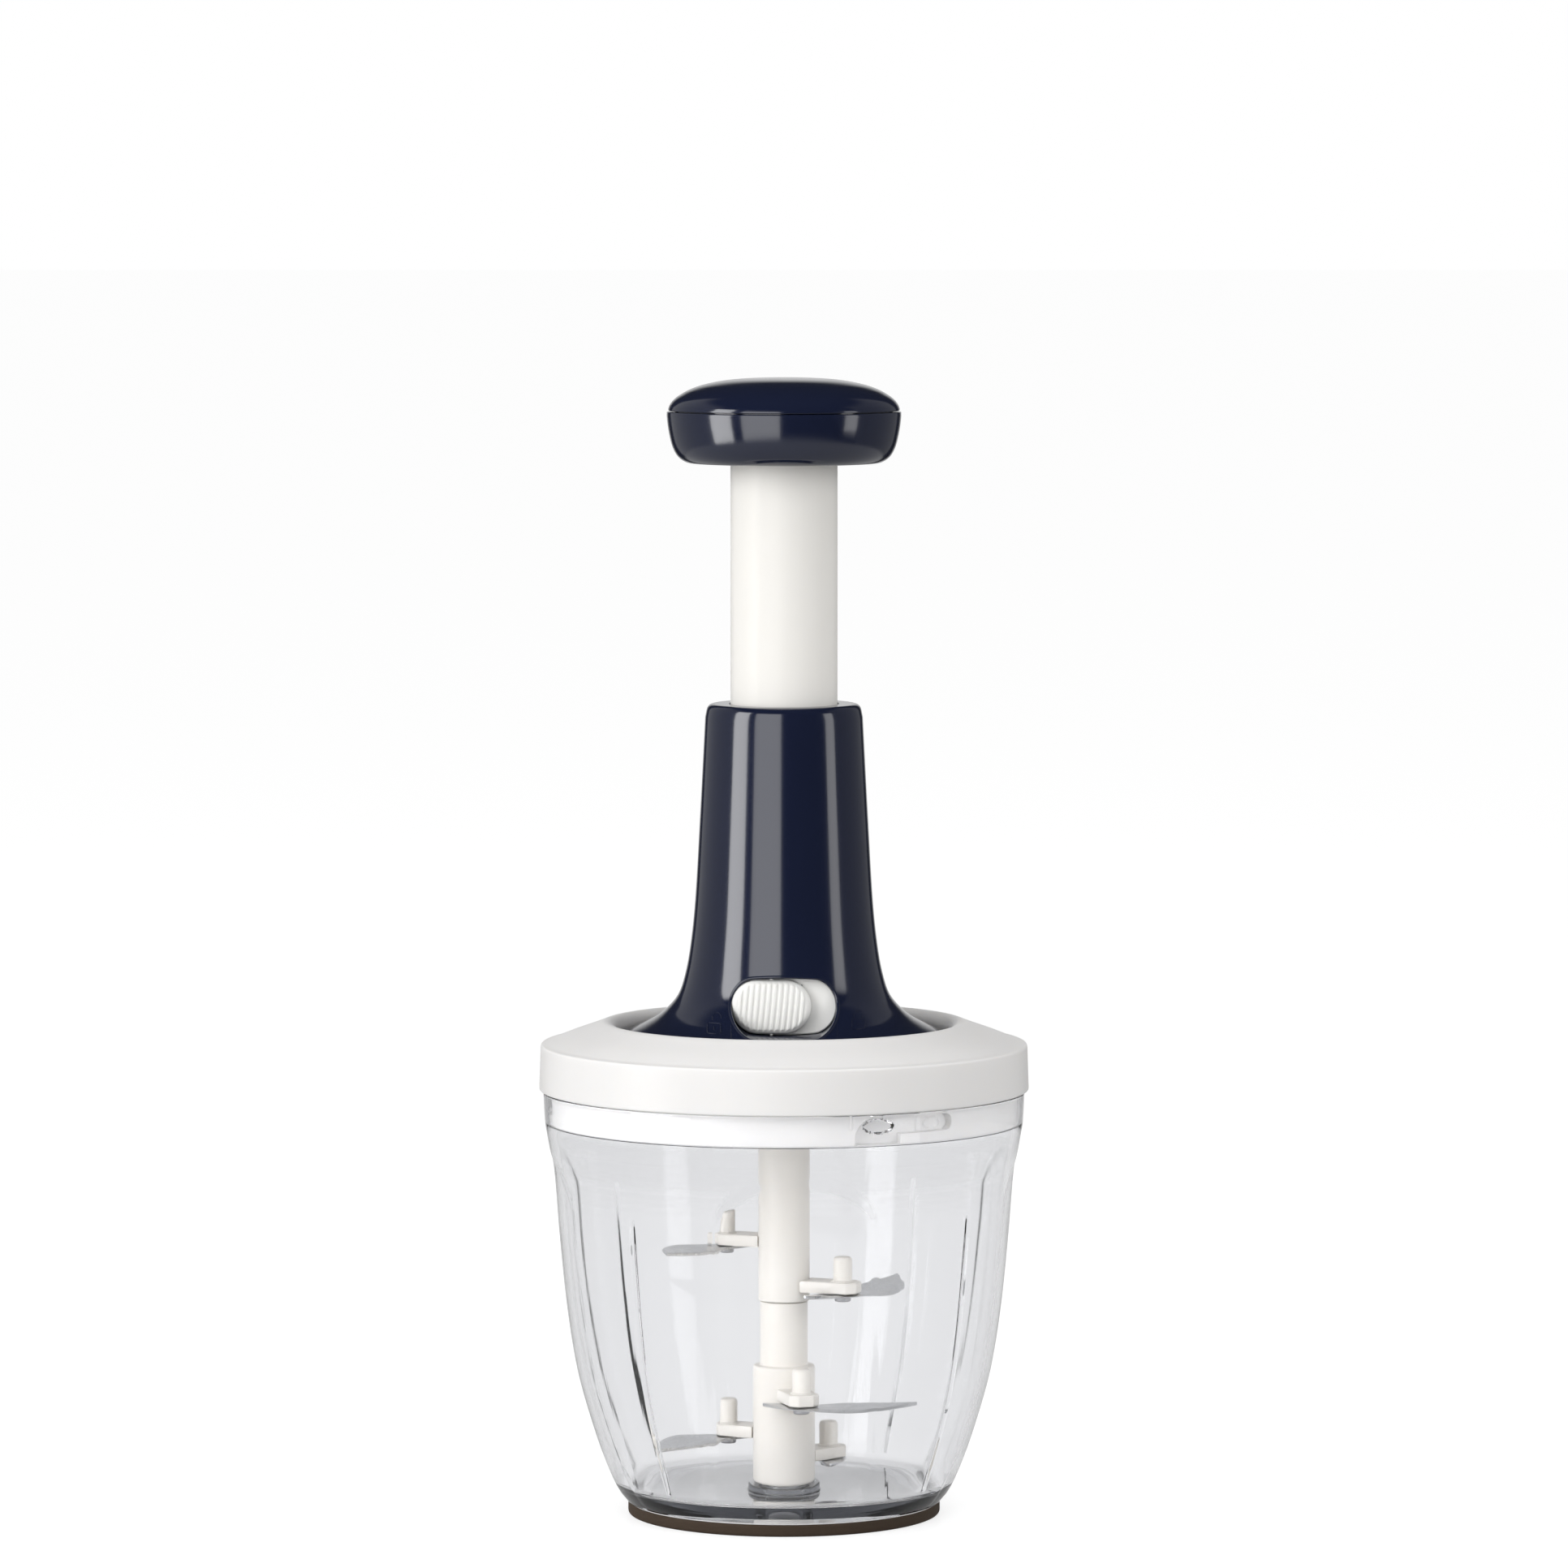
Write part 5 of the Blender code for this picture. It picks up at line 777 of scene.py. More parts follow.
# Bowl and pad
@dataclass
class Bowl:
    """Clear bowl with its inner ribs, arched wall panels, lugs and centre stud, on its pad."""

    shop: Shop
    outline_shares: Pairs = (
        (0.000, 0.655), (0.017, 0.682), (0.056, 0.7195), (0.175, 0.796), (0.334, 0.870),
        (0.492, 0.911), (0.651, 0.938), (0.809, 0.960), (0.888, 0.983), (0.928, 0.994),
        (1.000, 1.000))
    wall: float = 2.8 * MM
    rim_wall: float = 1.9 * MM
    ledge_depth: float = 10.0 * MM
    floor_lift: float = 5.7 * MM
    floor_thickness: float = 3.0 * MM
    floor_fillet: float = 3.0 * MM
    foot_width: float = 5.2 * MM
    stud_radius: float = 8.1 * MM
    stud_height: float = 11.0 * MM
    stud_wall: float = 2.0 * MM
    stud_flange: float = 11.4 * MM
    flange_height: float = 1.0 * MM
    rib_bearings: tuple[float, ...] = (-42.0, 54.0, 142.0, -128.0)
    rib_depth: float = 1.4 * MM
    rib_half_width: float = 1.3 * MM
    footprint_share: float = 0.87
    rib_top_share: float = 0.73
    rib_growth: float = 0.45
    rib_flank: float = 1.3
    panel_bearings: tuple[float, ...] = (3.0, 93.0, 183.0, -87.0)
    panel_half_width: float = 26.5 * MM
    panel_top: float = 19.0 * MM
    panel_arch: float = 17.0 * MM
    panel_depths: tuple[float, ...] = (0.17 * MM, 0.32 * MM, 0.32 * MM, 0.32 * MM)
    panel_edge: float = 3.4 * MM
    lug_size: tuple[float, float, float] = (10.0 * MM, 4.3 * MM, 1.6 * MM)
    lug_drop: float = 3.7 * MM
    lug_reach: float = 1.06
    lug_flank: float = 7
    lug_panel_half: float = 15.0 * MM
    lug_panel_drop: float = 0.9 * MM
    lug_panel_rise: float = 0.25 * MM
    pad_edge: float = 1.2 * MM
    pad_bore: float = 38 * MM
    pad_hollow: float = 0.8 * MM
    ring_radii: Pair = (40.6 * MM, 43.6 * MM)

    def __post_init__(self) -> None:
        """Read the heights and the rim's radius from the frame."""
        low, high = self.shop.span("bowl")
        self.foot_z, self.rim_z, self.rim_radius = low.z, high.z, high.x
        self.floor_z = self.foot_z + self.floor_lift
        self.ledge_z = self.rim_z - self.ledge_depth

    def outer_radius(self, z: Array) -> Array:
        """Outer radius at a height: the outline's shares joined by a monotone cubic."""
        shares = np.array(self.outline_shares)
        height = self.rim_z - self.foot_z
        return smooth_through((z - self.foot_z) / height, shares[:, 0],
                              shares[:, 1] * self.rim_radius)

    def sections(self) -> tuple[Array, Array, Array, Array, Array]:
        """Runs of the closed outline: stud, inside, rim, outside and underside."""
        top = self.floor_z + self.stud_height
        flange_top = self.floor_z + self.flange_height
        fillet_z = self.floor_z + self.floor_fillet
        inner_z = np.unique(np.concatenate([
            np.linspace(fillet_z, self.ledge_z, 42),
            self.rib_top_z() + np.linspace(-9, 1, 9) * MM]))
        corner = float(self.outer_radius(np.array([fillet_z]))[0]) - self.wall
        stud = moulded([
            (0, top), (self.stud_radius, top, 1.8 * MM), (self.stud_radius, flange_top, 0.4 * MM),
            (self.stud_flange, flange_top, 0.3 * MM), (self.stud_flange, self.floor_z, 0.4 * MM),
            (corner, self.floor_z, self.floor_fillet),
            (corner + 0.6 * MM, fillet_z + 2 * MM)], 7 * MM, keep=slice(-1))
        inside = np.column_stack([self.outer_radius(inner_z) - self.wall, inner_z])[2:]
        rim_inner = self.rim_radius - self.rim_wall
        lug_z = self.rim_z - self.lug_drop
        levels = lug_z + np.linspace(-1.15, 1.15, 15) * self.lug_size[1] / 2
        rim = np.concatenate([
            rounded([inside[-1], (inside[-1][0], self.ledge_z, 0.2 * MM),
                     (rim_inner, self.ledge_z, 0.3 * MM), (rim_inner, levels[0])])[1:],
            np.column_stack([np.full(len(levels), rim_inner), levels])[1:],
            rounded([(rim_inner, levels[-1]), (rim_inner, self.rim_z, 0.7 * MM),
                     (self.rim_radius, self.rim_z, 0.7 * MM),
                     (self.rim_radius, self.rim_z - 3 * MM)])[1:-1]])
        outer_z = np.unique(np.concatenate([
            np.linspace(self.foot_z + 0.6 * MM, self.rim_z - 1.5 * MM, 60),
            self.rim_z - self.panel_top + np.linspace(-20, 2, 30) * MM]))[::-1]
        outside = np.column_stack([self.outer_radius(outer_z), outer_z])
        foot = float(self.outer_radius(np.array([self.foot_z]))[0])
        under = self.floor_z - self.floor_thickness
        core = self.stud_radius - self.stud_wall
        below = moulded([
            outside[-1], (foot - 0.2 * MM, self.foot_z, 0.5 * MM),
            (foot - self.foot_width, self.foot_z, 0.4 * MM),
            (foot - self.foot_width, under, 0.6 * MM), (core, under, 0.5 * MM),
            (core - 1.2 * MM, top - self.stud_wall, 1.2 * MM),
            (0, top - self.stud_wall)], 7 * MM, keep=slice(1, None))
        return stud, inside, rim, outside, below

    def rib_top_z(self) -> float:
        """Height at which the inner ribs fade out."""
        return self.foot_z + self.rib_top_share * (self.rim_z - self.foot_z)

    def rib_shift(self, angles: Array, outline: Array) -> Array:
        """Inner ribs: a narrow ridge with eased flanks that grows from its top to the floor."""
        z = outline[None, :, 1]
        low = self.floor_z
        grown = np.clip((self.rib_top_z() - z) / (self.rib_top_z() - low), 0, 1) ** self.rib_growth
        shift = np.zeros((len(angles), len(outline)))
        for bearing in self.rib_bearings:
            middle = self.footprint_share * self.rim_radius
            offset = np.abs(arc_offset(angles[:, None], bearing, middle))
            shift += smooth_step(self.rib_flank * (1 - offset / self.rib_half_width)) * grown
        return -self.rib_depth * shift

    def panel_shift(self, angles: Array, outline: Array) -> Array:
        """Wall panels, the front one shallower: recessed inside two uprights and an arch.

        The distance to the arch is the ellipse's value less one over its gradient.
        """
        r, z = outline[None, :, 0], outline[None, :, 1]
        spring_line = self.rim_z - self.panel_top - self.panel_arch
        shift = np.zeros((len(angles), len(outline)))
        for bearing, depth in zip(self.panel_bearings, self.panel_depths):
            away = arc_offset(angles[:, None], bearing, 1.0)
            across = r * np.sin(away)
            up = np.maximum(z - spring_line, 0)
            a, b = across / self.panel_half_width, up / self.panel_arch
            value = np.sqrt(a * a + b * b) + 1e-9
            slope = np.sqrt((a / self.panel_half_width) ** 2 + (b / self.panel_arch) ** 2)
            inside = (1 - value) * value / (slope + 1e-9)
            facing = np.abs(away) < np.pi / 2
            shift += depth * smooth_step(inside / self.panel_edge) * facing
        return -shift

    def lug_shift(self, angles: Array, outline: Array) -> Array:
        """Oval lugs and the flush panel round each: steps on the inner face of the rim."""
        r, z = outline[None, :, 0], outline[None, :, 1]
        width, height, proud = self.lug_size
        shift = np.zeros((len(angles), len(outline)))
        for bearing in LUG_BEARINGS:
            offset = arc_offset(angles[:, None], bearing, r)
            value = np.hypot(offset / (width / 2), (z - self.rim_z + self.lug_drop) / (height / 2))
            shift += proud * smooth_step((self.lug_reach - value) * self.lug_flank)
            band = smooth_step((self.lug_panel_half - np.abs(offset)) / (0.3 * MM))
            shift += self.lug_panel_rise * band * (z < self.rim_z - self.lug_panel_drop)
        return -shift

    def angles(self) -> Array:
        """Columns round the bowl, closer at ribs, panel edges and lugs."""
        middle = self.footprint_share * self.rim_radius
        reach = np.linspace(-1, 1, 13) * self.rib_half_width
        extra = columns_by(self.rib_bearings, reach, middle)
        for bearing in self.panel_bearings:
            for side in (-1, 1):
                for share in np.linspace(0.70, 0.97, 10):
                    edge = math.asin(self.panel_half_width / (share * self.rim_radius))
                    reach = np.linspace(-1.1, 0.1, 3) * self.panel_edge / middle
                    extra.append(world_angle(bearing) + side * (edge + reach))
        reach = np.linspace(-1.1, 1.1, 21) * self.lug_size[0] / 2
        edge = self.lug_panel_half + np.array([-0.3, -0.15, 0.0]) * MM
        for near in (reach, -edge, edge):
            extra += columns_by(LUG_BEARINGS, near, self.rim_radius)
        return turn_angles(240, *extra)

    def make_shell(self) -> None:
        """Turn the outline into one closed clear shell with its local relief."""
        angles = self.angles()
        stud, inside, rim, outside, below = self.sections()
        grids = [turned(stud, angles), turned(inside, angles, self.rib_shift(angles, inside)),
                 turned(rim, angles, self.lug_shift(angles, rim)),
                 turned(outside, angles, self.panel_shift(angles, outside)),
                 turned(below, angles)]
        sheet = Sheet(np.concatenate(grids, axis=1))
        self.shop.piece("bowl_shell", [sheet], "clear", Body.BOWL, ["bowl"], sharp=30)

    def make_pad(self) -> None:
        """Rubber pad with a rounded edge and the locating ring inside the foot."""
        low, high = self.shop.span("base_pad")
        top = self.foot_z - 0.3 * MM
        inner, outer = self.ring_radii
        hollow = low.z + self.pad_hollow
        outline = moulded([
            (0, top), (inner, top), (inner, high.z), (outer, high.z, 0.3 * MM), (outer, top),
            (high.x, top, self.pad_edge), (high.x, low.z, self.pad_edge),
            (self.pad_bore, low.z, 0.4 * MM), (self.pad_bore, hollow), (0, hollow)], 6 * MM)
        self.shop.lathe("grip_pad", outline, 160, "rubber", Body.BOWL, ["base_pad"])

    def make(self) -> None:
        """Make the bowl and its pad."""
        self.make_shell()
        self.make_pad()


# Blades
@dataclass
class BladeAssembly:
    """Two-part ivory shaft with flat arms and pegs, and five riveted sickle blades."""

    shop: Shop
    lower_tiers: Pairs = (
        (16.0, 26.0 * MM), (244.0, 12.4 * MM), (134.0, 4.4 * MM))
    upper_tiers: Pairs = ((69.0, 60.2 * MM), (249.0, 74.0 * MM))
    lower_bends: Pairs = (
        (-5.0, 0.6 * MM), (10.0, 0.2 * MM), (4.0, 0.3 * MM))
    upper_bends: Pairs = ((-10.0, 2.2 * MM), (9.0, 1.6 * MM))
    seat_gap: float = 0.3 * MM
    hub_radius: float = 9.9 * MM
    hub_height: float = 36.4 * MM
    shaft_radius: float = 7.6 * MM
    spigot_radius: float = 5.9 * MM
    spigot_length: float = 18.0 * MM
    sleeve_radius: float = 8.2 * MM
    stud_bore: float = 8.5 * MM
    stud_depth: float = 10.1 * MM
    core_bore: float = 4.4 * MM
    mouth_radius: float = 5.9 * MM
    mouth_depth: float = 2.5 * MM
    socket_depth: float = 15.0 * MM
    socket_width: float = 7.6 * MM
    arm_reach: float = 25.5 * MM
    arm_width: float = 10.0 * MM
    arm_thickness: float = 3.6 * MM
    arm_corner: float = 2.6 * MM
    peg_centre: float = 20.0 * MM
    peg_radius: float = 3.0 * MM
    peg_height: float = 8.0 * MM
    blade_thickness: float = 1.0 * MM
    blade_width: float = 12.5 * MM
    blade_line: Pairs = (
        (-9.5 * MM, -10.0 * MM), (14.0 * MM, 7.0 * MM), (5.5 * MM, 36.5 * MM))
    blade_power: float = 0.62
    tip_taper: float = 0.3
    grind: float = 0.34
    bend_start: float = 0.3
    rivet_head: float = 1.2 * MM
    shank_share: float = 0.54

    def __post_init__(self) -> None:
        """Read the heights from the frame."""
        low, high = self.shop.span("lower_blade_shaft")
        self.hub_z, self.spigot_top = low.z, high.z
        low, high = self.shop.span("upper_blade_sleeve")
        self.sleeve_z, self.top_z = low.z, high.z

    def arm(self, bearing: float, height: float, root: float) -> list[Sheet]:
        """Arm with cut corners and the round peg that stands on it.

        Args:
            bearing: Direction of the arm.
            height: Height of the blade's top above the hub's bottom.
            root: Radius at which the arm starts, inside the tube's wall.

        Returns:
            The arm's and the peg's surfaces.
        """
        low = self.hub_z + height + self.seat_gap
        high = low + self.arm_thickness
        half, reach, corner = self.arm_width / 2, self.arm_reach, self.arm_corner
        flat = rounded([(root, 0), (root, -half), (reach - corner, -half, 0.8 * MM),
                        (reach, corner - half, 0.8 * MM), (reach, half - corner, 0.8 * MM),
                        (reach - corner, half, 0.8 * MM), (root, half), (root, 0)], 4)[:-1]
        plate = slab(supported(flat, SUPPORT, 3 * MM), low, high, 0.35 * MM)
        peg = rounded([(0, high - 1 * MM), (self.peg_radius + 0.5 * MM, high - 1 * MM),
                       (self.peg_radius + 0.5 * MM, high + 0.2 * MM),
                       (self.peg_radius, high + 0.5 * MM, 0.3 * MM),
                       (self.peg_radius, high + self.peg_height, 1.8 * MM),
                       (0, high + self.peg_height)])
        column = turned(peg, turn_angles(32)) + np.array([self.peg_centre, 0, 0])
        return [Sheet(placed(plate.points, bearing)), Sheet(placed(column, bearing))]

    def lower(self) -> None:
        """Hub, shaft and spigot, with three arms."""
        hub_top = self.hub_z + self.hub_height
        shoulder = self.sleeve_z - self.seat_gap
        bore_top = self.hub_z + self.stud_depth
        outline = moulded([
            (self.core_bore, bore_top), (self.core_bore, self.spigot_top, 0.4 * MM),
            (self.spigot_radius, self.spigot_top, 0.6 * MM), (self.spigot_radius, shoulder),
            (self.shaft_radius, shoulder, 0.4 * MM), (self.shaft_radius, hub_top, 0.5 * MM),
            (self.hub_radius, hub_top, 0.9 * MM), (self.hub_radius, self.hub_z, 0.6 * MM),
            (self.stud_bore, self.hub_z, 0.3 * MM), (self.stud_bore, bore_top),
            (self.core_bore + 0.1 * MM, bore_top)], 8 * MM)
        sheets = [Sheet(turned(outline, turn_angles(72)), True, True)]
        for bearing, height in self.lower_tiers:
            sheets += self.arm(bearing, height, (self.stud_bore + self.hub_radius) / 2)
        self.shop.piece("lower_shaft", sheets, "ivory", Body.BLADES, ["lower_blade_shaft"])

    def upper(self) -> None:
        """Sleeve over the spigot, with two arms and the square socket."""
        bore = self.spigot_radius + self.seat_gap
        bore_top = self.sleeve_z + self.spigot_length + self.seat_gap
        mouth = self.top_z - self.mouth_depth
        outline = moulded([
            (0, mouth), (self.mouth_radius, mouth, 0.3 * MM),
            (self.mouth_radius, self.top_z, 0.5 * MM), (self.sleeve_radius, self.top_z, 0.6 * MM),
            (self.sleeve_radius, self.sleeve_z, 0.5 * MM), (bore, self.sleeve_z, 0.3 * MM),
            (bore, bore_top), (0, bore_top)], 8 * MM)
        sheets = [Sheet(turned(outline, turn_angles(72)))]
        for bearing, height in self.upper_tiers:
            sheets += self.arm(bearing, height, (bore + self.sleeve_radius) / 2)
        socket = square_bar(self.socket_width / 2, MM, 4, mouth - self.socket_depth,
                            self.top_z + 3 * MM, 0.1 * MM)
        sheet = Sheet(placed(socket.points, SQUARE_BEARING))
        self.shop.piece("upper_sleeve", sheets, "ivory", Body.BLADES, ["upper_blade_sleeve"],
                        [sheet])

    def blade(self, name: str, bearing: float, height: float, bend: Pair) -> None:
        """Sickle blade with ground edges.

        The centre line is a quadratic curve from heel over belly to tip. The half width is a
        power of the sine along it, and the power grows towards the tip. The section is flat in
        the middle and falls to a thin edge over the grind, wider on the cutting side. Past the
        rivet the blade rolls about its line, and its tip rises with the square of the way to it.

        Args:
            name: Node that the blade stands for.
            bearing: Direction of its arm.
            height: Height of its top above the hub's bottom.
            bend: Roll in degrees, outer edge up, and the rise of the tip.
        """
        heel, belly, tip = (np.array(point) for point in self.blade_line)
        t = (1 - np.cos(np.linspace(0, np.pi, 40)))[:, None] / 2
        line = heel * (1 - t) ** 2 + 2 * belly * t * (1 - t) + tip * t ** 2
        along = 2 * (belly - heel) * (1 - t) + 2 * (tip - belly) * t
        side = np.stack([along[:, 1], -along[:, 0]], -1)
        side /= np.linalg.norm(side, axis=1, keepdims=True)
        power = self.blade_power + self.tip_taper * smooth_step((t - 0.45) / 0.5)
        half = self.blade_width / 2 * np.sin(np.pi * t) ** power
        thick = self.blade_thickness / 2
        across = np.array([-1, -1, -0.93, -0.5, 0, 0.5, 1 - self.grind, 1, 1,
                           1 - self.grind, 0.5, 0, -0.5, -0.93])
        level = np.array([-0.7, 0.7, 1, 1, 1, 1, 1, 0.16, -0.16, -1, -1, -1, -1, -1])
        flat = line[:, None] + side[:, None] * (across[None, :] * half)[..., None]
        middle = self.hub_z + height - thick
        free = smooth_step((t - self.bend_start) / self.bend_start)
        rise = np.clip((t - self.bend_start) / (1 - self.bend_start), 0, 1)
        roll = math.tan(math.radians(bend[0])) * across[None, :] * half * free
        z = middle + level * thick + roll + bend[1] * rise ** 2
        grid = np.concatenate([flat, z[..., None]], -1)
        sheet = Sheet(placed(grid, bearing, self.peg_centre), False, True)
        self.shop.piece(f"{name}_steel", [sheet, *self.caps(sheet)], "blade", Body.BLADES,
                        [name], sharp=12)

    @staticmethod
    def caps(sheet: Sheet) -> list[Sheet]:
        """Close the two pointed ends of a looped sheet on their middles."""
        ends = []
        for row in (sheet.points[0], sheet.points[-1]):
            middle = np.broadcast_to(row.mean(0), row.shape)
            ends.append(Sheet(np.stack([row, middle], 1)))
        return ends

    def rivets(self) -> None:
        """Domed rivet heads under the blades, on their shanks."""
        for number, (bearing, _) in enumerate(self.lower_tiers + self.upper_tiers, 1):
            node = f"blade_rivet_{number}"
            low, high = self.shop.span(node)
            radius = (high.x - low.x) / 2
            shank, head_z = self.shank_share * radius, low.z + self.rivet_head
            outline = rounded([(0, low.z), (radius, low.z, 0.7 * MM), (radius, head_z),
                               (shank, head_z), (shank, high.z), (0, high.z)])
            grid = turned(outline, turn_angles(28)) + np.array([self.peg_centre, 0, 0])
            self.shop.piece(f"{node}_domed", [Sheet(placed(grid, bearing))], "rod",
                            Body.BLADES, [node])

    def make(self) -> None:
        """Make the shafts, blades and rivets."""
        self.lower()
        self.upper()
        for number, (tier, bend) in enumerate(zip(self.lower_tiers, self.lower_bends), 1):
            self.blade(f"lower_blade_{number}", *tier, bend)
        for number, (tier, bend) in enumerate(zip(self.upper_tiers, self.upper_bends), 1):
            self.blade(f"upper_blade_{number}", *tier, bend)
        self.rivets()


# Lid
@dataclass
class Lid:
    """White lid: flange, sloping top with a soft lip, deep recess, skirt with bayonet tracks."""

    shop: Shop
    flange_height: float = 14.5 * MM
    draft: float = 0.5 * MM
    skirt_depth: float = 9.9 * MM
    skirt_radius: float = 74.5 * MM
    skirt_wall: float = 3.0 * MM
    wall: float = 2.2 * MM
    recess_radius: float = 53.0 * MM
    recess_depth: float = 28.8 * MM
    lip_round: float = 4.0 * MM
    collar_bore: float = 8.8 * MM
    collar_wall: float = 2.2 * MM
    collar_drop: float = 8.0 * MM
    entry_half: float = 7.75 * MM
    run_low: float = 3.25 * MM
    run_high: float = 8.55 * MM
    run_angle: float = 15.0
    track_depth: float = 2.0 * MM
    track_soft: float = 0.25 * MM
    entry_lean: float = 5.2 * MM
    lean_power: float = 3.2
    stop_place: float = -9 * MM
    stop_half: float = 0.55 * MM
    stop_rise: float = 0.3 * MM
    click_place: float = 14.5 * MM
    click_half: float = 0.5 * MM
    click_rise: float = 0.5 * MM
    oval_place: float = 20.5 * MM
    oval_half: Pair = (3.2 * MM, 1.7 * MM)
    oval_rise: float = 0.35 * MM
    track_levels: tuple[float, ...] = (3.1, 3.25, 3.4, 3.55, 8.2, 8.4, 8.55, 8.7)
    key_half: float = 4.5 * MM
    key_low: float = 1.2 * MM
    key_height: float = 3.6 * MM
    key_reach: float = 1.7 * MM

    def __post_init__(self) -> None:
        """Read the heights and the flange's radius from the frame."""
        _, high = self.shop.span("lid")
        self.top_z, self.radius = high.z, high.x
        self.recess_z = self.top_z - self.recess_depth
        self.flange_z = self.shop.span("bowl")[1].z + 0.3 * MM
        self.skirt_z = self.flange_z - self.skirt_depth

    def outline(self) -> tuple[Array, Array, Array]:
        """Closed outline in three runs: the skirt's outer face, the outside, the inside."""
        skirt_inner = self.skirt_radius - self.skirt_wall
        heights = np.unique(np.concatenate([
            np.linspace(0.5, 9.4, 19), self.track_levels])) * MM
        skirt = np.column_stack([np.full(len(heights), self.skirt_radius),
                                 self.skirt_z + heights])
        edge_z = self.flange_z + self.flange_height
        lip_x = self.recess_radius + self.lip_round
        lip_z = self.top_z - self.lip_round
        turn = np.radians(np.linspace(78, 180, 12))
        lip = np.column_stack([lip_x + self.lip_round * np.cos(turn),
                               lip_z + self.lip_round * np.sin(turn)])
        slope = spline([(self.radius - self.draft - 1.6 * MM, edge_z + 0.15 * MM),
                        (self.radius - 9 * MM, edge_z + 2.9 * MM),
                        (self.radius - 16 * MM, edge_z + 5.4 * MM), tuple(lip[0])], 6)
        key_top = self.recess_z + self.key_low + self.key_height
        outside = np.concatenate([
            moulded([(self.skirt_radius, self.flange_z - 0.3 * MM),
                     (self.skirt_radius, self.flange_z, 0.2 * MM),
                     (self.radius, self.flange_z, 0.6 * MM),
                     (self.radius - self.draft, edge_z, 1.1 * MM), tuple(slope[0])], 5 * MM),
            slope[1:], lip[1:],
            moulded([tuple(lip[-1]), (self.recess_radius, key_top + 0.05 * MM),
                     (self.recess_radius, key_top - 0.05 * MM),
                     (self.recess_radius, self.recess_z, 1.5 * MM),
                     (self.collar_bore, self.recess_z, 0.5 * MM),
                     (self.collar_bore, self.recess_z - 5 * MM)], 6 * MM, keep=slice(1, -1))])
        under = self.recess_z - self.wall
        inside = moulded([
            (self.collar_bore, self.recess_z - 5 * MM),
            (self.collar_bore, under - self.collar_drop, 0.4 * MM),
            (self.collar_bore + self.collar_wall, under - self.collar_drop, 0.4 * MM),
            (self.collar_bore + self.collar_wall, under, 0.8 * MM),
            (self.recess_radius + self.wall, under, 1.5 * MM),
            (self.recess_radius + self.wall, lip_z - 1 * MM, 2 * MM),
            (skirt_inner, edge_z - self.wall, 1.5 * MM), (skirt_inner, self.skirt_z, 0.4 * MM),
            (self.skirt_radius, self.skirt_z, 0.4 * MM),
            (self.skirt_radius, self.skirt_z + 0.5 * MM)], 6 * MM, keep=slice(-1))
        return skirt, outside, inside

    def track(self, angles: Array, outline: Array) -> Array:
        """Bayonet tracks: depth of the entry with its swept corner, joined to a level run.

        The entry's left wall leans inwards with a power of the height, and the run's far end
        is a half circle.
        """
        up = outline[None, :, 1] - self.skirt_z
        middle, half = (self.run_low + self.run_high) / 2, (self.run_high - self.run_low) / 2
        end = self.entry_half + math.radians(self.run_angle) * self.skirt_radius - half
        depth = np.zeros((len(angles), len(outline)))
        soft = self.track_soft
        for bearing in LUG_BEARINGS:
            along = arc_offset(angles[:, None], bearing, self.skirt_radius)
            lean = self.entry_lean * np.clip(up / self.run_high, 0, 1) ** self.lean_power
            entry = (smooth_step((along + self.entry_half - lean) / soft)
                     * smooth_step((self.entry_half - along) / soft)
                     * smooth_step((self.run_high - up) / soft))
            beyond = np.maximum(along - end, 0)
            run = (smooth_step((half - np.hypot(beyond, up - middle)) / soft)
                   * smooth_step(along / soft))
            depth = np.maximum(depth, np.maximum(entry, run))
        return -self.track_depth * depth

    def relief(self, angles: Array, outline: Array) -> Array:
        """Small raised marks by the track: a stop rib, a click rib and an oval in the run."""
        up = outline[None, :, 1] - self.skirt_z
        middle = (self.run_low + self.run_high) / 2
        rise = np.zeros((len(angles), len(outline)))
        for bearing in LUG_BEARINGS:
            along = arc_offset(angles[:, None], bearing, self.skirt_radius)
            stop = smooth_step((self.stop_half - np.abs(along - self.stop_place)) / (0.25 * MM))
            rise += self.stop_rise * stop * smooth_step((up - 5.0 * MM) / (0.4 * MM))
            click = smooth_step((self.click_half - np.abs(along - self.click_place))
                                / (0.3 * MM))
            rise += self.click_rise * click * (np.abs(up - middle) < 2.3 * MM)
            value = np.hypot((along - self.oval_place) / self.oval_half[0],
                             (up - middle) / self.oval_half[1])
            rise += self.oval_rise * smooth_step((0.16 - np.abs(value - 1)) * 9)
        return rise

    def key_shift(self, angles: Array, outline: Array) -> Array:
        """Keys low on the recess wall: blocks that reach inwards."""
        r, z = outline[None, :, 0], outline[None, :, 1]
        low = self.recess_z + self.key_low
        shift = np.zeros((len(angles), len(outline)))
        for bearing in KEY_BEARINGS:
            offset = np.abs(arc_offset(angles[:, None], bearing, self.recess_radius))
            level = (z > low) & (z < low + self.key_height) & (r > self.recess_radius - 2 * MM)
            shift += smooth_step((self.key_half - offset) / (0.2 * MM)) * level
        return -self.key_reach * shift

    def angles(self) -> Array:
        """Columns round the lid, closer at the tracks and keys."""
        reach = np.concatenate([np.linspace(-10, 30, 140), [-7.75, -7.6, 7.6, 7.75]]) * MM
        edge = self.key_half + np.array([-0.2, -0.1, 0.0]) * MM
        return turn_angles(200, *columns_by(LUG_BEARINGS, reach, self.skirt_radius),
                           *columns_by(KEY_BEARINGS, -edge, self.recess_radius),
                           *columns_by(KEY_BEARINGS, edge, self.recess_radius))

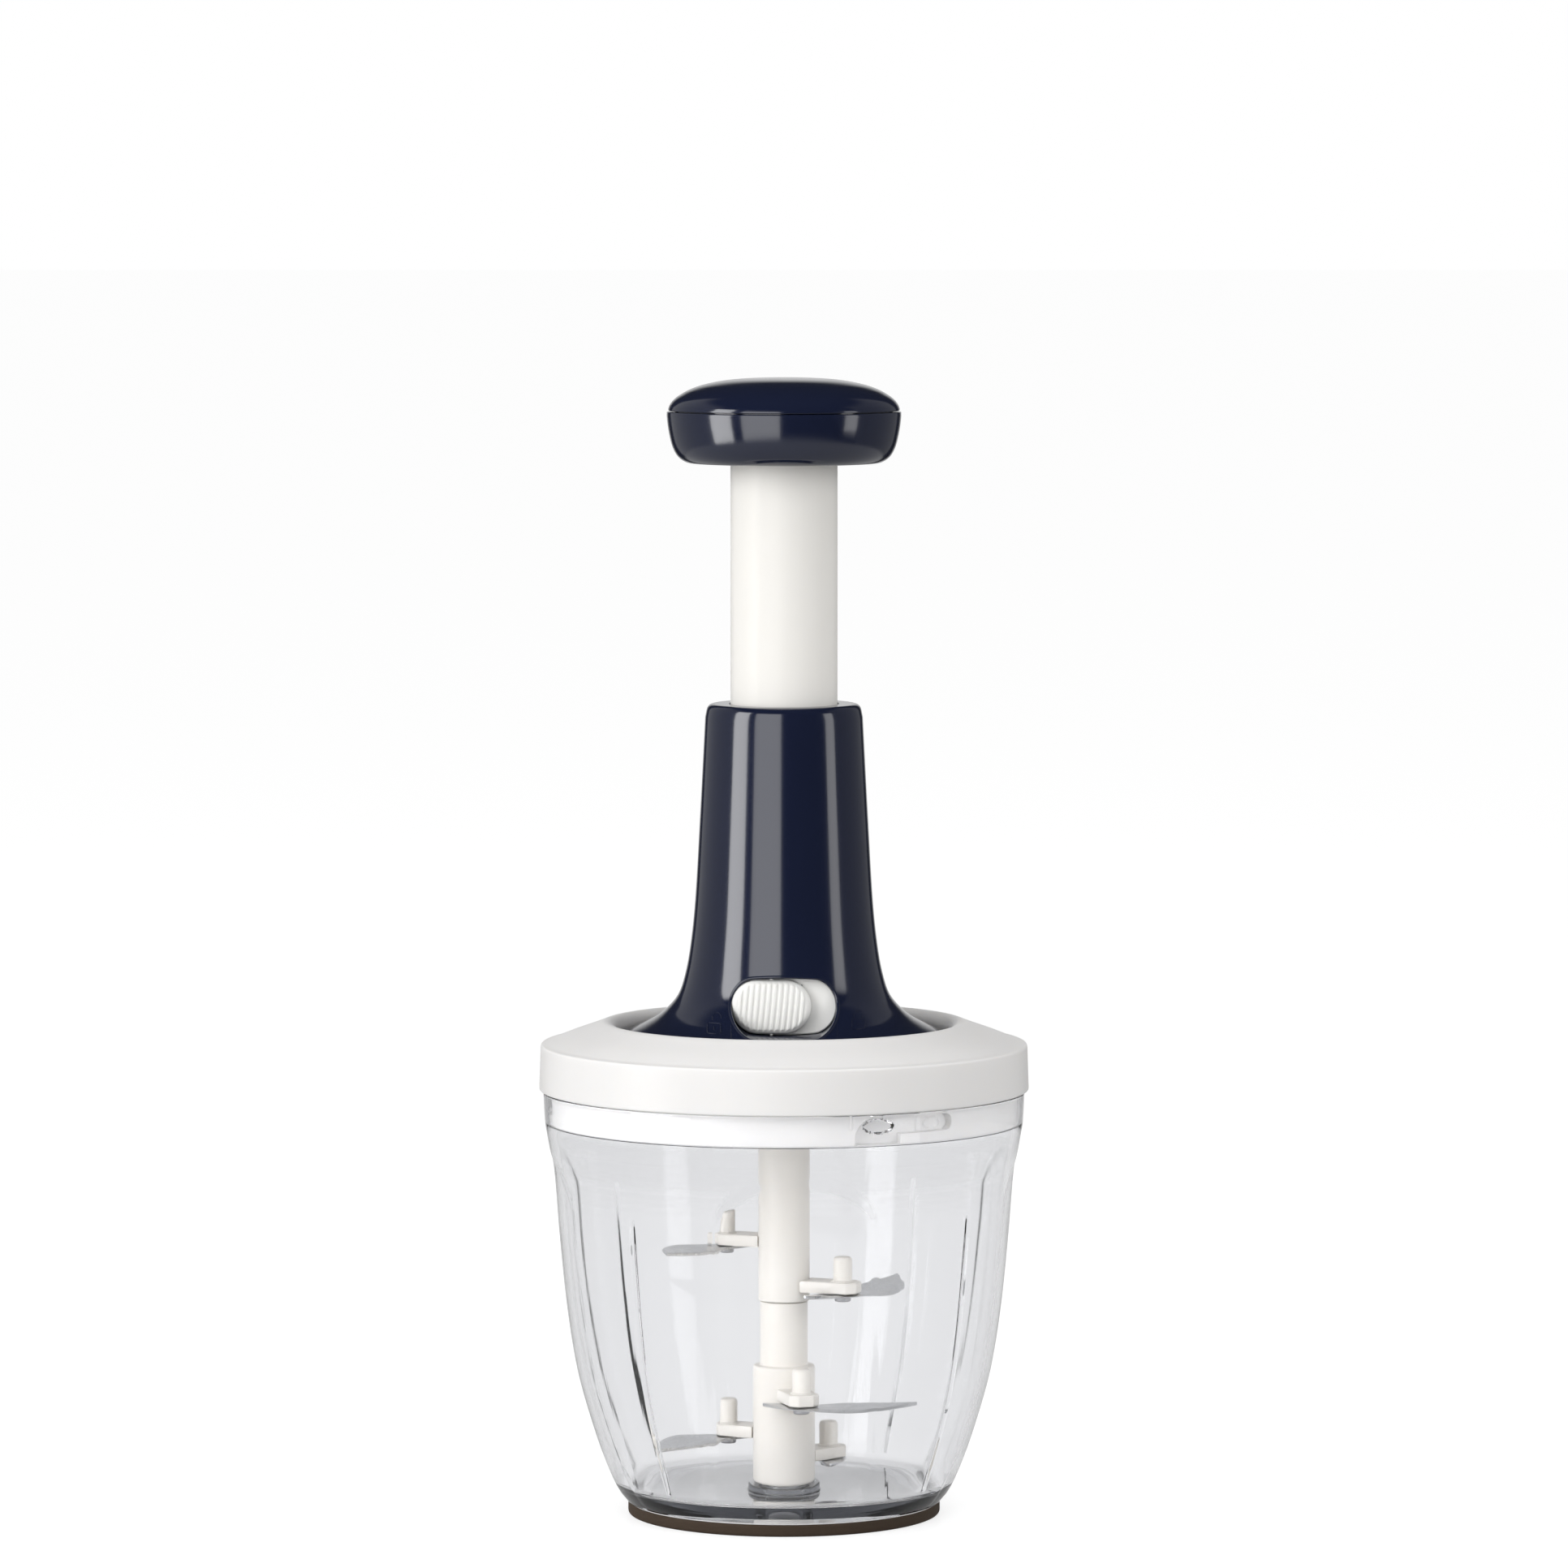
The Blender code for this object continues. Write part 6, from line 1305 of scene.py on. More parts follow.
    def make(self) -> None:
        """Make the lid as one closed shell."""
        angles = self.angles()
        skirt, outside, inside = self.outline()
        grids = [turned(skirt, angles, self.track(angles, skirt) + self.relief(angles, skirt)),
                 turned(outside, angles, self.key_shift(angles, outside)),
                 turned(inside, angles)]
        sheet = Sheet(np.concatenate(grids, axis=1), True, True)
        self.shop.piece("lid_shell", [sheet], "lid", Body.LID, ["lid"], sharp=34)


# Pump
@dataclass
class Pump:
    """Navy housing with its lock window, embossed padlocks, two-part base and drive shaft."""

    shop: Shop
    outline_shares: Pairs = (
        (0.180, 0.996), (0.184, 0.985), (0.190, 0.968), (0.201, 0.925), (0.217, 0.844),
        (0.2325, 0.776), (0.252, 0.718), (0.285, 0.652), (0.330, 0.612), (0.400, 0.578),
        (0.520, 0.546), (0.730, 0.5154), (0.968, 0.484))
    wall: float = 2.4 * MM
    lip_depth: float = 2.6 * MM
    lip_round: float = 3.6 * MM
    lip_share: float = 0.468
    opening: float = 17.4 * MM
    seam_round: float = 0.5 * MM
    cover_round: float = 4.2 * MM
    cover_height: float = 13.7 * MM
    window_length: float = 33.8 * MM
    window_height: float = 18.8 * MM
    window_lift: float = 36.0 * MM
    window_bead: float = 0.55 * MM
    bead_set: float = 0.28 * MM
    sleeve_play: float = 0.2 * MM
    sleeve_wall: float = 1.2 * MM
    sleeve_set: float = 0.5 * MM
    guide_face: float = 20.2 * MM
    notch_half: float = 5.5 * MM
    notch_height: float = 5.6 * MM
    notch_depth: float = 2.0 * MM
    emboss: float = 0.17 * MM
    padlock_open: Pair = (-22.0 * MM, -6.0 * MM)
    padlock_closed: Pair = (23.3 * MM, -4.9 * MM)
    thumb_half: float = 16.6 * MM
    thumb_lift: float = 25.6 * MM
    thumb_set: float = 0.06 * MM
    thumb_line: float = 0.14 * MM
    cover_bore: float = 7.3 * MM
    cover_floor: float = 2.5 * MM
    drive_half: float = 3.2 * MM
    drive_radii: tuple[float, float, float] = (4.7 * MM, 3.9 * MM, 3.0 * MM)
    collar_height: float = 4.7 * MM
    tip_height: float = 1.4 * MM

    def __post_init__(self) -> None:
        """Read the heights and the base's radius from the frame."""
        low, high = self.shop.span("base_cover")
        self.base_z, self.radius = low.z, high.x
        low, high = self.shop.span("housing")
        self.seam_z, self.top_z = low.z, high.z
        self.height = self.top_z - self.base_z
        self.window_z = self.base_z + self.window_lift

    def flare(self) -> Array:
        """Outer face from the base's shoulder to the lip: a spline through the shares."""
        points = [(r * self.radius, self.base_z + z * self.height)
                  for z, r in self.outline_shares]
        return spline(points, 7)

    def surface_radius(self, z: Array | float) -> Array:
        """Outer radius of the flare at a height."""
        curve = self.flare()
        return np.interp(z, curve[:, 1], curve[:, 0])

    def on_face(self, flat: Array, middle: Pair, lift: float = 0.0) -> Array:
        """Flat points round a middle, laid on the front of the flare or a little above it."""
        x, z = flat[:, 0] + middle[0], flat[:, 1] + middle[1]
        radius = self.surface_radius(z) + lift
        return np.stack([x, -np.sqrt(np.maximum(radius ** 2 - x ** 2, 0)), z], -1)

    def housing(self) -> None:
        """Housing shell with its window, and the bead that rims the window."""
        flare = self.flare()
        tip = tuple(flare[-1])
        lip = rounded([tip, (self.lip_share * self.radius, self.top_z, self.lip_round),
                       (self.opening, self.top_z, 0.4 * MM),
                       (self.opening, self.top_z - self.lip_depth)], 8)
        step = flare[2:] - flare[:-2]
        normal = np.column_stack([step[:, 1], -step[:, 0]])
        normal /= np.linalg.norm(normal, axis=1, keepdims=True)
        inner = (flare[1:-1] - normal * self.wall)[::-6]
        inner = inner[inner[:, 1] < self.top_z - self.lip_depth - 2 * MM]
        inner = inner[inner[:, 0] < self.radius - self.wall]
        base = moulded([
            (self.radius - self.wall, self.seam_z), (self.radius, self.seam_z, self.seam_round),
            (self.radius, flare[0][1] - 0.2 * MM, 1.0 * MM), tuple(flare[0])], 4 * MM)
        outline = np.concatenate([
            base, flare[1:], supported(lip[1:], SUPPORT, 3 * MM),
            [(inner[0][0], self.top_z - self.lip_depth)], inner,
            [(self.radius - self.wall, inner[-1][1] - 1 * MM)]])
        flat = obround(self.window_length, self.window_height, 96)
        depth = np.array([-self.guide_face, -self.radius - 4 * MM])
        rings = [np.column_stack([flat[:, 0], np.full(96, y), flat[:, 1] + self.window_z])
                 for y in depth]
        middles = [np.broadcast_to(ring.mean(0), ring.shape) for ring in rings]
        cutter = Sheet(np.stack([middles[0], rings[0], rings[1], middles[1]], 1))
        self.shop.lathe("housing_shell", outline, 200, "navy", Body.PUMP, ["housing"], True,
                        cutters=[cutter], sharp=30)
        self.window_sleeve()
        bead_flat = obround(self.window_length + 0.3 * MM, self.window_height + 0.3 * MM, 120)
        path = self.on_face(bead_flat, (0, self.window_z), -self.bead_set)
        self.shop.piece("window_bead", [tube(path, self.window_bead, 10, True)], "navy",
                        Body.PUMP)

    def window_sleeve(self) -> None:
        """Wall round the window, from just below the flare's face back to the lock's guide."""
        inner, outer = (obround(self.window_length + grow, self.window_height + grow, 120)
                        for grow in (-self.sleeve_play, 2 * self.sleeve_wall))
        rings = []
        for flat in (inner, outer):
            front = self.on_face(flat, (0, self.window_z), -self.sleeve_set)
            back = front.copy()
            back[:, 1] = -self.guide_face
            rings += [front, back]
        order = [rings[0], rings[1], rings[3], rings[2]]
        self.shop.piece("window_sleeve", [Sheet(np.stack(order, 1), True, True)], "navy",
                        Body.PUMP)

    def cover(self) -> None:
        """Base cover with rounded foot and four bayonet notches."""
        wall_inner = self.radius - self.wall
        floor = self.base_z + self.cover_floor
        bore, top = self.cover_bore, self.base_z + self.cover_height
        notch_z = self.base_z + self.notch_height
        face = moulded([
            (bore, self.base_z), (self.radius, self.base_z, self.cover_round),
            (self.radius, notch_z - 0.1 * MM), (self.radius, notch_z),
            (self.radius, notch_z + 0.1 * MM), (self.radius, top, self.seam_round),
            (wall_inner, top)], 4 * MM, 10)
        inside = moulded([(wall_inner, top), (wall_inner, floor, 2.4 * MM), (bore, floor)],
                         8 * MM, keep=slice(1, None))
        outline = np.concatenate([face, inside])
        edge = self.notch_half + np.array([0.0, 0.08, 0.16]) * MM
        angles = turn_angles(200, *columns_by(KEY_BEARINGS, -edge, self.radius),
                             *columns_by(KEY_BEARINGS, edge, self.radius))
        r, z = outline[None, :, 0], outline[None, :, 1]
        shift = np.zeros((len(angles), len(outline)))
        for bearing in KEY_BEARINGS:
            offset = np.abs(arc_offset(angles[:, None], bearing, self.radius))
            wanted = np.minimum(0, self.radius - self.notch_depth - r)
            inside_notch = (z < notch_z - 0.05 * MM) & (np.arange(len(outline)) < len(face))
            side = smooth_step((self.notch_half + 0.12 * MM - offset) / (0.12 * MM))
            shift += wanted * side * inside_notch
        self.shop.piece("base_cover_shell", [Sheet(turned(outline, angles, shift), True, True)],
                        "navy", Body.PUMP, ["base_cover"], sharp=30)

    def padlocks(self) -> None:
        """Embossed padlocks, open on the left and closed on the right, and the thumb outline."""
        body = rounded([(0, -1.6), (2.1, -1.6, 0.5), (2.1, 1.2, 0.5), (-2.1, 1.2, 0.5),
                        (-2.1, -1.6, 0.5), (-0.01, -1.6)], 5) * MM
        hole = np.array([(0.0, 0.2), (0.0, -0.7)]) * MM
        turn = np.linspace(0, np.pi, 16)
        arch = np.column_stack([1.35 * np.cos(turn), 2.1 + 1.35 * np.sin(turn)]) * MM
        closed = np.concatenate([[(1.35 * MM, 1.2 * MM)], arch, [(-1.35 * MM, 1.2 * MM)]])
        lifted = np.concatenate([arch + np.array([0.9, 0.7]) * MM,
                                 [(-0.45 * MM, 1.9 * MM)]])
        for name, centre, shackle in (("padlock_open", self.padlock_open, lifted),
                                      ("padlock_closed", self.padlock_closed, closed)):
            middle = (centre[0], self.window_z + centre[1])
            sheets = [tube(self.on_face(flat, middle), self.emboss, 6, flat is body)
                      for flat in (body, shackle, hole)]
            self.shop.piece(name, sheets, "navy", Body.PUMP)
        side, low = self.thumb_half, self.base_z + self.thumb_lift
        outline = rounded([(-side, self.window_z - 5 * MM), (-side, low, 6 * MM),
                           (side, low, 6 * MM), (side, self.window_z - 5 * MM)], 12)
        outline = supported(outline, 0.5 * MM, 1.2 * MM)
        path = self.on_face(outline, (0, 0), -self.thumb_set)
        self.shop.piece("thumb_outline", [tube(path, self.thumb_line, 6)], "navy", Body.PUMP)

    def drive(self) -> None:
        """Square drive shaft with eased edges, round above the base."""
        low, high = self.shop.span("drive_shaft")
        collar, journal, tip = self.drive_radii
        collar_low, collar_top = self.base_z - 0.3 * MM, self.base_z + self.collar_height
        step = high.z - self.tip_height
        bar = square_bar(self.drive_half, 0.9 * MM, 5, low.z, self.base_z + 1.2 * MM, 0.5 * MM)
        outline = rounded([(0, collar_low), (collar, collar_low), (collar, collar_top),
                           (journal, collar_top), (journal, step), (tip, step),
                           (tip, high.z, 0.4 * MM), (0, high.z)])
        sheets = [Sheet(placed(bar.points, SQUARE_BEARING)),
                  Sheet(turned(outline, turn_angles(40)))]
        self.shop.piece("drive_bar", sheets, "navy", Body.DRIVE, ["drive_shaft"])

    def make(self) -> None:
        """Make the pump's shown pieces."""
        self.housing()
        self.cover()
        self.padlocks()
        self.drive()


@dataclass
class Lock:
    """White plate whose pad fills the window, and the ribbed slide button in front of it."""

    shop: Shop
    corner_power: float = 8.0
    pad_length: float = 33.2 * MM
    pad_height: float = 18.2 * MM
    pad_face: float = 27.2 * MM
    pad_edge: float = 0.35 * MM
    pad_skin: float = 1.5 * MM
    stem_half: float = 1.5 * MM
    gap: float = 0.3 * MM
    travel: float = 8.0 * MM
    length: float = 25.2 * MM
    height: float = 17.2 * MM
    edge: float = 1.7 * MM
    crown: float = 0.7 * MM
    lean: float = 0.7 * MM
    rib_count: int = 12
    rib_pitch: float = 1.8 * MM
    rib_height: float = 0.36 * MM
    rib_slant: float = 0.07
    rib_bow: float = 0.5 * MM
    nub_radius: float = 0.5 * MM

    def __post_init__(self) -> None:
        """Read the bolt's corners and its middle height from the frame."""
        self.bolt_low, self.bolt_high = self.shop.span("lock_bolt")
        self.level = (self.bolt_low.z + self.bolt_high.z) / 2

    @staticmethod
    def bar(x_ends: Pair, y_ends: Pair, z_ends: Pair) -> Sheet:
        """Square block between given ends, as a slab of a rectangle."""
        (left, right), (front, back) = x_ends, y_ends
        flat = rounded([(left, back), (left, front), (right, front), (right, back),
                        (left + 0.1 * MM, back)])
        return slab(flat, *z_ends, 0.01 * MM)

    def plate(self) -> None:
        """Plate behind the wall with its raised pad, slotted for the bolt.

        The plate's outline is a superellipse, whose x and z are powers of the cosine and the
        sine, and the pad's is a stadium; rings at rising depths join them point by point.
        """
        low, high = self.shop.span("lock_guide")
        middle = (low + high) / 2
        count = 120
        angle = np.linspace(0, 2 * np.pi, count, endpoint=False)
        turn = np.stack([np.cos(angle), np.sin(angle)], -1)
        half = np.array([high.x - low.x, high.z - low.z]) / 2
        outer = half * np.sign(turn) * np.abs(turn) ** (2 / self.corner_power)
        pad = obround(self.pad_length, self.pad_height, count)
        eased = obround(self.pad_length - 2 * self.pad_edge, self.pad_height - 2 * self.pad_edge,
                        count)
        levels = [(0 * pad, high.y), (outer, high.y), (outer, low.y), (pad, low.y),
                  (pad, self.pad_edge - self.pad_face), (eased, -self.pad_face),
                  (0 * pad, -self.pad_face)]
        rings = [np.column_stack([flat[:, 0] + middle.x, np.full(count, y),
                                  flat[:, 1] + middle.z]) for flat, y in levels]
        button_low, button_high = self.shop.span("lock_button")
        stem = ((button_low + button_high) / 2).x
        past = self.travel + self.gap
        room = self.bar((self.bolt_low.x - self.gap, stem + self.stem_half + past),
                        (self.pad_skin - self.pad_face, high.y + 1 * MM),
                        (self.bolt_low.z - self.gap, self.bolt_high.z + self.gap))
        slot = self.bar((stem - self.stem_half - self.gap, stem + self.stem_half + past),
                        (-self.pad_face - 1 * MM, self.pad_skin - self.pad_face + 1 * MM),
                        (self.level - self.stem_half - self.gap,
                         self.level + self.stem_half + self.gap))
        self.shop.piece("lock_plate", [Sheet(np.stack(rings, 1))], "lock", Body.PUMP,
                        ["lock_guide"], [room, slot])

    def button_face(self, x: Array, z: Array, front: float) -> Array:
        """Depth of the button's face at offsets from its middle.

        The face falls on a quarter circle within the edge, is crowned by a cosine, leans back
        towards its top and carries ridges of raised-cosine section that lean and bow.
        """
        radius = self.height / 2
        past = np.maximum(np.abs(x) - (self.length / 2 - radius), 0)
        inwards = radius - np.hypot(past, z)
        share = np.clip(inwards / self.edge, 0, 1)
        base = front - self.rib_height - self.crown
        shoulder = base - self.edge + self.edge * np.sqrt(1 - (1 - share) ** 2)
        away = np.hypot(x / self.length * 2, z / radius)
        dome = self.crown * np.cos(np.pi / 2 * np.clip(away, 0, 1)) ** 0.7
        along = x - self.rib_slant * z + self.rib_bow * ((radius - z) / self.height) ** 2
        ridge = np.clip(0.62 - np.cos(2 * np.pi * along / self.rib_pitch), 0, 1)
        within = (smooth_step((self.rib_count / 2 * self.rib_pitch - np.abs(along)) / (0.3 * MM))
                  * smooth_step((inwards - 0.8 * MM) / (0.8 * MM)))
        return (shoulder + dome + self.rib_height * ridge * within
                - self.lean * (z + radius) / self.height)

    def button(self) -> None:
        """Button as a height field over a stadium, with two nubs and the stem of its bolt."""
        low, high = self.shop.span("lock_button")
        centre = (low + high) / 2
        radius = self.height / 2
        reach = self.length / 2 - radius
        end = reach + radius * np.sin(np.linspace(0, np.pi / 2, 80))
        x = np.concatenate([-end[::-1][:-1], np.linspace(-reach, reach, 60), end[1:]])
        past = np.maximum(np.abs(x) - reach, 0)
        half = np.sqrt(np.maximum(radius ** 2 - past ** 2, 0))
        across = np.sin(np.linspace(-np.pi / 2, np.pi / 2, 71))
        z = half[:, None] * across[None, :]
        wide = np.broadcast_to(x[:, None], z.shape)
        face = np.stack([wide, -self.button_face(wide, z, -low.y), z], -1)
        rear = face[:, [0, -1]].copy()
        rear[..., 1] = -self.pad_face - self.gap
        middle = rear.mean(1, keepdims=True)
        grid = np.concatenate([middle, rear[:, :1], face, rear[:, 1:], middle], 1)
        grid = grid + np.array([centre.x, 0, centre.z])
        depths = np.array([-self.pad_face - 1.6 * MM, -self.pad_face - self.gap])
        nubs = [np.column_stack([np.full(2, centre.x), depths, np.full(2, centre.z + rise)])
                for rise in (-radius, radius)]
        behind = self.pad_skin - self.pad_face + self.gap
        stem = self.bar((centre.x - self.stem_half, centre.x + self.stem_half),
                        (-self.pad_face - 1.2 * MM, behind + 0.2 * MM),
                        (self.level - self.stem_half, self.level + self.stem_half))
        bridge = self.bar((self.bolt_low.x + self.gap, centre.x + self.stem_half),
                          (behind, self.bolt_low.y - 0.05 * MM),
                          (self.bolt_low.z + self.gap, self.bolt_high.z - self.gap))
        self.shop.piece("lock_slider", [Sheet(grid, False), stem, bridge,
                                        *(tube(path, self.nub_radius, 12) for path in nubs)],
                        "lock", Body.LOCK, ["lock_button"], sharp=50)

    def make(self) -> None:
        """Make the plate and the button."""
        self.plate()
        self.button()


@dataclass
class Plunger:
    """Mushroom knob in two halves on its white tube."""

    shop: Shop
    cap_shares: Pairs = (
        (0.625, 0.990), (0.680, 0.975), (0.742, 0.940), (0.800, 0.884), (0.862, 0.800),
        (0.918, 0.680), (0.965, 0.505), (0.990, 0.290), (1.000, 0.000))
    base_shares: Pairs = (
        (0.585, 1.000), (0.540, 1.000), (0.406, 0.989), (0.235, 0.963), (0.128, 0.932),
        (0.060, 0.895), (0.014, 0.845), (0.000, 0.800), (0.012, 0.750))
    wall: float = 2.3 * MM
    seam_round: float = 0.45 * MM
    seam_overlap: float = 3.0 * MM
    hollow_radius: float = 25.6 * MM
    hollow_depth: float = 8.0 * MM
    hub_radius: float = 19.7 * MM
    socket_radius: float = 17.3 * MM
    tube_radius: float = 17.0 * MM
    tube_wall: float = 2.0 * MM
    slot_depths: Pair = (-20 * MM, -11.4 * MM)
    bolt_play: float = 1.2 * MM
    bolt_travel: float = 8.6 * MM
    flange_step: float = 1.0 * MM
    flange_height: float = 3.0 * MM

    def __post_init__(self) -> None:
        """Read the knob's heights and radius from the frame."""
        low, high = self.shop.span("knob_base")
        self.low_z, self.seam_z, self.radius = low.z, high.z, high.x
        self.top_z = self.shop.span("knob_cap")[1].z
        self.height = self.top_z - self.low_z

    def curve(self, shares: Pairs) -> Array:
        """Spline through (height share, radius share) pairs."""
        return spline([(r * self.radius, self.low_z + z * self.height) for z, r in shares], 8)

    def cap(self) -> None:
        """Domed top, closed below by its inner face."""
        dome = self.curve(self.cap_shares)
        ring_x = self.radius - self.wall - 0.3 * MM
        inner_x = self.radius - self.wall - 1.9 * MM
        ring_low = self.shop.span("knob_cap")[0].z + 0.01 * MM
        seam = self.shop.span("knob_cap")[0].z + self.seam_overlap
        edge = rounded([(self.radius - 3 * MM, seam), (dome[0][0] - 0.1 * MM, seam,
                                                       self.seam_round), tuple(dome[1])], 5)
        ring = [(ring_x, ring_low), (ring_x, seam)]
        inner = [(0, self.top_z - self.wall),
                 (self.radius * 0.5, self.top_z - self.wall - 1.2 * MM),
                 (self.radius * 0.82, self.top_z - 3 * self.wall),
                 (inner_x, seam + 0.5 * MM), (inner_x, ring_low)]
        outline = np.concatenate([inner, ring, edge[1:], dome[2:]])
        self.shop.lathe("knob_dome", outline, 144, "navy", Body.PLUNGER, ["knob_cap"], sharp=30)

    def base(self) -> None:
        """Lower half: rolled rim, hollow underside and the hub round the tube."""
        skin = self.curve(self.base_shares)
        hollow_z = self.low_z + self.hollow_depth
        web_z = self.shop.span("plunger_tube")[1].z + 0.3 * MM
        inner_x = self.radius - self.wall
        outline = np.concatenate([
            rounded([(2.3 * MM, web_z), (2.3 * MM, web_z + 2 * MM),
                     (self.hub_radius, web_z + 2 * MM), (self.hub_radius, hollow_z + 2 * MM),
                     (inner_x - 2.3 * MM, hollow_z + 2 * MM, 1 * MM),
                     (inner_x, hollow_z + 4.4 * MM), (inner_x, self.seam_z),
                     (self.radius, self.seam_z, self.seam_round), tuple(skin[3])]),
            skin[4:],
            moulded([tuple(skin[-1]), (self.hollow_radius, self.low_z + 2 * MM, 0.8 * MM),
                     (self.hollow_radius, hollow_z, 1.2 * MM),
                     (self.hub_radius, hollow_z, 0.8 * MM),
                     (self.hub_radius, self.low_z + 2.3 * MM, 0.6 * MM),
                     (self.socket_radius, self.low_z + 2.3 * MM, 0.3 * MM),
                     (self.socket_radius, web_z), (2.4 * MM, web_z)], 5 * MM,
                    keep=slice(1, None))])
        self.shop.lathe("knob_skirt", outline, 144, "navy", Body.PLUNGER, ["knob_base"], True,
                        sharp=30)

    def tube(self) -> None:
        """White tube with its stop flange and the slot for the lock bolt."""
        low, high = self.shop.span("plunger_tube")
        bore = self.tube_radius - self.tube_wall
        flange_top = low.z + self.flange_height
        outline = moulded([
            (bore, low.z + 1 * MM), (bore, high.z, 0.3 * MM), (self.tube_radius, high.z, 0.4 * MM),
            (self.tube_radius, flange_top), (self.tube_radius + self.flange_step, flange_top),
            (self.tube_radius + self.flange_step, low.z), (bore, low.z)], 8 * MM)
        slot_low, slot_high = self.slot_corners()
        front, back = self.slot_depths
        flat = rounded([(slot_low.x, -14.9 * MM), (slot_low.x, front), (slot_high.x, front),
                        (slot_high.x, back), (slot_low.x, back), (slot_low.x, -14.8 * MM)])
        cutter = slab(flat, slot_low.z, slot_high.z, 0.01 * MM)
        self.shop.lathe("tube_body", outline, 128, "white", Body.PLUNGER, ["plunger_tube"], True,
                        cutters=[cutter])

    def slot_corners(self) -> tuple[Vector, Vector]:
        """Room that the bolt needs in the pressed tube, at the tube's rest height."""
        low, high = self.shop.span("lock_bolt")
        stroke = self.shop.stroke()
        return (Vector((-self.tube_radius, 0, low.z + stroke - self.bolt_play)),
                Vector((high.x + self.bolt_travel, 0, high.z + stroke + self.bolt_play)))

    def make(self) -> None:
        """Make the knob and the tube."""
        self.cap()
        self.base()
        self.tube()


# Return spring
@dataclass
class ReturnSpring:
    """Round-wire spring inside the tube."""

    shop: Shop
    wire: float = 1.3 * MM
    turns: int = 12
    dead_turns: float = 1.0
    dead_pitch: float = 2.1 * MM
    steps: int = 32

    def make(self) -> None:
        """Coil the wire.

        The rise is even over the live turns, and one turn at either end is closed up.
        """
        low, high = self.shop.span("return_spring")
        turn = np.linspace(0, self.turns, self.turns * self.steps + 1)
        live = self.turns - 2 * self.dead_turns
        bottom, top = low.z + self.wire / 2, high.z - self.wire / 2
        live_rise = top - bottom - 2 * self.dead_turns * self.dead_pitch
        closed = (np.minimum(turn, self.dead_turns)
                  + np.maximum(turn - self.dead_turns - live, 0))
        rising = np.clip(turn - self.dead_turns, 0, live)
        radius = high.x - self.wire / 2
        path = np.column_stack([radius * np.cos(2 * np.pi * turn),
                                radius * np.sin(2 * np.pi * turn),
                                bottom + closed * self.dead_pitch + rising / live * live_rise])
        coil = self.shop.piece("return_coil", [tube(path, self.wire / 2, 10)], "rod", Body.PUMP,
                               ["return_spring"])
        span = high.z - low.z
        (span - self.shop.stroke()) / span
        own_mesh(coil)


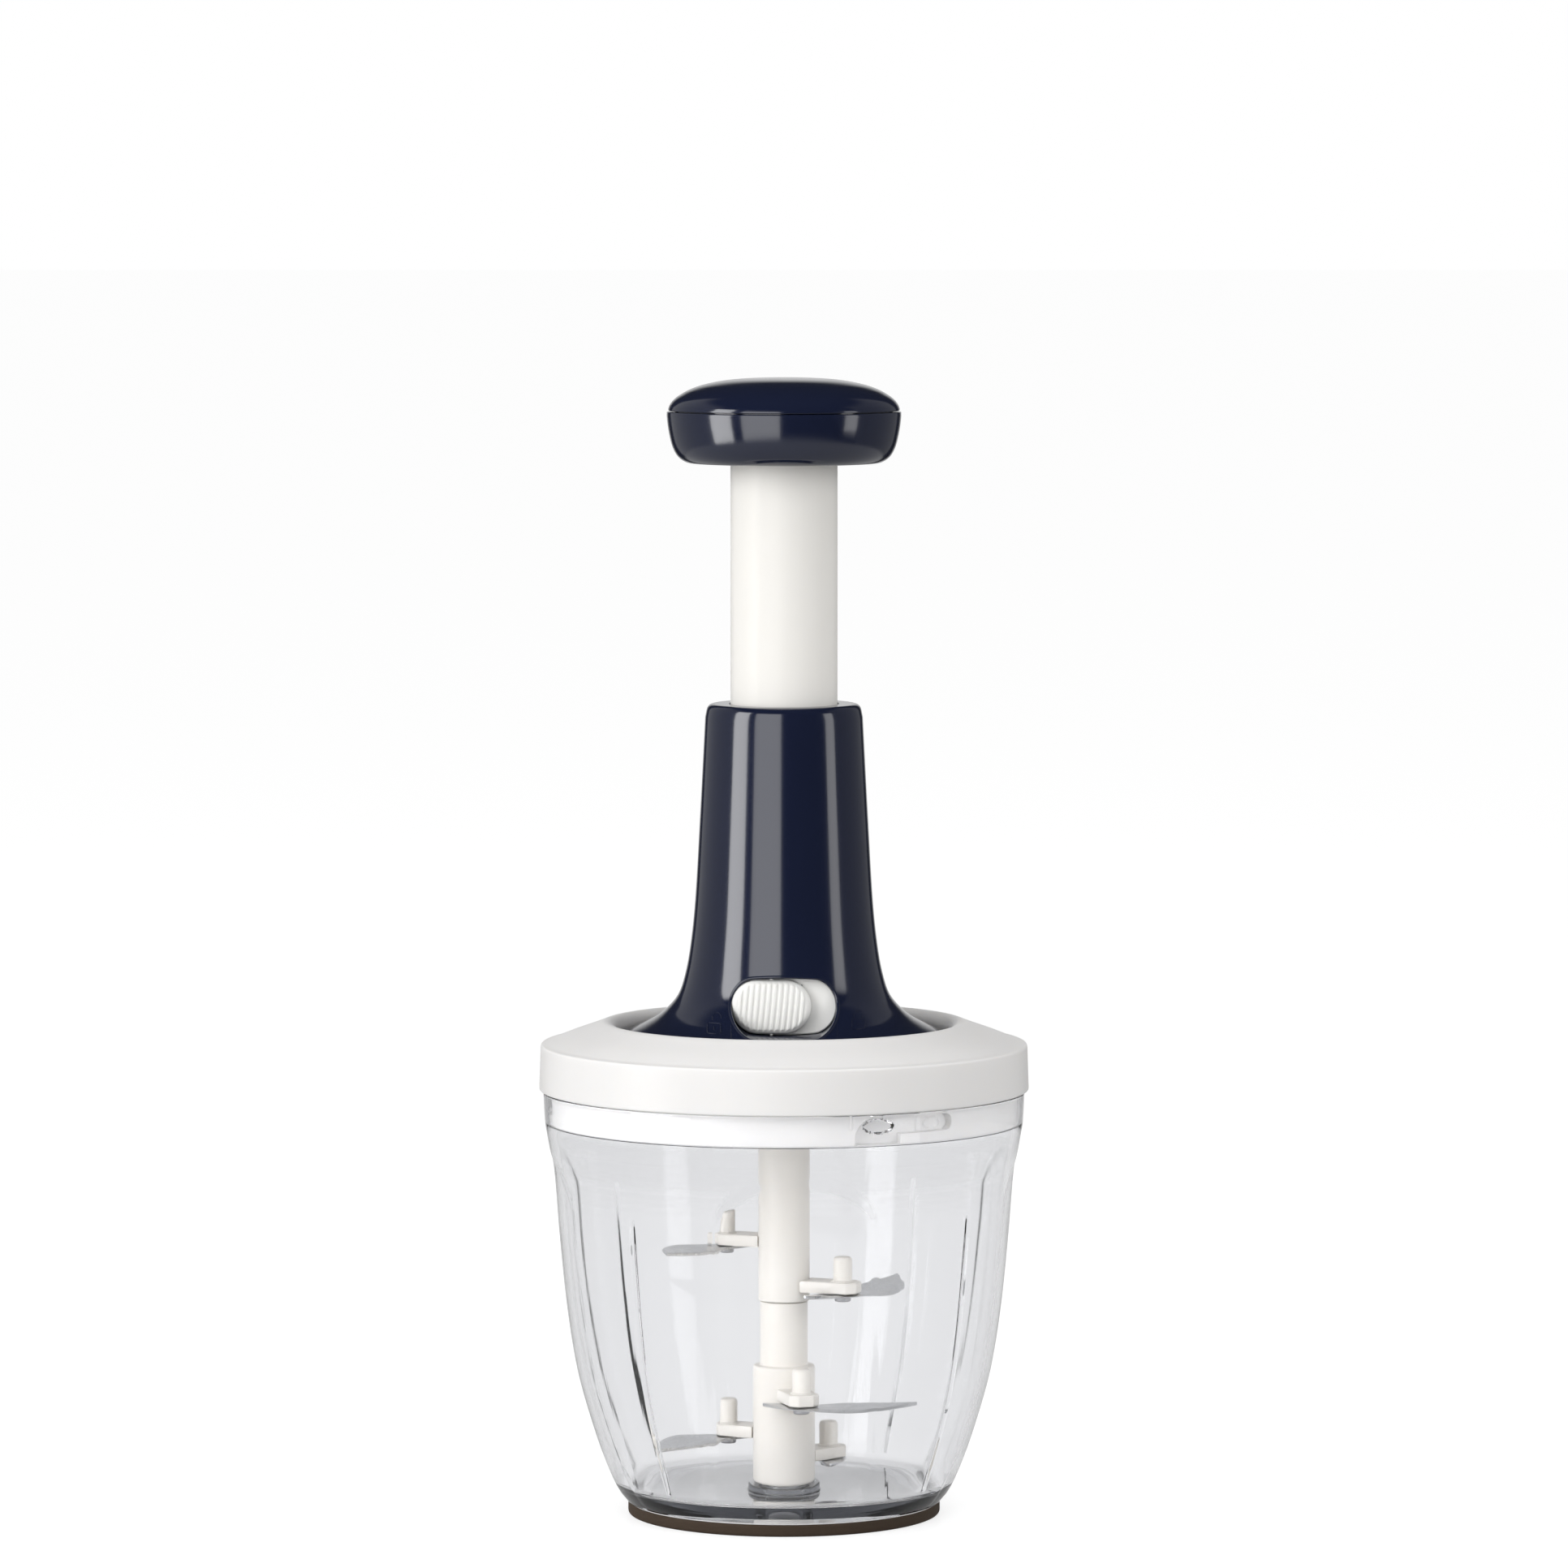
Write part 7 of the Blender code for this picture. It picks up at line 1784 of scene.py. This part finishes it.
# Studio
@dataclass
class Studio:
    """Pale floor, soft lights and the camera of the photograph."""

    distance: float = 2.570
    eye_height: float = 0.431
    aim_height: float = 0.2337
    frame_width: float = 0.499
    sensor: float = 36.0
    soft_light: float = 0.60
    room_dark: float = 0.02
    backdrop: float = 0.75
    backdrop_edge: Pair = (0.93, 0.998)
    side_soft: float = 2.0
    foot_soft: float = 0.1
    head_soft: float = 0.15
    floor_half: float = 30.0
    floor_grey: float = 0.40
    floor_glow: float = 0.74
    floor_sheen: float = 0.05
    floor_gloss: float = 0.12
    sheen_fade: Pair = (0.25, 0.6)
    floor_fade: Pair = (0.7, 0.9)
    room_panels: tuple[tuple[float, ...], ...] = (
        (-79.0, -53.0, -0.50, 0.60, 7.0), (-44.0, -3.0, -0.50, 0.55, 3.2),
        (62.0, 79.0, -0.35, 0.45, 3.0), (-150.0, -79.0, -0.6, 0.8, 0.36),
        (79.0, 150.0, -0.6, 0.8, 0.20))
    light_aim: tuple[float, float, float] = (0, 0, 0.2)
    softboxes: tuple[tuple[Any, ...], ...] = (
        ("left_box", (-1.5, -1.1, 0.6), (0.6, 1.6), 24),
        ("right_box", (1.6, -0.9, 0.6), (0.5, 1.6), 12),
        ("front_box", (-1.3, -2.1, 0.5), (1.8, 1.4), 9),
        ("top_box", (0, -0.1, 2.0), (1.4, 1.4), 6))

    def camera(self) -> None:
        """Level with the photograph: a long lens that looks down by a few degrees."""
        data = bpy.data.cameras.new("photo_camera")
        data.sensor_width = self.sensor
        drop = self.eye_height - self.aim_height
        reach = math.hypot(self.distance, drop)
        data.lens = self.sensor * reach / self.frame_width
        data.clip_start, data.clip_end = 0.05, 50
        item = new_object("photo_camera", data)
        aim_from(item, (0, -self.distance, self.eye_height), Vector((0, self.distance, -drop)))
        bpy.context.scene.camera = item

    def panel(self, desk: Desk, bearing: Signal, height: Signal,
              panel: tuple[float, ...]) -> Signal:
        """Brightness of one reflected panel: a product of smooth steps at its four sides.

        Args:
            desk: Node tree of the world.
            bearing: Bearing of the reflected ray, in radians.
            height: Height of its direction, from -1 to 1.
            panel: Left and right bearing in degrees, low and high side, brightness.

        Returns:
            The panel's share of the room's brightness.
        """
        left, right, low, high, level = panel
        left, right, soft = np.radians([left, right, self.side_soft]).tolist()
        across = (desk.edge(bearing, left, left + soft)
                  * (1 - desk.edge(bearing, right - soft, right)))
        upright = (desk.edge(height, low, low + self.foot_soft)
                   * (1 - desk.edge(height, high - self.head_soft, high)))
        return across * upright * level

    def world(self) -> None:
        """White behind the object, and a darker room with soft panels in its reflections."""
        desk = Desk(bpy.data.worlds.new("studio"))
        path = desk.node("ShaderNodeLightPath")
        place = desk.node("ShaderNodeTexCoord")
        split = desk.node("ShaderNodeSeparateXYZ", {0: place})
        x, y, height = split, split.output(1), split.output(2)
        bearing = x.math("ARCTAN2", x, y * -1)
        strength = desk.edge(y, *self.backdrop_edge) * self.backdrop + self.room_dark
        for panel in self.room_panels:
            strength = strength + self.panel(desk, bearing, height, panel)
        white = (1, 1, 1, 1)
        shades = {"soft": self.soft_light, "room": strength, "seen": 1.0}
        made = {name: desk.node("ShaderNodeBackground", {"Color": white, "Strength": level})
                for name, level in shades.items()}
        mixed = made["soft"]
        for flag, name in (("Is Glossy Ray", "room"), ("Is Transmission Ray", "seen"),
                           ("Is Camera Ray", "seen")):
            mixed = desk.mix(path.output(flag), mixed, made[name])
        desk.node("ShaderNodeOutputWorld", {"Surface": mixed})
        bpy.context.scene.world = desk.owner

    def floor(self) -> None:
        """Pale floor that keeps the shadow and reads as white to the camera."""
        desk = Desk(bpy.data.materials.new("studio_floor"))
        path = desk.node("ShaderNodeLightPath")
        seen = path.output("Is Camera Ray").highest(path.output("Is Glossy Ray") * 0.3)
        seen = seen.highest(path.output("Is Transmission Ray"))
        white = (1, 1, 1, 1)
        matt = desk.node("ShaderNodeBsdfDiffuse", {"Color": (*[self.floor_grey] * 3, 1)})
        glow = desk.node("ShaderNodeEmission", {"Color": white,
                                                "Strength": seen * self.floor_glow})
        sheen = desk.node("ShaderNodeBsdfGlossy", {"Color": white, "Roughness": self.floor_gloss})
        lit = desk.node("ShaderNodeAddShader", {0: matt, 1: glow})
        place = desk.node("ShaderNodeTexCoord").output("Object")
        length = desk.node("ShaderNodeVectorMath", {0: place}, operation="LENGTH")
        distance = length.output("Value")
        near = self.floor_sheen * (1 - desk.edge(distance, *self.sheen_fade))
        mixed = desk.mix(near, lit, sheen)
        far = desk.edge(distance, *self.floor_fade) * path.output("Is Glossy Ray")
        clear = desk.node("ShaderNodeBsdfTransparent")
        mixed = desk.mix(far, mixed, clear)
        size = self.floor_half
        corners = np.array([[(-size, -size, 0), (-size, size, 0)],
                            [(size, -size, 0), (size, size, 0)]], float)
        item = new_object("floor", mesh_of("floor", [Sheet(corners, False)]))
        item.data.materials.append(desk.surface(mixed))

    def light(self, name: str, place: Sequence[float], size: Pair, power: float) -> None:
        """Add one rectangular softbox that faces the object."""
        data = bpy.data.lights.new(name, "AREA")
        data.shape, data.size, data.size_y = "RECTANGLE", *size
        data.energy = power
        item = new_object(name, data)
        aim_from(item, place, Vector(self.light_aim) - Vector(place))
        item.visible_glossy = False

    def make(self) -> None:
        """Set up the studio."""
        self.camera()
        self.world()
        self.floor()
        for box in self.softboxes:
            self.light(*box)
        bpy.context.scene.view_settings.view_transform = "Standard"


@dataclass
class InnerPieces:
    """Finishes for the nodes that stay as they are."""

    shop: Shop

    def make(self) -> None:
        """Dress every node that nothing replaces, by its slot in the record."""
        slots = {entry["node"]: entry["material_slot"]
                 for entry in self.shop.frame["record"]["subparts"]}
        for name, node in self.shop.frame["nodes"].items():
            if not node.hide_render:
                self.shop.finishes.paint(node, self.shop.finishes.by_slot(slots[name]))


def corners(box: tuple[Vector, Vector]) -> list[list[float]]:
    """A box as plain lists."""
    return [[round(value, 6) for value in corner] for corner in box]


def main() -> None:
    """Build the looks in order."""
    logging.basicConfig(level=logging.INFO, format="%(message)s")
    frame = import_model()
    shop = Shop(frame)
    Studio().make()
    for part in (Bowl(shop), BladeAssembly(shop), Lid(shop), Pump(shop), Lock(shop),
                 Plunger(shop), ReturnSpring(shop), InnerPieces(shop)):
        part.make()


if __name__ == "__main__":
    main()
